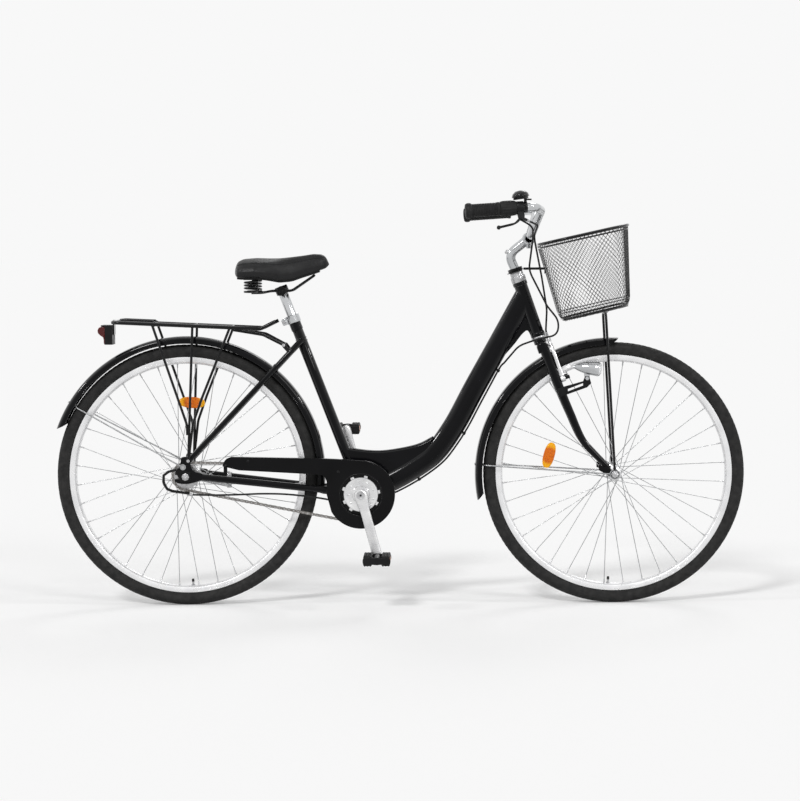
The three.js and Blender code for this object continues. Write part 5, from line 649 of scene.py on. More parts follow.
# ---------------------------------------------------------------- frame
MAIN = [
    (0, 0), (0.178, 0.06), (0.36, 0.148), (0.451, 0.208), (0.565, 0.34), (0.693, 0.538), (0.84, 0.758), (1, 1),
    (1.06, 1.09),
]
WEB = [
    (-0.1, 0.232), (-0.03, 0.222), (0.109, 0.212), (0.272, 0.23), (0.36, 0.25), (0.44, 0.285),
    (0.4, 0.2), (0.178, 0.07), (0, 0.02),
]


def main_place(pair):
    return BRACKET_X + pair[0] * 439.5, BRACKET_Z + pair[1] * 521.3


main_path = flowing([P(x, 0, z) for x, z in map(main_place, MAIN)], 16)


def stay_places():
    """The middle lines of the right chainstay and the right seatstay."""
    def between(start, end, share, y):
        p = start + (end - start) * share
        return P(p[0], -y, p[2])
    bracket, foot = P(BRACKET_X, -24, BRACKET_Z), P(-HUB_X + 26, -61, HUB_Z)
    top, end = seat(440, 0, -15), P(-HUB_X + 3.5, -61, HUB_Z + 36.5)
    return (bent([bracket, between(bracket, foot, 0.24, 36), foot], 248, 14),
            bent([top, between(top, end, 0.09, 27), between(top, end, 0.22, 37), end], 56, 8))


chainstay_path, seatstay_path = stay_places()


def build_frame():
    near_head = np.clip((np.arange(len(main_path)) - 96) / 32, 0, 1)
    main = sweep(main_path, np.stack([ring(20 - 4.5 * near, 29.5, 40) for near in near_head]))

    def behind_head(p):
        ahead = (p[0] - STEER_X) * math.cos(LEAN) + (p[2] - STEER_Z) * math.sin(LEAN)
        if ahead > -2:
            p = p - P(math.cos(LEAN), 0, math.sin(LEAN)) * (ahead + 2)
        return p
    piece("frame_main_tube", main.moved(behind_head), "frame", "paint", replaces="frame", angle=50)
    top = flowing([P(x, 0, z) for x, z in map(main_place, WEB[:6])], 8)
    web = plate(flat_pairs(top) + [main_place(w) for w in WEB[6:]], -13, 13, edge=5, steps=5)
    for side in (-1, 1):
        web.join(tube(top + P(0, side * 8.5, 0.6), 2.0, 12))
    piece("frame_web", web.join(tube(top, 2.2, 12)), "frame", "paint")
    head = spun([
        (15.5, 0), (19.2, 0), (19.9, 1), (19.9, 8), (19.2, 9.4), (18.1, 10.6), (18, 12), (18, 141), (18.1, 142.4),
        (19.2, 143.6), (19.9, 145), (19.9, 152), (19.2, 153), (15.5, 153),
    ], steer(413), STEER_WAY, 64)
    piece("frame_head_tube", head, "frame", "paint")
    fillet = smoothed([(356, 708), (350, 720), (341, 733), (330, 726), (306, 696), (275, 661)], 6)
    at_head = flat_pairs([steer(537, -18), steer(422, -16) + P(6, 0, 0)])
    fin = plate([*at_head, *fillet, (252, 676), *flat_pairs([main_path[100]])], -6, 6, edge=2, steps=4)
    piece("frame_head_gusset", fin, "frame", "paint")
    post = spun([(14.3, -5), (14.3, 10), (14.3, 160), (14.3, 330), (14.3, 495.6), (14.0, 496), (13.2, 496)],
                seat(0), SEAT_WAY, 56)
    piece("frame_seat_tube", post, "frame", "paint")
    collar = Shape()
    for along in (434, 442):
        collar.join(spun([(14.2, 0), (15.3, 1.2), (15.6, 2.5), (15.3, 3.8), (14.2, 5)], seat(along), SEAT_WAY, 48))
    piece("frame_seat_weld", collar, "frame", "paint")
    shell = spun([(17, -34), (20.2, -34), (21, -33.2), (21, -30), (20.4, -29), (20.4, 29), (21, 30), (21, 33.2),
                  (20.2, 34), (17, 34)], BRACKET, ACROSS, 56)
    piece("frame_bracket_shell", shell, "frame", "paint")
    sizes = np.linspace((8.6, 11.4), (7.2, 9.2), len(chainstay_path))
    stay = sweep(chainstay_path, np.stack([ring(wide, high, 28) for wide, high in sizes]))
    piece("frame_chainstays", stay.both(), "frame", "paint")
    stay = tube(seatstay_path, np.linspace(8.2, 7.4, len(seatstay_path)), 28, level=True)
    piece("frame_seatstays", stay.both(), "frame", "paint")
    dropout = [(-27, -13), (2, -19), (34, -12), (46, -6), (46, 8), (24, 14), (14, 30), (14, 50), (-10, 52),
               (-14, 30), (-27, 13)]
    slot_cut = [(-27.5, -5.2), (2, -5.2), *arc(2, 0, 5.2, -90, 90, 10), (-27.5, 5.2)]
    rear = [q for q in smoothed(dropout, 5, True) if not (q[0] < -20 and abs(q[1]) < 6)]
    start_at = max(range(len(rear)), key=lambda n: math.dist(rear[n], rear[n - 1]))
    rear = rear[start_at:] + rear[:start_at]
    if rear[0][1] < 0:
        rear = rear[::-1]
    whole = rear + slot_cut if rear[-1][1] < 0 else rear + slot_cut[::-1]
    drop = plate(whole, -68.5, -63.5, [arc(8.5, 43, 2.7, 0, 350, 12)], edge=0.8).shifted(-HUB_X, 0, HUB_Z)
    piece("frame_dropouts", drop.both(), "frame", "paint")
    bridges = Shape()
    for angle, y in ((50.6, 37), (-6.2, 36)):
        x, _, z = on_wheel(-HUB_X, angle, 376.3)
        bridges.join(rod((x, -y, z), (x, y, z), 6, 28))
        bridges.join(spun([(6, -5), (7, -4.4), (7, 4.4), (6, 5)], (x, 0, z), ACROSS, 28))
    piece("frame_bridges", bridges, "frame", "paint")
    low = on_wheel(-HUB_X, -6.2, 376.3)[2] - 9.8
    front = BRACKET_X - 29
    stand = block((front - 48, -36, low - 6), (front, 36, low))
    piece("frame_stand_plate", stand, "frame", "paint", bevel=1.2)
    nut = spun([(5.2, -0.4), (9, -0.4), (9, 0.4), (5.2, 0.4)], (front - 24, 0, low - 6.2), (0, 0, -1), 36, True)
    piece("frame_stand_hole_ring", nut, "frame", "steel")


# ---------------------------------------------------------------- fork
BLADE = [(388, 3), (265, 7), (190, 12), (110, 20), (57, 42), (17, 62)]


def build_fork():
    path = flowing([P(ahead, -50.2 + 13.2 * along / BLADE[0][0], along) for along, ahead in BLADE], 10)
    high = 13 - 6 * np.linspace(0, 1, len(path)) ** 1.15
    blade = sweep(path, np.stack([ring(h * 0.62, h, 32) for h in high]))
    boss = rod((8, -41, 286), (38, -41, 286), 5, 24)
    boss.join(spun([(0, 38), (4.6, 38), (5.4, 39), (5.4, 42), (4.8, 42.8), (2.6, 42.8), (2.4, 41), (0, 41)],
                   (0, -41, 286), (1, 0, 0), 6))
    piece("fork_blades", leaned(blade.join(boss).both()), "steering", "paint", replaces="fork")
    crown_side = [(-15, 369), (-15, 386), (-13, 391), (-6, 395), (6, 395), (13, 391), (15, 386), (15, 369)]
    crown = plate(crown_side, -44, 44, edge=4, steps=5)
    crown.join(rod((0, 0, 392), (0, 0, 404), 17.5, 40))
    piece("fork_crown", leaned(crown), "steering", "paint")
    steerer = spun([(11.5, 388), (12.7, 388), (12.7, 592), (11.5, 592)], steer(0), STEER_WAY, 40)
    piece("fork_steerer", steerer, "steering", "steel")
    edge = [*arc(70, 0, 12, -150, 95, 22), (55, 24), (38, 38.4), (33.2, 24)]
    tip = plate(edge, -55, -50, [arc(70, 0, 5.4, 0, 345, 20)], edge=0.8)
    piece("fork_tips", leaned(tip.both()), "steering", "paint")
    bore = rod((15.2, 0, 382), (17.6, 0, 382), 6, 6, edge=0.4).join(rod((17, 0, 382), (21, 0, 382), 3, 16))
    piece("fork_crown_bolt", leaned(bore), "steering", "steel")


# ---------------------------------------------------------------- mudguards
GUARD_WALL, GUARD_DEPTH = 1.5, 19.6


def guard_section():
    """A closed loop over the outside of a mudguard and back along its inside."""
    outer = smoothed([(24, -GUARD_DEPTH), (23.6, -13), (21.6, -7), (16, -2.6), (8, -0.7), (0, 0)], 5)
    outer += [(-a, b) for a, b in outer[-2::-1]]
    inner = []
    for i, (a, b) in enumerate(outer):
        before, after = outer[max(i - 1, 0)], outer[min(i + 1, len(outer) - 1)]
        tangent = unit(P(after[0] - before[0], after[1] - before[1]))
        inner.append((a - tangent[1] * GUARD_WALL, b + tangent[0] * GUARD_WALL))
    return outer + inner[::-1]


def guard(radius, start, end, hub_x, round_start, round_end):
    loop = guard_section()
    size, steps = len(loop), int((end - start) / 1.5)
    points = []
    for i in range(steps + 1):
        for a, b in loop:
            drop = min(1.0, max(0.0, -b / GUARD_DEPTH)) ** 1.4
            low, high = start + round_start * drop, end - round_end * drop
            points.append(on_wheel(hub_x, low + (high - low) * i / steps, radius + b, a))
    faces = lattice(steps + 1, size, capped=False)
    for row in (0, steps * size):
        faces += [(row + k, row + k + 1, row + size - 2 - k, row + size - 1 - k) for k in range(size // 2 - 1)]
    made = Shape().take(points, faces)
    turns = np.linspace(start + round_start, end - round_end, steps)
    for side in (-1, 1):
        made.join(tube([on_wheel(hub_x, turn, radius - 19.2, side * 23.4) for turn in turns], 1.1, 10))
    return made


def button(place, way, radius=4.2, height=2.4, sides=24):
    """A low domed bolt head."""
    return spun([(0, height), (radius * 0.55, height * 0.86), (radius * 0.9, height * 0.45), (radius, 0), (0, 0)],
                place, way, sides)


def hexagon(place, way, radius, height):
    return spun([(0, 0), (radius - 0.4, 0), (radius, 0.5), (radius, height - 0.5), (radius - 0.5, height),
                 (0, height)], place, way, 6)


def guard_stay(hub_x, angle, radius, eye_x, eye_z, eye_y, eye_radius, hole):
    """A bow of wire under a mudguard's crown, with both ends flattened to eyes round a bolt."""
    skirt, inside = radius - 22, 19.7
    crown = (radius - 2.88) * math.cos(rad(4.5)) - 2.3
    out = (math.cos(rad(angle)), math.sin(rad(angle)))

    def point(r, y):
        return P(out[0] * r, y, out[1] * r)
    centre = P(eye_x, 0, eye_z)
    towards = unit(point(skirt, 0) - centre)

    def level(distance, hand):
        p = centre + towards * distance
        p[1] = hand * (eye_y + 2)
        return p

    def side(hand):
        return [level(eye_radius - 2, hand), level(38, hand), point(skirt - 8, hand * 26),
                point(skirt - 2, hand * (inside - 0.3)), point(crown - 6, hand * (inside - 4))]
    corners = [*side(-1), point(crown, -inside / 2), point(crown, inside / 2), *side(1)[::-1]]
    made = tube(bent(corners, 9, 5), 2, 14)
    for hand in (-1, 1):
        made.join(eyelet(eye_x, eye_z, eye_radius, hole, hand, eye_y))
    return made.shifted(hub_x, 0, HUB_Z)


def guard_rivets(hub_x, angle, radius):
    bolts = Shape()
    for side in (-1, 1):
        place = on_wheel(hub_x, angle, radius, side * 8)
        bolts.join(button(place, unit(place - P(hub_x, side * 8, HUB_Z)), 3.6, 2))
    return bolts


def build_guards():
    rear = guard(371.5, -7.5, 160.4, -HUB_X, 2.5, 3.2).shifted(-1.5, 0, 1.5)
    piece("rear_guard", rear, "frame", "paint", replaces="rear_mudguard", angle=60)
    front = guard(366, 86.8, 191, HUB_X, 3.4, 2.6).shifted(-7, 0, -2.5)
    top = math.sqrt(366 ** 2 - 70 ** 2)
    hanger = plate([(-9, top - 4), (9, top - 4), (9, 366), (-9, 366)], -9, 9, edge=1.2)
    piece("front_guard", front.join(leaned(hanger)), "steering", "paint", replaces="front_mudguard", angle=60)
    piece("rear_guard_rivets", guard_rivets(-HUB_X - 1.5, 148, 371.8), "frame", "steel")
    piece("front_guard_rivets", guard_rivets(HUB_X, 176.2, 372.4), "steering", "steel")
    stay = guard_stay(-HUB_X, 148, 373, -6.5, 26.1, 68.8, 8, 3)
    piece("rear_guard_stay", stay, "frame", "spoke", replaces="rear_mudguard_stay")
    stay = guard_stay(HUB_X, 176.2, 372.4, 0, 0, 55.3, 14, 5.4)
    piece("front_guard_stay", stay, "steering", "spoke", replaces="front_mudguard_stay")
    bolts = Shape()
    for side in (-1, 1):
        for x, z, out in ((-6.5, 26.1, 70.9), (8.5, 43, 76.8)):
            place = (-HUB_X + x, side * out, HUB_Z + z)
            bolts.join(hexagon(place, (0, side, 0), 4.6, 3.2))
    piece("eyelet_bolts", bolts, "frame", "steel")


# ---------------------------------------------------------------- wheels
def spoke_ends(circle, right, left):
    """Where each of 36 spokes, crossed three times, starts at its flange and ends at the rim."""
    ends = []
    for i in range(36):
        rim = rad(5 + 10 * i)
        trail = 1 if (i // 2) % 2 == 0 else -1
        hub = rim + rad(60) * trail
        side = -1 if i % 2 == 0 else 1
        flange = (right if side < 0 else left) + trail * 1.3
        ends.append((P(math.cos(hub) * circle, flange, math.sin(hub) * circle),
                     P(math.cos(rim) * 297.0, side * 3 + trail * 1.3, math.sin(rim) * 297.0)))
    return ends


def tyre_shape():
    half = [(311.3, 9.1), (315.4, 9.6), (318.6, 12.4), (321.4, 15.0), (326, 17.8), (331.5, 19.3), (336.5, 19.5),
            (340.8, 18.2), (344.4, 15.6), (347.2, 12.2), (349.2, 8.2), (350.2, 4.2), (350.45, 0)]
    side = smoothed(half, 2)
    profile = side + [(r, -y) for r, y in side[-2::-1]]
    sides = 432
    points = []
    for k in range(sides):
        a = 2 * math.pi * k / sides
        for r, y in profile:
            out = abs(y)
            if r > 338:
                step = k % 6
                if out > 11.5:
                    cut = 0.9 if (step + (2 if y > 0 else 0)) % 6 in (0, 1) else 0.0
                elif 3.2 < out < 5.0 or 9.8 < out < 11.0:
                    cut = 0.8
                elif out < 3.2:
                    cut = 0.5 if step in (0, 3) else 0.0
                else:
                    cut = 0.7 if (step + (1 if y > 0 else 4)) % 6 == 0 else 0.0
                r = r - cut
            points.append((math.cos(a) * r, y, math.sin(a) * r))
    return Shape().take(points, lattice(sides, len(profile), closed=True))


def rim_shape():
    side = [(298.7, 0), (298.7, 5.2), (299.6, 7.6), (302.2, 10.6), (303.6, 12.2), (304.6, 12.6), (315.8, 12.6),
            (316.8, 12.4), (317, 11.6), (316.4, 10.6), (312.4, 10.2), (311.2, 9.2), (310.8, 6), (307, 4), (306, 0)]
    profile = side + [(r, -y) for r, y in side[-2:0:-1]]
    return spun(profile, (0, 0, 0), ACROSS, 180, True)


def wheel(name, hub_x, body, ends, valve_angle, hub, circle, right, left):
    """A wheel whose spokes run from their circle on the right and left flanges."""
    place, end_of = (hub_x, 0, HUB_Z), name.split("_")[0]
    piece(f"{name}_tread", tyre_shape().shifted(*place), body, f"{end_of}_tyre", replaces=f"{name}_tyre", angle=32)
    piece(f"{name}_hoop", rim_shape().shifted(*place), body, f"{end_of}_rim", replaces=f"{name}_rim", angle=30)
    grooves = Shape()
    for side in (1, -1):
        for radius in (305.4, 309.2, 313.0):
            grooves.join(spun([(radius, 12.5), (radius + 0.22, 12.63), (radius + 0.44, 12.5)], (0, 0, 0),
                              (0, side, 0), 180))
    piece(f"{name}_brake_tracks", grooves.shifted(*place), body, f"{end_of}_rim")
    spokes, nipples = Shape(), Shape()
    for start, end in ends:
        way = unit(end - start)
        spokes.join(tube([start, start + way * 5, end], 0.95, 8))
        nipples.join(spun([(0, 0), (1.5, 0), (1.7, 0.6), (1.8, 9), (2.6, 10.6), (2.6, 12.6), (0, 12.6)],
                          end - way * 9.5, way, 10))
        side = 1 if start[1] > 0 else -1
        trail = 1 if abs(start[1]) > abs(left if side > 0 else right) else -1
        spokes.join(button(start + P(0, side * trail * 0.6, 0), (0, side * trail, 0), 1.9, 1.1, 10))
    piece(f"{name}_spokes", spokes.shifted(*place), body, "spoke")
    piece(f"{name}_nipples", nipples.shifted(*place), body, "steel")
    piece(f"{name}_hub_shell", spun(hub, place, ACROSS, 72), body, "alloy", replaces=f"{name}_hub", angle=30)
    holes = Shape()
    for y in (right, left):
        for k in range(18):
            turn = rad(20 * k + 5)
            for face in (-1, 1):
                spot = (math.cos(turn) * circle, y + face * 2.2, math.sin(turn) * circle)
                holes.join(spun([(1.3, 0), (1.9, 0), (1.9, 0.25), (1.3, 0.25)], spot, (0, face, 0), 12, True))
    piece(f"{name}_flange_eyelets", holes.shifted(*place), body, "steel")
    way = P(math.cos(rad(valve_angle)), 0, math.sin(rad(valve_angle)))

    def valve_part(profile, radius, sides):
        return spun(profile, P(*place) + way * radius, way, sides)
    stem = valve_part([(0, 0), (1.6, 0), (1.8, 0.6), (1.8, 3), (2.9, 3.4), (2.9, 24), (4.6, 25), (4.6, 30), (0, 30)],
                      283.7, 20)
    piece(f"{name}_valve", stem, body, "steel")
    cap = valve_part([(0, 0), (2.6, 0), (3.3, 0.7), (3.6, 7.4), (3.2, 8), (1.2, 8)], 281.3, 12)
    piece(f"{name}_valve_cap", cap, body, "rubber", slot="tyre_rubber", flat=True)
    nut = valve_part([(0, 0), (4.6, 0), (5.2, 0.5), (5.2, 1.8), (0, 1.8)], 296.6, 20)
    piece(f"{name}_valve_nut", nut, body, "steel")


def reflector(name, hub_x, body, angle, radius, y):
    """An oval plate between the spokes, with rows of small prisms on both faces."""
    oval = squared(15, 35, 0.85, 56)
    whole = plate([(radius + x, z) for x, z in oval], y - 4.2, y + 4.2, edge=1.6, steps=3)
    inner = [(radius + x * 0.86, z * 0.93) for x, z in oval]
    for side in (-1, 1):
        y0, y1 = sorted((y + side * 4.0, y + side * 5.0))
        whole.join(plate(inner, y0, y1, edge=0.4))
        for u in np.arange(-12, 12.1, 3):
            for v in np.arange(-31.5, 31.6, 3.5):
                if (u / 12.4) ** 2 + (v / 32) ** 2 < 0.93:
                    tip = (radius + u, y + side * 5.7, v)
                    base = [(radius + u + a * 1.45, y + side * 4.95, v + b * 1.7)
                            for a, b in ((-1, -1), (1, -1), (1, 1), (-1, 1))]
                    whole.take([*base, tip], [(0, 1, 4), (1, 2, 4), (2, 3, 4), (3, 0, 4)])
    whole = whole.turned_y(angle).shifted(hub_x, 0, HUB_Z)
    piece(f"{name}_lens", whole, body, "reflector", replaces=name, angle=25)


def build_wheels():
    front = [(6.4, -42), (9.2, -42), (10.8, -41), (11.2, -38), (11.4, -34), (18.6, -32.2), (20, -31.4), (20, -28.6),
             (18.6, -27.8), (12, -26), (10.4, -20), (9.8, -10), (9.8, 10), (10.4, 20), (12, 26), (18.6, 27.8),
             (20, 28.6), (20, 31.4), (18.6, 32.2), (11.4, 34), (11.2, 38), (10.8, 41), (9.2, 42), (6.4, 42)]
    wheel("front_wheel", HUB_X, "front_wheel", spoke_ends(19, -30, 30), 267, front, 17, -30, 30)
    rear = [(6.4, -34), (24.5, -34), (27, -33), (27.4, -28), (30.6, -26.3), (32, -25.4), (32, -22.6), (30.6, -21.8),
            (27.6, -20), (27, -14), (26.4, -12.6), (26.4, 14), (27, 15.4), (27.4, 25), (30.6, 27.8), (32, 28.6),
            (32, 31.4), (30.6, 32.2), (27, 33.4), (26, 36), (20.4, 43), (19, 44), (6.4, 44)]
    wheel("rear_wheel", -HUB_X, "rear_wheel", spoke_ends(31, -24, 30), 272, rear, 29, -24, 30)
    reflector("front_wheel_reflector", HUB_X, "front_wheel", 164.4, 180, -12.6)
    reflector("rear_wheel_reflector", -HUB_X, "rear_wheel", 86, 195.5, -9.6)


# ---------------------------------------------------------------- chain, ring and sprocket
PITCH, LINKS, RING_TEETH, COG_TEETH = 12.7, 102, 38, 18
CHAIN_Y = -47
RING_R = PITCH / 2 / math.sin(math.pi / RING_TEETH)
COG_R = PITCH / 2 / math.sin(math.pi / COG_TEETH)
SLOPE = math.atan2(BRACKET_Z - HUB_Z, BRACKET_X + HUB_X)
OPENING = math.asin((RING_R - COG_R) / DRIVE)
STRAIGHT = DRIVE * math.cos(OPENING)
TOP, LOW = SLOPE + math.pi / 2 + OPENING, SLOPE - math.pi / 2 - OPENING
RING_WRAP, COG_WRAP = math.pi + OPENING * 2, math.pi - OPENING * 2
CHAIN = STRAIGHT * 2 + RING_WRAP * RING_R + COG_WRAP * COG_R


def chain_place(along):
    """A place on the chain's pitch line, measured from the top of the sprocket forward."""
    def ring_at(a):
        return P(BRACKET_X + math.cos(a) * RING_R, 0, BRACKET_Z + math.sin(a) * RING_R)

    def cog_at(a):
        return P(-HUB_X + math.cos(a) * COG_R, 0, HUB_Z + math.sin(a) * COG_R)
    marks = (STRAIGHT, STRAIGHT + RING_WRAP * RING_R, STRAIGHT * 2 + RING_WRAP * RING_R)
    along %= CHAIN
    if along < marks[0]:
        return cog_at(TOP) + (ring_at(TOP) - cog_at(TOP)) * along / STRAIGHT
    if along < marks[1]:
        return ring_at(TOP - (along - marks[0]) / RING_R)
    if along < marks[2]:
        return ring_at(LOW) + (cog_at(LOW) - ring_at(LOW)) * (along - marks[1]) / STRAIGHT
    return cog_at(LOW - (along - marks[2]) / COG_R)


def build_chain():
    links = Shape()
    places = [chain_place(CHAIN / LINKS * i) for i in range(LINKS)]
    for i in range(LINKS):
        a, b = places[i], places[(i + 1) % LINKS]
        way, length = unit(b - a), np.linalg.norm(b - a)
        outline = []
        for x, start in ((0, 90), (length, -90)):
            for t in np.linspace(start + 26, start + 154, 7):
                outline.append((x + math.cos(rad(t)) * 4.1, math.sin(rad(t)) * 4.1))
            outline.append((length / 2, -2.9 if x == 0 else 2.9))
        y = 3.62 if i % 2 == 0 else 2.5
        turned = [(a[0] + u * way[0] - v * way[2], a[2] + u * way[2] + v * way[0]) for u, v in outline]
        size = len(turned)
        for side in (-1, 1):
            low, high = sorted((side * y, side * (y + 1.0)))
            links.take([(x, CHAIN_Y + deep, z) for deep in (low, high) for x, z in turned], lattice(2, size))
        at = P(a[0], CHAIN_Y, a[2])
        roller = spun([(0, -2.4), (3.2, -2.4), (3.2, 2.4), (0, 2.4)], at, ACROSS, 12)
        pin = spun([(0, -4.7), (1.6, -4.7), (1.7, -4.4), (1.7, 4.4), (1.6, 4.7), (0, 4.7)], at, ACROSS, 10)
        links.join(roller.kind(1), pin.kind(1))
    piece("chain_links", links, "frame", "chain", "steel", replaces="chain")


# one tooth, from gap to gap: shares of half a pitch and heights over the pitch line
TOOTH = ((0.0, -3.5), (0.28, -3.4), (0.5, -2.6), (0.68, 0.2), (0.82, 2.5), (0.93, 3.3), (1.07, 3.3), (1.18, 2.5),
         (1.32, 0.2), (1.5, -2.6), (1.72, -3.4))


def toothed(teeth, start, length, bore, x, z):
    """A toothed plate in phase with the rollers that lie on a stretch of the chain."""
    step = CHAIN / LINKS
    roller = chain_place(round((start + length / 2) / step) * step)
    first, radius = math.atan2(roller[2] - z, roller[0] - x), PITCH / 2 / math.sin(math.pi / teeth)
    outline = []
    for i in range(teeth):
        for share, out in TOOTH:
            a = first + math.pi / teeth * (2 * i + share)
            outline.append((x + math.cos(a) * (radius + out), z + math.sin(a) * (radius + out)))
    return plate(outline, -48.1, -45.9, [arc(x, z, bore, 0, 352, 44)], edge=0.35, steps=1)


def build_drive():
    teeth = toothed(RING_TEETH, STRAIGHT, RING_WRAP * RING_R, 13, BRACKET_X, BRACKET_Z)
    piece("ring_teeth", teeth, "crankset", "wire", replaces="chainring", angle=30)
    disc = spun([(7, -57), (22, -57), (23.5, -55.6), (40, -55.6), (43.4, -57), (45, -56.8), (46, -55.8), (46, -48.6),
                 (7, -48.6)], BRACKET, ACROSS, 96, True)
    for a in (8, 74, 118, 162, 205, 236, 282, 330):
        tab = plate([(41, -5.4), (51.4, -4.8), (52, -4.2), (52, 4.2), (51.4, 4.8), (41, 5.4)], -54, -48, edge=0.8)
        disc.join(tab.turned_y(a).shifted(*BRACKET))
    piece("ring_cover", disc, "crankset", "alloy", angle=30)
    rivets = Shape()
    for i in range(9):
        a = rad(40 * i + 20)
        rivets.join(button((BRACKET_X + math.cos(a) * 35, -55.5, BRACKET_Z + math.sin(a) * 35), (0, -1, 0), 2.6, 1.2))
    piece("ring_rivets", rivets, "crankset", "alloy")
    cog = toothed(COG_TEETH, CHAIN - COG_WRAP * COG_R, COG_WRAP * COG_R, 16.4, -HUB_X, HUB_Z)
    cog.join(spun([(8.6, -53), (15.6, -53), (17, -52), (17, -36.4), (16, -36), (8.6, -36)], (-HUB_X, 0, HUB_Z),
                  ACROSS, 48, True))
    piece("sprocket_teeth", cog, "sprocket", "steel", replaces="sprocket", angle=30)


# ---------------------------------------------------------------- cranks and pedals
CRANK, CRANK_TURN = 170, 15


def crank_shape():
    """The right arm, hanging straight down: a boss, a slimmer shaft and a rounded foot."""
    rows, sides, points = 34, 32, []
    for z in np.linspace(15.4, -181.4, rows):
        top = min(1.0, (15.9 - z) / 16) if z > 0 else 1.0
        low = min(1.0, (z + 182) / 12) if z < -CRANK else 1.0
        rounded = math.sqrt(1 - (1 - top) ** 2) * math.sqrt(1 - (1 - low) ** 2)
        shaft, foot = min(1.0, max(0.0, (-6 - z) / 34)), min(1.0, max(0.0, (-142 - z) / 24))
        wide = (18 - 4.9 * shaft * (1 - foot) - 4.2 * foot) * rounded
        deep = 7 - 1.4 * shaft * (1 - foot)
        points += [(w, d - 73, z) for d, w in squared(deep, max(wide, 0.6), 0.62, sides)]
    made = Shape().take(points, lattice(rows, sides))
    return made.join(spun([(7, 0), (14.3, 0), (14.3, 8.4), (7, 8.4)], (0, -66, 0), ACROSS, 40, True))


def crank_trim():
    """The cap over the crank's bolt, and the pedal's spindle with its collar."""
    cap = spun([(0, 0), (8.6, 0), (9.8, -0.5), (11, -0.4), (11.4, 1.8), (10, 2), (0, 2)], (0, -81.2, 0), ACROSS, 36)
    spindle = spun([(0, 0), (4.5, 0), (4.5, 104), (0, 104)], (0, -177, -170), ACROSS, 24)
    collar = spun([(4.5, 0), (7.8, 0), (7.8, 4.6), (4.5, 4.6)], (0, -85, -170), ACROSS, 6, True)
    return cap, spindle.join(collar)


def to_crank(shape, left=False):
    """From hanging straight down to the crank's own turn, on the right or the left."""
    shape = shape.mirrored().turned_y(180 + CRANK_TURN) if left else shape.turned_y(CRANK_TURN)
    return shape.shifted(*BRACKET)


def pedal_shape():
    """The right pedal about its spindle: its rubber treads, its cage and its two reflectors."""
    near, far = -85, -180
    tread = Shape()
    for side in (-1, 1):
        half_outline = [(35, 10.5), (32.5, 13.5), (29.4, 13.5), (28.8, 11.2), (26.6, 11.2), (26, 13.5), (21.8, 13.5),
                        (21.2, 11.2), (19, 11.2), (18.4, 13.5), (15, 13.5), (13, 11)]
        outline = [(side * 35, -10.5), *((side * u, v) for u, v in half_outline),
                   *((side * u, -v) for u, v in half_outline[:0:-1])]
        tread.join(plate(outline, far + 3, near - 3, edge=0.8))
        for y in np.arange(far + 12, near - 8, 11.5):
            for v in (-1, 1):
                tread.join(block((side * 15, y, v * 12.6), (side * 34, y + 4.4, v * 13.5)))
    cage = Shape()
    upper = [(-35, 8), (-26, 9), (-10, 9), (0, 10), (10, 9), (26, 9), (35, 8)]
    outline = smoothed([(-35, -8), *upper, *((u, -v) for u, v in upper[:0:-1])], 3, True)
    for y in (far, near - 5):
        cage.join(plate(outline, y, y + 5, edge=1))
    cage.join(spun([(5.1, 0), (8, 0), (9, 1), (9, 92), (8, 93), (0, 93)], (0, near, 0), (0, -1, 0), 32))
    for side in (-1, 1):
        cage.join(rod((side * 24, far + 2, 0), (side * 24, near - 2, 0), 3, 16))
    glass = Shape()
    for side in (-1, 1):
        glass.join(block((side * 34.6, far + 24, -6), (side * 35.5, near - 24, 6)))
    return tread, cage, glass


def build_cranks():
    arm = crank_shape()
    cap, trim = crank_trim()
    for name, left in (("right_crank", False), ("left_crank", True)):
        piece(f"{name}_arm", to_crank(arm, left), "crankset", "alloy", replaces=name, angle=45)
        piece(f"{name}_cap", to_crank(cap, left), "crankset", "steel")
        # a thin black hexagon laid on the cap's face: painted shade standing in for the bolt's hollow socket
        socket = spun([(0, 0), (3.2, 0), (3.2, 0.5), (0, 0.5)], (0, -81.5, 0), ACROSS, 6)
        piece(f"{name}_bolt_socket_shade", to_crank(socket, left), "crankset", "plastic")
        piece(f"{name}_pin", to_crank(trim, left), "crankset", "steel")
    x, z = math.sin(rad(CRANK_TURN)) * CRANK, math.cos(rad(CRANK_TURN)) * CRANK
    tread, cage, glass = pedal_shape()
    for name, sign, shape in (("right_pedal", 1, lambda s: s), ("left_pedal", -1, lambda s: s.mirrored())):
        at = (BRACKET_X + sign * x, 0, BRACKET_Z - sign * z)
        piece(f"{name}_treads", shape(tread).shifted(*at), name, "rubber", replaces=name)
        piece(f"{name}_cage", shape(cage).shifted(*at), name, "plastic")
        piece(f"{name}_reflector", shape(glass).shifted(*at), name, "amber", bevel=0.3)


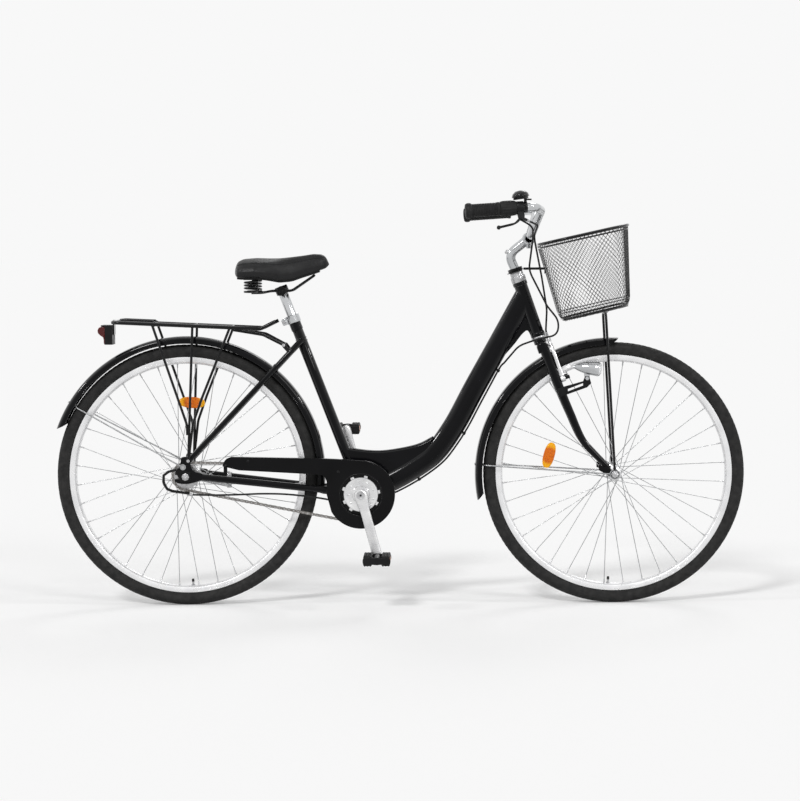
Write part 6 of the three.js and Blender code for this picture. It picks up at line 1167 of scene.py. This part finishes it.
# ---------------------------------------------------------------- chain case
def build_case():
    top = [(-368, 78), (-366.5, 84), (-362, 93), (-356, 99), (-345, 103), (-91, 97)]
    edge = [*top, *arc(0, 0, 91, 84, -150, 70), (-91, 0), (-91, 36), (-95, 46), (-104, 54), (-324, 67)]
    case = plate(edge, -62, -60.4, [arc(0, 0, 56, 0, 356, 90)], edge=0.5)
    path = np.array([P(x, 0, z) for x, z in ((-345, 103), (-91, 97), *arc(0, 0, 91, 82, -100, 60))])
    section = [(-62, 4.0), (-61.9, 2.2), (-61.2, 0.9), (-59.8, 0.1), (-39.0, 0.0), (-38.2, 0.4), (-38.0, 0.9),
               (-38.2, 1.5), (-39.0, 1.8), (-59.0, 1.8), (-60.2, 2.8), (-60.4, 4.0)]
    points = []
    for p, way in zip(path, np.gradient(path, axis=0)):
        w = unit(way)
        points += [p + P(w[2], 0, -w[0]) * inward + P(0, y, 0) for y, inward in section]
    case.join(Shape().take(points, lattice(len(path), len(section))))
    lip = [P(math.cos(rad(a)) * 56.6, -61.2, math.sin(rad(a)) * 56.6) for a in range(0, 360, 4)]
    case.join(tube(lip, 1.3, 10, closed=True))
    tab_x = BRACKET_X + HUB_X - 106
    case.join(block((-tab_x - 5, -62, 56), (-tab_x + 5, -58.8, 79)))
    piece("case_shell", case.shifted(*BRACKET), "frame", "case", replaces="chain_case", angle=40)
    screws = Shape()
    for x, z in ((-tab_x, 80), (-300, 92), (-60, 62)):
        screws.join(button((BRACKET_X + x, -62, BRACKET_Z + z), (0, -1, 0), 3.4, 1.2))
    piece("case_screws", screws, "frame", "wire")


# ---------------------------------------------------------------- carrier and tail light
CLIP_BAR, MIDDLE_BAR, FRONT_BAR, RAIL_Y, CARRIER_WIRE = -657, -549.5, -450, 60, 3.5
BRACE_END = P(-309, 43.2, 699)


def rail(x, y=0.0):
    """A place between the carrier's sloping rails."""
    return P(x, y, 762 - 19 * (x + 763) / 394)


def leg(x, z):
    """A place in the plane of the right legs, which spread towards their foot."""
    return P(x, -RAIL_Y - 12.4 * (743 - z) / 349.5, z)


def build_carrier():
    half = [P(-330, -RAIL_Y, 762), P(-369, -RAIL_Y, 743), P(-763, -RAIL_Y, 762)]
    made = tube(bent([*half, *(p * (1, -1, 1) for p in half[::-1])], 20, 8), 5, 20)
    beads = Shape()
    for x in (CLIP_BAR, MIDDLE_BAR, FRONT_BAR):
        made.join(rod(rail(x, -RAIL_Y), rail(x, RAIL_Y), CARRIER_WIRE, 18))
        for side in (-1, 1):
            beads.join(spun([(3.5, -1), (4.6, 0.5), (4.2, 2.4), (3.5, 4)], rail(x, side * 55.6), (0, -side, 0), 18))
    for side in (-1, 1):
        made.join(spun([(0, -1.4), (3, -1), (5, 0), (5, 1)], (-330, side * RAIL_Y, 762), (39, 0, 19), 20))
        made.join(rod(rail(-763, side * 20), rail(FRONT_BAR, side * 20), CARRIER_WIRE, 18))
    legs = Shape()
    for corners in (
        [rail(MIDDLE_BAR, -RAIL_Y), leg(-563, 393.5)],
        [rail(CLIP_BAR, -RAIL_Y), leg(-566, 490), leg(-565, 462)],
        [rail(FRONT_BAR, -RAIL_Y), leg(-526, 559), leg(-550, 492), leg(-562.4, 393.5)],
    ):
        legs.join(tube(bent(corners, 60, 6), CARRIER_WIRE, 16))
    eye = plate(arc(-563, 393.5, 8, 0, 348, 30), -72.6, -69.0, edge=0.6)
    brace = bent([(-444, -60, 741), (-362, -55, 727), BRACE_END * (1, -1, 1)], 30, 8)
    legs.join(eye, sweep(brace, ring(2.4, 3.6, 16)))
    piece("carrier_wires", made.join(legs.both()), "frame", "wire", replaces="carrier", angle=60)
    piece("carrier_welds", beads, "frame", "wire")
    lamp_plate = plate([(-15, 728), (15, 728), (15, 768), (-15, 768)], -766.5, -763, edge=0.8)
    piece("carrier_lamp_plate", lamp_plate.moved(lambda p: P(p[1], p[0], p[2])), "frame", "wire")
    clamp, lugs = Shape(), Shape()
    for side in (-1, 1):
        tip, head = BRACE_END * (1, side, 1), P(-309, side * 45.4, 699)
        clamp.join(hexagon(head, (0, side, 0), 5, 3.6), rod(head - P(0, side * 4.4, 0), head, 2.6, 16))
        stay = evenly(seatstay_path * (1, -side, 1), 200)
        near = stay[np.argmin(np.linalg.norm(stay - tip, axis=1))]
        lugs.join(sweep([tip, (tip + near) / 2, near], ring(2, 5.5, 16)))
    piece("carrier_lugs", lugs, "frame", "paint")
    piece("carrier_brace_bolts", clamp, "frame", "steel")
    rise = P(0, 0, 7.5)
    back, out = rail(CLIP_BAR - 88) - rail(CLIP_BAR) + rise, P(0, 34, 0)
    clip = tube(bent([rise - out, back - out, back + out, rise + out], 17, 8), 3, 16)
    share = np.linspace(0, 1, 90)
    turn = share * 2 * math.pi * 2.5
    for side in (-1, 1):
        path = np.stack([np.sin(turn) * 6.8, side * (31.6 + 4.8 * share), np.cos(turn) * 6.8], 1)
        clip.join(sweep(path, ring(1.5, None, 10), level=False))
    piece("carrier_spring_clip", clip.shifted(*rail(CLIP_BAR)), "carrier_clip", "wire", replaces="carrier_clip",
          angle=60)


# ---------------------------------------------------------------- bar, stem, grips and hand levers
BAR = [(0, 28, 0), (6, 66, 12), (18, 130, 47), (27, 190, 72), (8, 276.3, 79.6), (-166, 300, 69)]
BAR_AT = P(346, 0, 978.5)
BAR_PATH = bent([BAR_AT + P(x, -y, z) for x, y, z in BAR][::-1] + [BAR_AT + P(*p) for p in BAR], 50, 10)
GRIP_END = BAR_AT + P(-166, -300, 69)
GRIP_WAY = unit(GRIP_END - (BAR_AT + P(8, -276.3, 79.6)))


def on_grip(distance):
    return GRIP_END - GRIP_WAY * distance


def grip_shape(length):
    profile = [(0, -5), (14, -5), (17.4, -4.2), (19, -2), (20, 2), (20, 6), (19.2, 9.4), (17, 11.4)]
    along = 13.0
    while along < length - 12:
        profile += [(16.2, along), (17.0, along + 0.5), (17.0, along + 2.6), (16.2, along + 3.1)]
        along += 4.2
    profile += [(16.4, length - 9), (17.6, length - 7.5), (18, length - 4), (17.4, length - 0.6), (16, length),
                (11.8, length)]
    return spun(profile, GRIP_END, -GRIP_WAY, 48)


def build_bar():
    piece("bar_tube", tube(BAR_PATH, 11, 40), "steering", "chrome", replaces="handlebar", angle=60)
    swell = spun([(11, -46), (11.4, -40), (12.7, -30), (12.7, 30), (11.4, 40), (11, 46)], BAR_AT, ACROSS, 48)
    knurl = Shape()
    for i in range(60):
        knurl.join(block((12.5, -27, -0.3), (12.95, 27, 0.3)).turned_y(6 * i).shifted(*BAR_AT))
    piece("bar_swell", swell.join(knurl), "steering", "chrome")
    shoulder = steer(598)
    bend = P(292, 0, 936)
    route = bent([shoulder, bend, BAR_AT - unit(BAR_AT - bend) * 10], 37, 16)
    body = tube(route, 12.5, 44)
    quill = spun([(0, 500), (11.1, 500), (11.1, 598), (12.5, 599.2), (12.5, 602)], steer(0), STEER_WAY, 40)
    clamp = spun([(13, -20), (16, -20), (17, -19), (17, 19), (16, 20), (13, 20)], BAR_AT, ACROSS, 56, True)
    piece("stem_body", body.join(quill, clamp), "steering", "chrome", replaces="stem", angle=45)
    ears = plate([(-6, -26), (6, -26), (7, -14), (-7, -14)], -14, 14, edge=1.6, steps=3).shifted(*BAR_AT)
    ears.join(hexagon(BAR_AT + P(0, -14, -21), (0, -1, 0), 5, 4))
    ears.join(rod(BAR_AT + P(0, 14, -21), BAR_AT + P(0, 18.6, -21), 4.4, 20))
    piece("stem_clamp_ears", ears, "steering", "chrome")
    up = unit(bend - shoulder)
    bolt = spun([(0, 5.4), (2.4, 5.4), (2.4, 2.6), (6, 2.6), (7, 1.6), (7, -4), (0, -4)], bend + up * 9, up, 32)
    piece("stem_bolt", bolt, "steering", "steel")
    nut = spun([(12.9, 0), (16.6, 0), (17.4, 0.8), (17.4, 7), (16.8, 7.8), (12.9, 7.8)], steer(586.2), STEER_WAY, 8,
               True)
    piece("headset_locknut", nut, "steering", "steel")
    for name, length, flip in (("right_grip", 84, False), ("left_grip", 126, True)):
        shape = grip_shape(length)
        piece(f"{name}_sleeve", shape.mirrored() if flip else shape, "steering", "rubber", replaces=name, angle=50)
    profile = [(12, 84.4), (17.4, 84.4), (18.6, 86), (19.6, 90), (20, 96), (20, 112), (19, 120), (17.4, 125.4),
               (12, 125.8)]
    sides, points = 96, []
    first = unit(P(0, 0, 1) - GRIP_WAY * GRIP_WAY[2])
    second = np.cross(GRIP_WAY, first)
    for r, a in profile:
        for k in range(sides):
            t = 2 * math.pi * k / sides
            cut = 0.9 if (k % 6 < 3 and 88 < a < 118) else 0
            points.append(on_grip(a) + (first * math.cos(t) + second * math.sin(t)) * (r - cut))
    sleeve = Shape().take(points, lattice(len(profile), sides, capped=False))
    piece("shifter_sleeve", sleeve, "twist_shifter", "rubber", replaces="twist_shifter", angle=40)
    mark = spun([(0, 0), (2.2, 0), (2.2, 0.5), (0, 0.8)], on_grip(122) + first * 16.6, first, 20)
    piece("shifter_mark", mark, "twist_shifter", "amber")


# ---------------------------------------------------------------- basket
def build_basket():
    # the left corners: top rear, top front, low front and low rear
    tr, tf, lf, lr = P(371, 160, 962), P(605, 160, 1013), P(613, 115, 800), P(430, 115, 759)
    flip = P(1, -1, 1)
    net = Shape()

    def loop(share):
        """The basket's rounded outline at a share of its height."""
        rear, front = lr + (tr - lr) * share, lf + (tf - lf) * share
        return bent([rear, front, front * flip, rear * flip], 62 + 20 * share, 14, True)

    def foot(share):
        """Near the floor the wall turns in."""
        here = loop(share)
        if share > 0.13:
            return here
        turn = 1 - share / 0.13
        middle = here.mean(axis=0)
        inward = (middle - here) * P(1, 1, 0)
        reach = np.linalg.norm(inward, axis=1, keepdims=True)
        return here + inward / reach * 17 * (1 - math.sqrt(1 - turn ** 2 * 0.96))

    def strand(a, b, half=0.52):
        """One straight wire of the net, square in section."""
        way = unit(b - a)
        side = unit(np.cross(way, P(0.13, 0.21, 0.97) if abs(way[2]) < 0.95 else P(1, 0, 0)))
        other = np.cross(way, side)
        pts = [p + side * u * half + other * v * half for p in (a, b) for u, v in ((-1, 0), (0, -1), (1, 0), (0, 1))]
        net.take(pts, [(0, 1, 5, 4), (1, 2, 6, 5), (2, 3, 7, 6), (3, 0, 4, 7)])
    columns, rows = 168, 31
    steps = np.linalg.norm(np.diff(np.vstack([loop(0.6), loop(0.6)[:1]]), axis=0), axis=1)
    marks = np.concatenate([[0], np.cumsum(steps)])
    grid = []
    for j in range(rows + 1):
        level = foot(j / rows)
        level = np.vstack([level, level[:1]])
        spots = np.arange(columns) / columns * marks[-1]
        grid.append(np.stack([np.interp(spots, marks, level[:, k]) for k in range(3)], axis=1))
    for j in range(rows):
        for i in range(columns):
            if (i + j) % 2 == 0:
                strand(grid[j][i], grid[j + 1][(i + 1) % columns])
                strand(grid[j][i], grid[j + 1][(i - 1) % columns])
    centre = foot(0).mean(axis=0)
    across, along = 26, 20

    def floor_spot(u, v):
        """A crossing of the floor's net."""
        p = lr * flip + (lf - lr) * (u / along) + (lr - lr * flip) * (v / across)
        return centre + (p - centre) * P(0.94, 0.91, 0.94)

    def inside(p):
        """Whether a crossing lies within the floor's rounded corners."""
        wide, deep = (lf[0] - lr[0]) / 2 * 0.94, 115 * 0.91
        dx, dy = wide - abs(p[0] - centre[0]), deep - abs(p[1])
        return not (dx < 52 and dy < 52 and math.hypot(52 - dx, 52 - dy) > 54)
    for u in range(along):
        for v in range(u % 2, across, 2):
            for a, b in ((floor_spot(u, v), floor_spot(u + 1, v + 1)), (floor_spot(u + 1, v), floor_spot(u, v + 1))):
                if inside(a) and inside(b):
                    strand(a, b, 0.7)
    piece("basket_net", net, "steering", "wire", replaces="basket", flat=True)
    wires = Shape()
    for path, radius, sides in ((loop(1), 4, 18), (loop(0.955), 1.7, 12), (foot(0.02), 3, 14), (foot(0.1), 1.3, 10)):
        wires.join(tube(path, radius, sides, True))
    for share in (0.33, 0.67):
        p = centre + (lr + (lf - lr) * share - centre) * P(1, 0.9, 1)
        wires.join(tube([p, p * flip], 1.6, 8))
    piece("basket_wires", wires, "steering", "wire", angle=60)
    hold = 595.3
    start = steer(hold + 1.1, 21.8)
    wall = P(tr[0] + (lr[0] - tr[0]) * (tr[2] - start[2]) / (tr[2] - lr[2]), 0, start[2])
    mount = spun([(13.4, 0), (24, 0), (24, 2.2), (13.4, 2.2)], steer(hold), STEER_WAY, 44, True)
    mount.join(rod(start, wall, 3.4, 20), rod(wall - P(2, 0, 0), wall + P(2, 0, 0), 14, 36))
    mount.join(spun([(16.4, 2.3), (19.6, 2.3), (20, 3), (20, 9.4), (19.4, 10), (16.4, 10)], steer(hold), STEER_WAY,
                    40, True))
    piece("basket_mount", mount, "steering", "wire")
    piece("basket_mount_bolt", hexagon(wall + P(2, 0, 0), (1, 0, 0), 4.6, 3.4), "steering", "steel")
    out = 57.6
    slope = (lf[2] - lr[2]) / (lf[0] - lr[0])
    top = lr[2] + (548 - lr[0]) * slope - 4.8 * math.hypot(1, slope)
    rods = tube(bent([(HUB_X, -out - 1, HUB_Z), (548, -62, top), (548, 62, top), (HUB_X, out + 1, HUB_Z)], 20.7, 8),
                3.5, 18)
    for side in (-1, 1):
        rods.join(eyelet(HUB_X, HUB_Z, 11, 5.4, side, out))
    clear = rods.moved(lambda p: p if math.hypot(p[0] - HUB_X, p[2] - HUB_Z) > 5.3 else p + P(0, 0, 9))
    piece("basket_strut_rods", clear, "steering", "wire", replaces="basket_struts", angle=60)
    ties = Shape()
    for side in (-1, 1):
        loops = [(543, side * 40, top), (543, side * 40, top + 6), (553, side * 40, top + 8), (553, side * 40, top)]
        ties.join(tube(bent(loops, 2, 3), 1.2, 8))
    piece("basket_ties", ties, "steering", "wire")


# ---------------------------------------------------------------- saddle and seat post
SADDLE = [
    (0, 0.55, 0.1, 0.42), (0.03, 0.84, 0, 0.66), (0.1, 0.97, -0.02, 0.79), (0.24, 1, 0, 0.83),
    (0.36, 0.83, -0.06, 0.81), (0.48, 0.57, -0.16, 0.815), (0.6, 0.41, -0.12, 0.87), (0.72, 0.32, 0.05, 0.93),
    (0.84, 0.265, 0.2, 1), (0.93, 0.22, 0.32, 0.96), (0.98, 0.15, 0.39, 0.82), (1, 0.06, 0.47, 0.63),
]
SADDLE_BACK, SADDLE_LENGTH, SADDLE_HALF, SADDLE_LOW, SADDLE_RISE = -439, 251, 101, 880, 62
SPRING = P(-392, -56, 0)


def saddle_numbers(along):
    """Half width, foot and top of the cushion at a share of its length."""
    table = np.array(SADDLE)
    dense = np.linspace(0, 1, 401)
    out = []
    for k in (1, 2, 3):
        rough = np.interp(dense, table[:, 0], table[:, k])
        soft = rough.copy()
        for _ in range(60):
            soft[1:-1] = (soft[:-2] + 2 * soft[1:-1] + soft[2:]) / 4
        out.append(np.interp(along, dense, soft))
    return out[0] * SADDLE_HALF, SADDLE_LOW + out[1] * SADDLE_RISE, SADDLE_LOW + out[2] * SADDLE_RISE


def saddle_point(along, turn, proud=0.0):
    """A point on the cushion: turn runs from the right foot edge at 0 over the top to the left one at 1."""
    half, foot, top = saddle_numbers(along)
    a = math.pi * turn
    y = -bowed(math.cos(a), 0.72) * half
    up = math.sin(a) ** 0.78
    groove = 0.0
    if 0.06 < along < 0.9:
        fade = math.sin((along - 0.06) / 0.84 * math.pi) ** 0.5
        groove = 3.4 * fade * math.exp(-(y / (5.5 + 5 * (1 - along))) ** 2)
    if up < 0.28:
        y *= 1 - 0.07 * (1 - up / 0.28)
    normal = unit(P(0, y / max(half, 1), up * 0.9 + 0.05))
    return P(SADDLE_BACK + along * SADDLE_LENGTH, y, foot + (top - foot) * up - groove) + normal * proud


def saddle_end(share, reach):
    """How far the cushion has opened at a share of its length from one end."""
    return math.sqrt(1 - (1 - min(1, share / reach)) ** 2)


def build_saddle():
    stations = [0.0, 0.004, 0.01, 0.018, *np.linspace(0.03, 0.965, 70), 0.975, 0.984, 0.992, 0.998, 1.0]
    across, below, points = 64, 12, []
    for s in stations:
        end = max(0.02, saddle_end(s, 0.045)) * max(0.05, saddle_end(1 - s, 0.05))
        half, foot, top = saddle_numbers(s)
        middle = foot + (top - foot) * 0.42
        row = []
        for k in range(across + 1):
            p = saddle_point(s, k / across)
            row.append(P(p[0], p[1] * end, middle + (p[2] - middle) * end))
        points += row
        for k in range(1, below):
            y = row[0][1] * (1 - 2 * k / below) * 0.985
            points.append(P(row[0][0], -y, row[0][2] - 0.6 * math.sin(math.pi * k / below)))
    cushion = piece("saddle_cushion", Shape().take(points, lattice(len(stations), across + below)), "seatpost",
                    "vinyl", replaces="saddle_cover", angle=80, subdivide=1)
    seam = Shape()
    for lift in (0.235, 0.765):
        seam.join(tube([saddle_point(s, lift, 0.2) for s in np.linspace(0.05, 0.94, 90)], 0.9, 10))
    piece("saddle_piping", seam, "seatpost", "vinyl")
    stitches = Shape()
    for lift in (0.262, 0.208, 0.738, 0.792):
        run = evenly([saddle_point(s, lift, 0.25) for s in np.linspace(0.06, 0.93, 120)], 190)
        for a, b in zip(run[0::2], run[1::2]):
            stitches.join(tube([a, a + (b - a) * 0.78], 0.38, 6))
    piece("saddle_stitches", stitches, "seatpost", "thread")
    points = []
    for s in np.linspace(0.04, 0.9, 40):
        half, foot, top = saddle_numbers(s)
        half *= 0.81
        low, high = foot - 5.3, foot - 0.4
        points += [P(SADDLE_BACK + s * SADDLE_LENGTH, y, z) for y, z in (
            (half, low + 1), (half - 1.4, low), (-half + 1.4, low), (-half, low + 1), (-half, high), (half, high))]
    piece("saddle_shell", Shape().take(points, lattice(40, 6)), "seatpost", "plastic", replaces="saddle_base",
          angle=50)
    spring_top = SADDLE_LOW - 5.6
    spring_foot = spring_top - 30
    right_coil = coiled(SPRING, 18, 2.6, 3.25, spring_foot + 2.6, spring_top - 2.9)
    for name, side in (("right_saddle_spring", 1), ("left_saddle_spring", -1)):
        coil = right_coil if side > 0 else right_coil.mirrored()
        piece(f"{name}_coil", coil, "seatpost", "wire", replaces=name, angle=60)
        seat_ring = spun([(4, -0.2), (21, -0.2), (21.4, -1.4), (21, -2.4), (4, -2.4)],
                         SPRING * (1, side, 1) + P(0, 0, spring_top + 0.6), (0, 0, 1), 40, True)
        piece(f"{name}_cap", seat_ring, "seatpost", "plastic")
    middle = seat(592 - 10)
    nose = P(SADDLE_BACK + 0.84 * SADDLE_LENGTH, 0, SADDLE_LOW + 0.2 * SADDLE_RISE - 9.1)
    low = P(0, 0, spring_foot - 6)
    rail = tube(bent([nose - P(0, 7, 0), middle + P(27, -21.6, 0), middle + P(-27, -21.6, 0),
                      SPRING + low + P(28.8, 0, 0), SPRING + low], 27, 8), 3.5, 18)
    rail.join(spun([(0, -6), (18.6, -6), (20.4, -5), (20.6, -0.3), (19.6, -0.3), (19.2, -4), (0, -4)],
                   SPRING + P(0, 0, spring_foot), (0, 0, 1), 40))
    rail.join(rod(middle - P(0, 14, 0), middle - P(0, 27, 0), 13, 40, edge=1.4))
    rail.join(hexagon(middle - P(0, 27, 0), (0, -1, 0), 7.6, 5))
    rail.join(rod(middle - P(0, 32, 0), middle - P(0, 35, 0), 4, 20))
    body = rail.both()
    body.join(rod(nose - P(0, 10.5, 0), nose + P(0, 10.5, 0), 3.5, 18))
    socket = spun([(13.2, 573), (16.4, 573), (17.4, 574), (18, 582), (18, 590), (16.6, 594.4), (0, 595)], seat(0),
                  SEAT_WAY, 44)
    piece("saddle_rails_and_clamp", body.join(socket), "seatpost", "wire", replaces="saddle_frame", angle=40)
    post = spun([(0, 324), (12, 324), (12.7, 325), (12.7, 591), (12, 592), (0, 592)], seat(0), SEAT_WAY, 56)
    piece("seatpost_tube", post, "seatpost", "chrome", replaces="seatpost")


COLLAR = 512.5


def build_seat_clamp():
    foot = COLLAR - 22
    sleeve = spun([(14.4, 470), (15.9, 470), (15.9, foot), (14.4, foot)], seat(0), SEAT_WAY, 56, True)
    piece("seat_tube_top", sleeve, "frame", "paint")
    collar = spun([(14.6, foot), (17.6, foot), (18.5, foot + 1), (18.5, COLLAR - 1), (17.6, COLLAR), (13.0, COLLAR),
                   (13.0, COLLAR - 1.2), (14.6, COLLAR - 1.3)], seat(0), SEAT_WAY, 64, True)
    ear = [seat(COLLAR - u, v) for u, v in ((20, 16.1), (20, 29), (17.5, 31.5), (4.5, 31.5), (2, 29), (2, 16.1))]
    for y0, y1 in ((1.2, 9), (-9, -1.2)):
        collar.join(plate(flat_pairs(ear), y0, y1, edge=1.4, steps=3))
    piece("seat_collar", collar, "frame", "chrome", replaces="seat_clamp")
    spot = seat(COLLAR - 11, 25)
    bolt = hexagon(spot + P(0, -9, 0), (0, -1, 0), 4.8, 4).join(hexagon(spot + P(0, 9, 0), ACROSS, 4.8, 4))
    bolt.join(rod(spot + P(0, -13.4, 0), spot + P(0, 13.4, 0), 2.8, 16))
    piece("seat_collar_bolt", bolt, "frame", "steel")


# ---------------------------------------------------------------- cables
LEVER_OUT = P(0, -0.42, -0.9075)
LEVER_OUT = unit(LEVER_OUT - GRIP_WAY * (LEVER_OUT @ GRIP_WAY))
PIN_WAY = unit(np.cross(LEVER_OUT, GRIP_WAY))
BRACKET_MIDDLE = on_grip(127 + 9)
PIVOT = BRACKET_MIDDLE - GRIP_WAY * 1 + LEVER_OUT * 27
BRAKE_WAY, SHIFT_WAY = unit((0.62, 0.74, -0.26)), unit((0.05, 0.75, -0.66))
BRAKE_BARREL = PIVOT + PIN_WAY * 7 - GRIP_WAY * 4
SHIFT_BARREL = BRACKET_MIDDLE + SHIFT_WAY * 12.5


def ferrule(start, way, length=10, radius=3.4):
    return spun([(0, 0), (radius, 0), (radius, length * 0.7), (radius * 0.8, length), (0, length)], start, way, 20)


def housing(name, route, body, replaced):
    """A cable's housing along rounded bends, with its length."""
    path = bent(route, 60, 8)
    made = piece(name, tube(path, 2.5, 16), body, "rubber", slot="black_plastic", replaces=replaced, angle=60)
    return made, path * MM, float(np.linalg.norm(np.diff(path, axis=0), axis=1).sum()) * MM


def build_cables():
    start, stop = BRAKE_BARREL + BRAKE_WAY * 16.3, steer(403.3, 24, 23)
    route = [start, start + BRAKE_WAY * 16, (364, -190, 1012), (356, -110, 984), (378, -50, 880), (393, -26, 790),
             steer(418, 24, 23), stop]
    made, path, length = housing("brake_cable_housing", route, "steering", "brake_cable")
    ends = ferrule(start, BRAKE_WAY, 12).join(ferrule(stop, STEER_WAY, 12))
    piece("brake_cable_ferrules", ends, "steering", "steel")
    start, ends = SHIFT_BARREL + SHIFT_WAY * 16.3, [P(318, -34, 694), P(283, -10, 652)]
    route = [start, start + SHIFT_WAY * 16, (350, -218, 1008), (352, -150, 976), (343, -92, 895), (392, -66, 800),
             (424, -56, 760), (420, -50, 722), (370, -44, 712), *ends]
    made, path, length = housing("shift_cable_housing", route, None, "shift_cable_loop")
    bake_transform(made)
    piece("shift_cable_ferrule", ferrule(start, SHIFT_WAY, 12), "steering", "steel")
    drop, run = 33.8, evenly(main_path, 401)

    def under(share):
        i = share * 400
        a, b = run[max(0, int(i) - 1)], run[min(400, int(i) + 2)]
        here = run[int(i)] + (run[min(400, int(i) + 1)] - run[int(i)]) * (i - int(i))
        way = unit(b - a)
        return P(here[0] + way[2] * drop, 0, here[2] - way[0] * drop), way
    way = unit(ends[1] - ends[0])
    shares = [0.68, 0.6, 0.52, 0.44, 0.37, 0.3, 0.23, 0.14, 0.05]
    back = [(-118, -12, 262), (-200, -36, 286), (-300, -44, 300), (-370, -52, 303), (-430, -62, 302),
            (-500, -72, 302), (-552, -80, 304)]
    route = flowing([ends[1] + way * 0.3, ends[1] + way * 7, *[under(s)[0] for s in shares], *back], 8)
    piece("shift_cable_under_frame", tube(route, 2.5, 14), "frame", "rubber", slot="black_plastic",
          replaces="shift_cable_run", angle=60)
    clips = Shape()
    for share in (0.66, 0.41, 0.2):
        here, way = under(share)
        clips.join(rod(here - way * 4, here + way * 4, 4, 20))
        normal = unit(P(-way[2], 0, way[0]))
        band = [here + way * u + P(0, v, 0) + normal * w
                for u in (-2.4, 2.4) for v, w in ((-4.4, 0), (4.4, 0), (3, 8), (-3, 8))]
        clips.take(band, lattice(2, 4))
    piece("shift_cable_clips", clips, "frame", "plastic", bevel=0.5)
    piece("shift_cable_end", ferrule((-553, -80, 304), (-1, -0.2, 0.06), 14, 3.8), "frame", "steel")


# ---------------------------------------------------------------- lights and hand lever
def build_lamps():
    axis = P(math.cos(rad(-6)), 0, math.sin(rad(-6)))
    start = P(462, -56, 638)
    body = spun([(0, 0), (2.4, 0.4), (5.5, 5), (9.4, 13), (12.6, 22), (15.2, 32), (17.3, 43), (18.6, 54), (19, 62),
                 (19.6, 63), (19.8, 66), (19.4, 68), (17.9, 68), (17, 66), (14, 58), (9, 52), (4, 50), (0, 49.6)],
                start, axis, 56)
    piece("headlight_shell", body, "headlight", "chrome", replaces="headlight", angle=40)
    foot = plate([(492, 601), (504, 601), (507, 628.5), (489, 628.5)], -59.7, -56.7, edge=0.5)
    foot.join(rod((498, -63.5, 607), (498, -56, 607), 3, 16)).join(hexagon((498, -62.8, 607), (0, -1, 0), 5.4, 3))
    piece("headlight_foot", foot, "headlight", "chrome")
    glass = spun([(0, 68.3), (17.8, 68.3), (17.9, 69.6), (15.2, 73), (9, 75.6), (0, 76.3)], start, axis, 56)
    piece("headlight_glass", glass, "headlight", "clear", replaces="headlight_lens", angle=60)
    piece("headlight_bulb", spun([(0, 49), (3, 50), (3, 60), (2.2, 63), (0, 64)], start, axis, 24), "headlight",
          "clear")
    side = [(-786.8, 702.2), (-786.8, 750.6), (-797, 750.4), (-803.4, 747), (-806.8, 740), (-805.6, 733), (-800, 727),
            (-792.4, 722), (-790, 714), (-789.4, 703)]
    lens = plate(side, -26.7, 26.7, edge=3, steps=4)
    piece("tail_light_glass", lens, "frame", "red", replaces="tail_light_lens", angle=40)
    hood = plate([(-796.8, 754), (-766.8, 754), (-766.8, 702), (-786.5, 702), (-786.5, 751), (-796.8, 751)],
                 -30, 30, edge=1.2, steps=3)
    piece("tail_light_body", hood, "frame", "plastic", replaces="tail_light")


def lever_place(along, out):
    return PIVOT + GRIP_WAY * along + LEVER_OUT * out


def build_lever():
    route = bent([PIVOT, lever_place(18, 17), lever_place(62, 25)], 30, 14)
    n = len(route)
    share = np.linspace(0, 1, n)
    wide = 4.4 - 1.2 * np.sin(share * math.pi * 0.9)
    body = sweep(route, np.stack([ring(w, w * 0.8, 18) for w in wide]), level=False)
    body.join(spun([(0, -4), (5.6, -4), (6, -3.4), (6, 3.4), (5.6, 4), (0, 4)], PIVOT, PIN_WAY, 28))
    end = lever_place(62, 25)
    body.join(spun([(0, -4.6), (3.4, -4.4), (5, -2.4), (5.2, 0), (5, 2.4), (3.4, 4.4), (0, 4.6)], end, PIN_WAY, 24))
    piece("brake_lever_blade", body, "brake_lever", "plastic", replaces="brake_lever", angle=50)


# ---------------------------------------------------------------- what stays as drawn
KEPT = {
    "headset_upper_cup": "steel", "headset_lower_cup": "steel", "bottom_bracket": "steel", "rear_axle": "steel",
    "front_axle": "steel", "gear_guard": "wire", "coaster_arm": "steel", "lever_bracket": "plastic",
    "bell": "wire", "bell_lever": "plastic", "headlight_bracket": "wire", "right_brake_arm": "alloy",
    "left_brake_arm": "alloy", "crank_spindle": "steel",
}


def dress_kept():
    for name, look in KEPT.items():
        held = nodes[name]
        held.data.materials.clear()
        held.data.materials.append(LOOK[look])
        held.data.polygons.foreach_set("use_smooth", [True] * len(held.data.polygons))
        weld = held.modifiers.new("weld", "WELD")
        weld.merge_threshold = 1e-5
        cut = held.modifiers.new("bevel", "BEVEL")
        cut.width, cut.segments = 0.45 * MM, 2
        cut.limit_method, cut.angle_limit = "ANGLE", rad(52)
        cut.harden_normals = True


for build in (
    build_frame, build_fork, build_guards, build_wheels, build_chain, build_drive, build_cranks, build_case,
    build_carrier, build_bar, build_basket, build_saddle, build_seat_clamp, build_cables, build_lamps, build_lever,
    dress_kept,
):
    build()
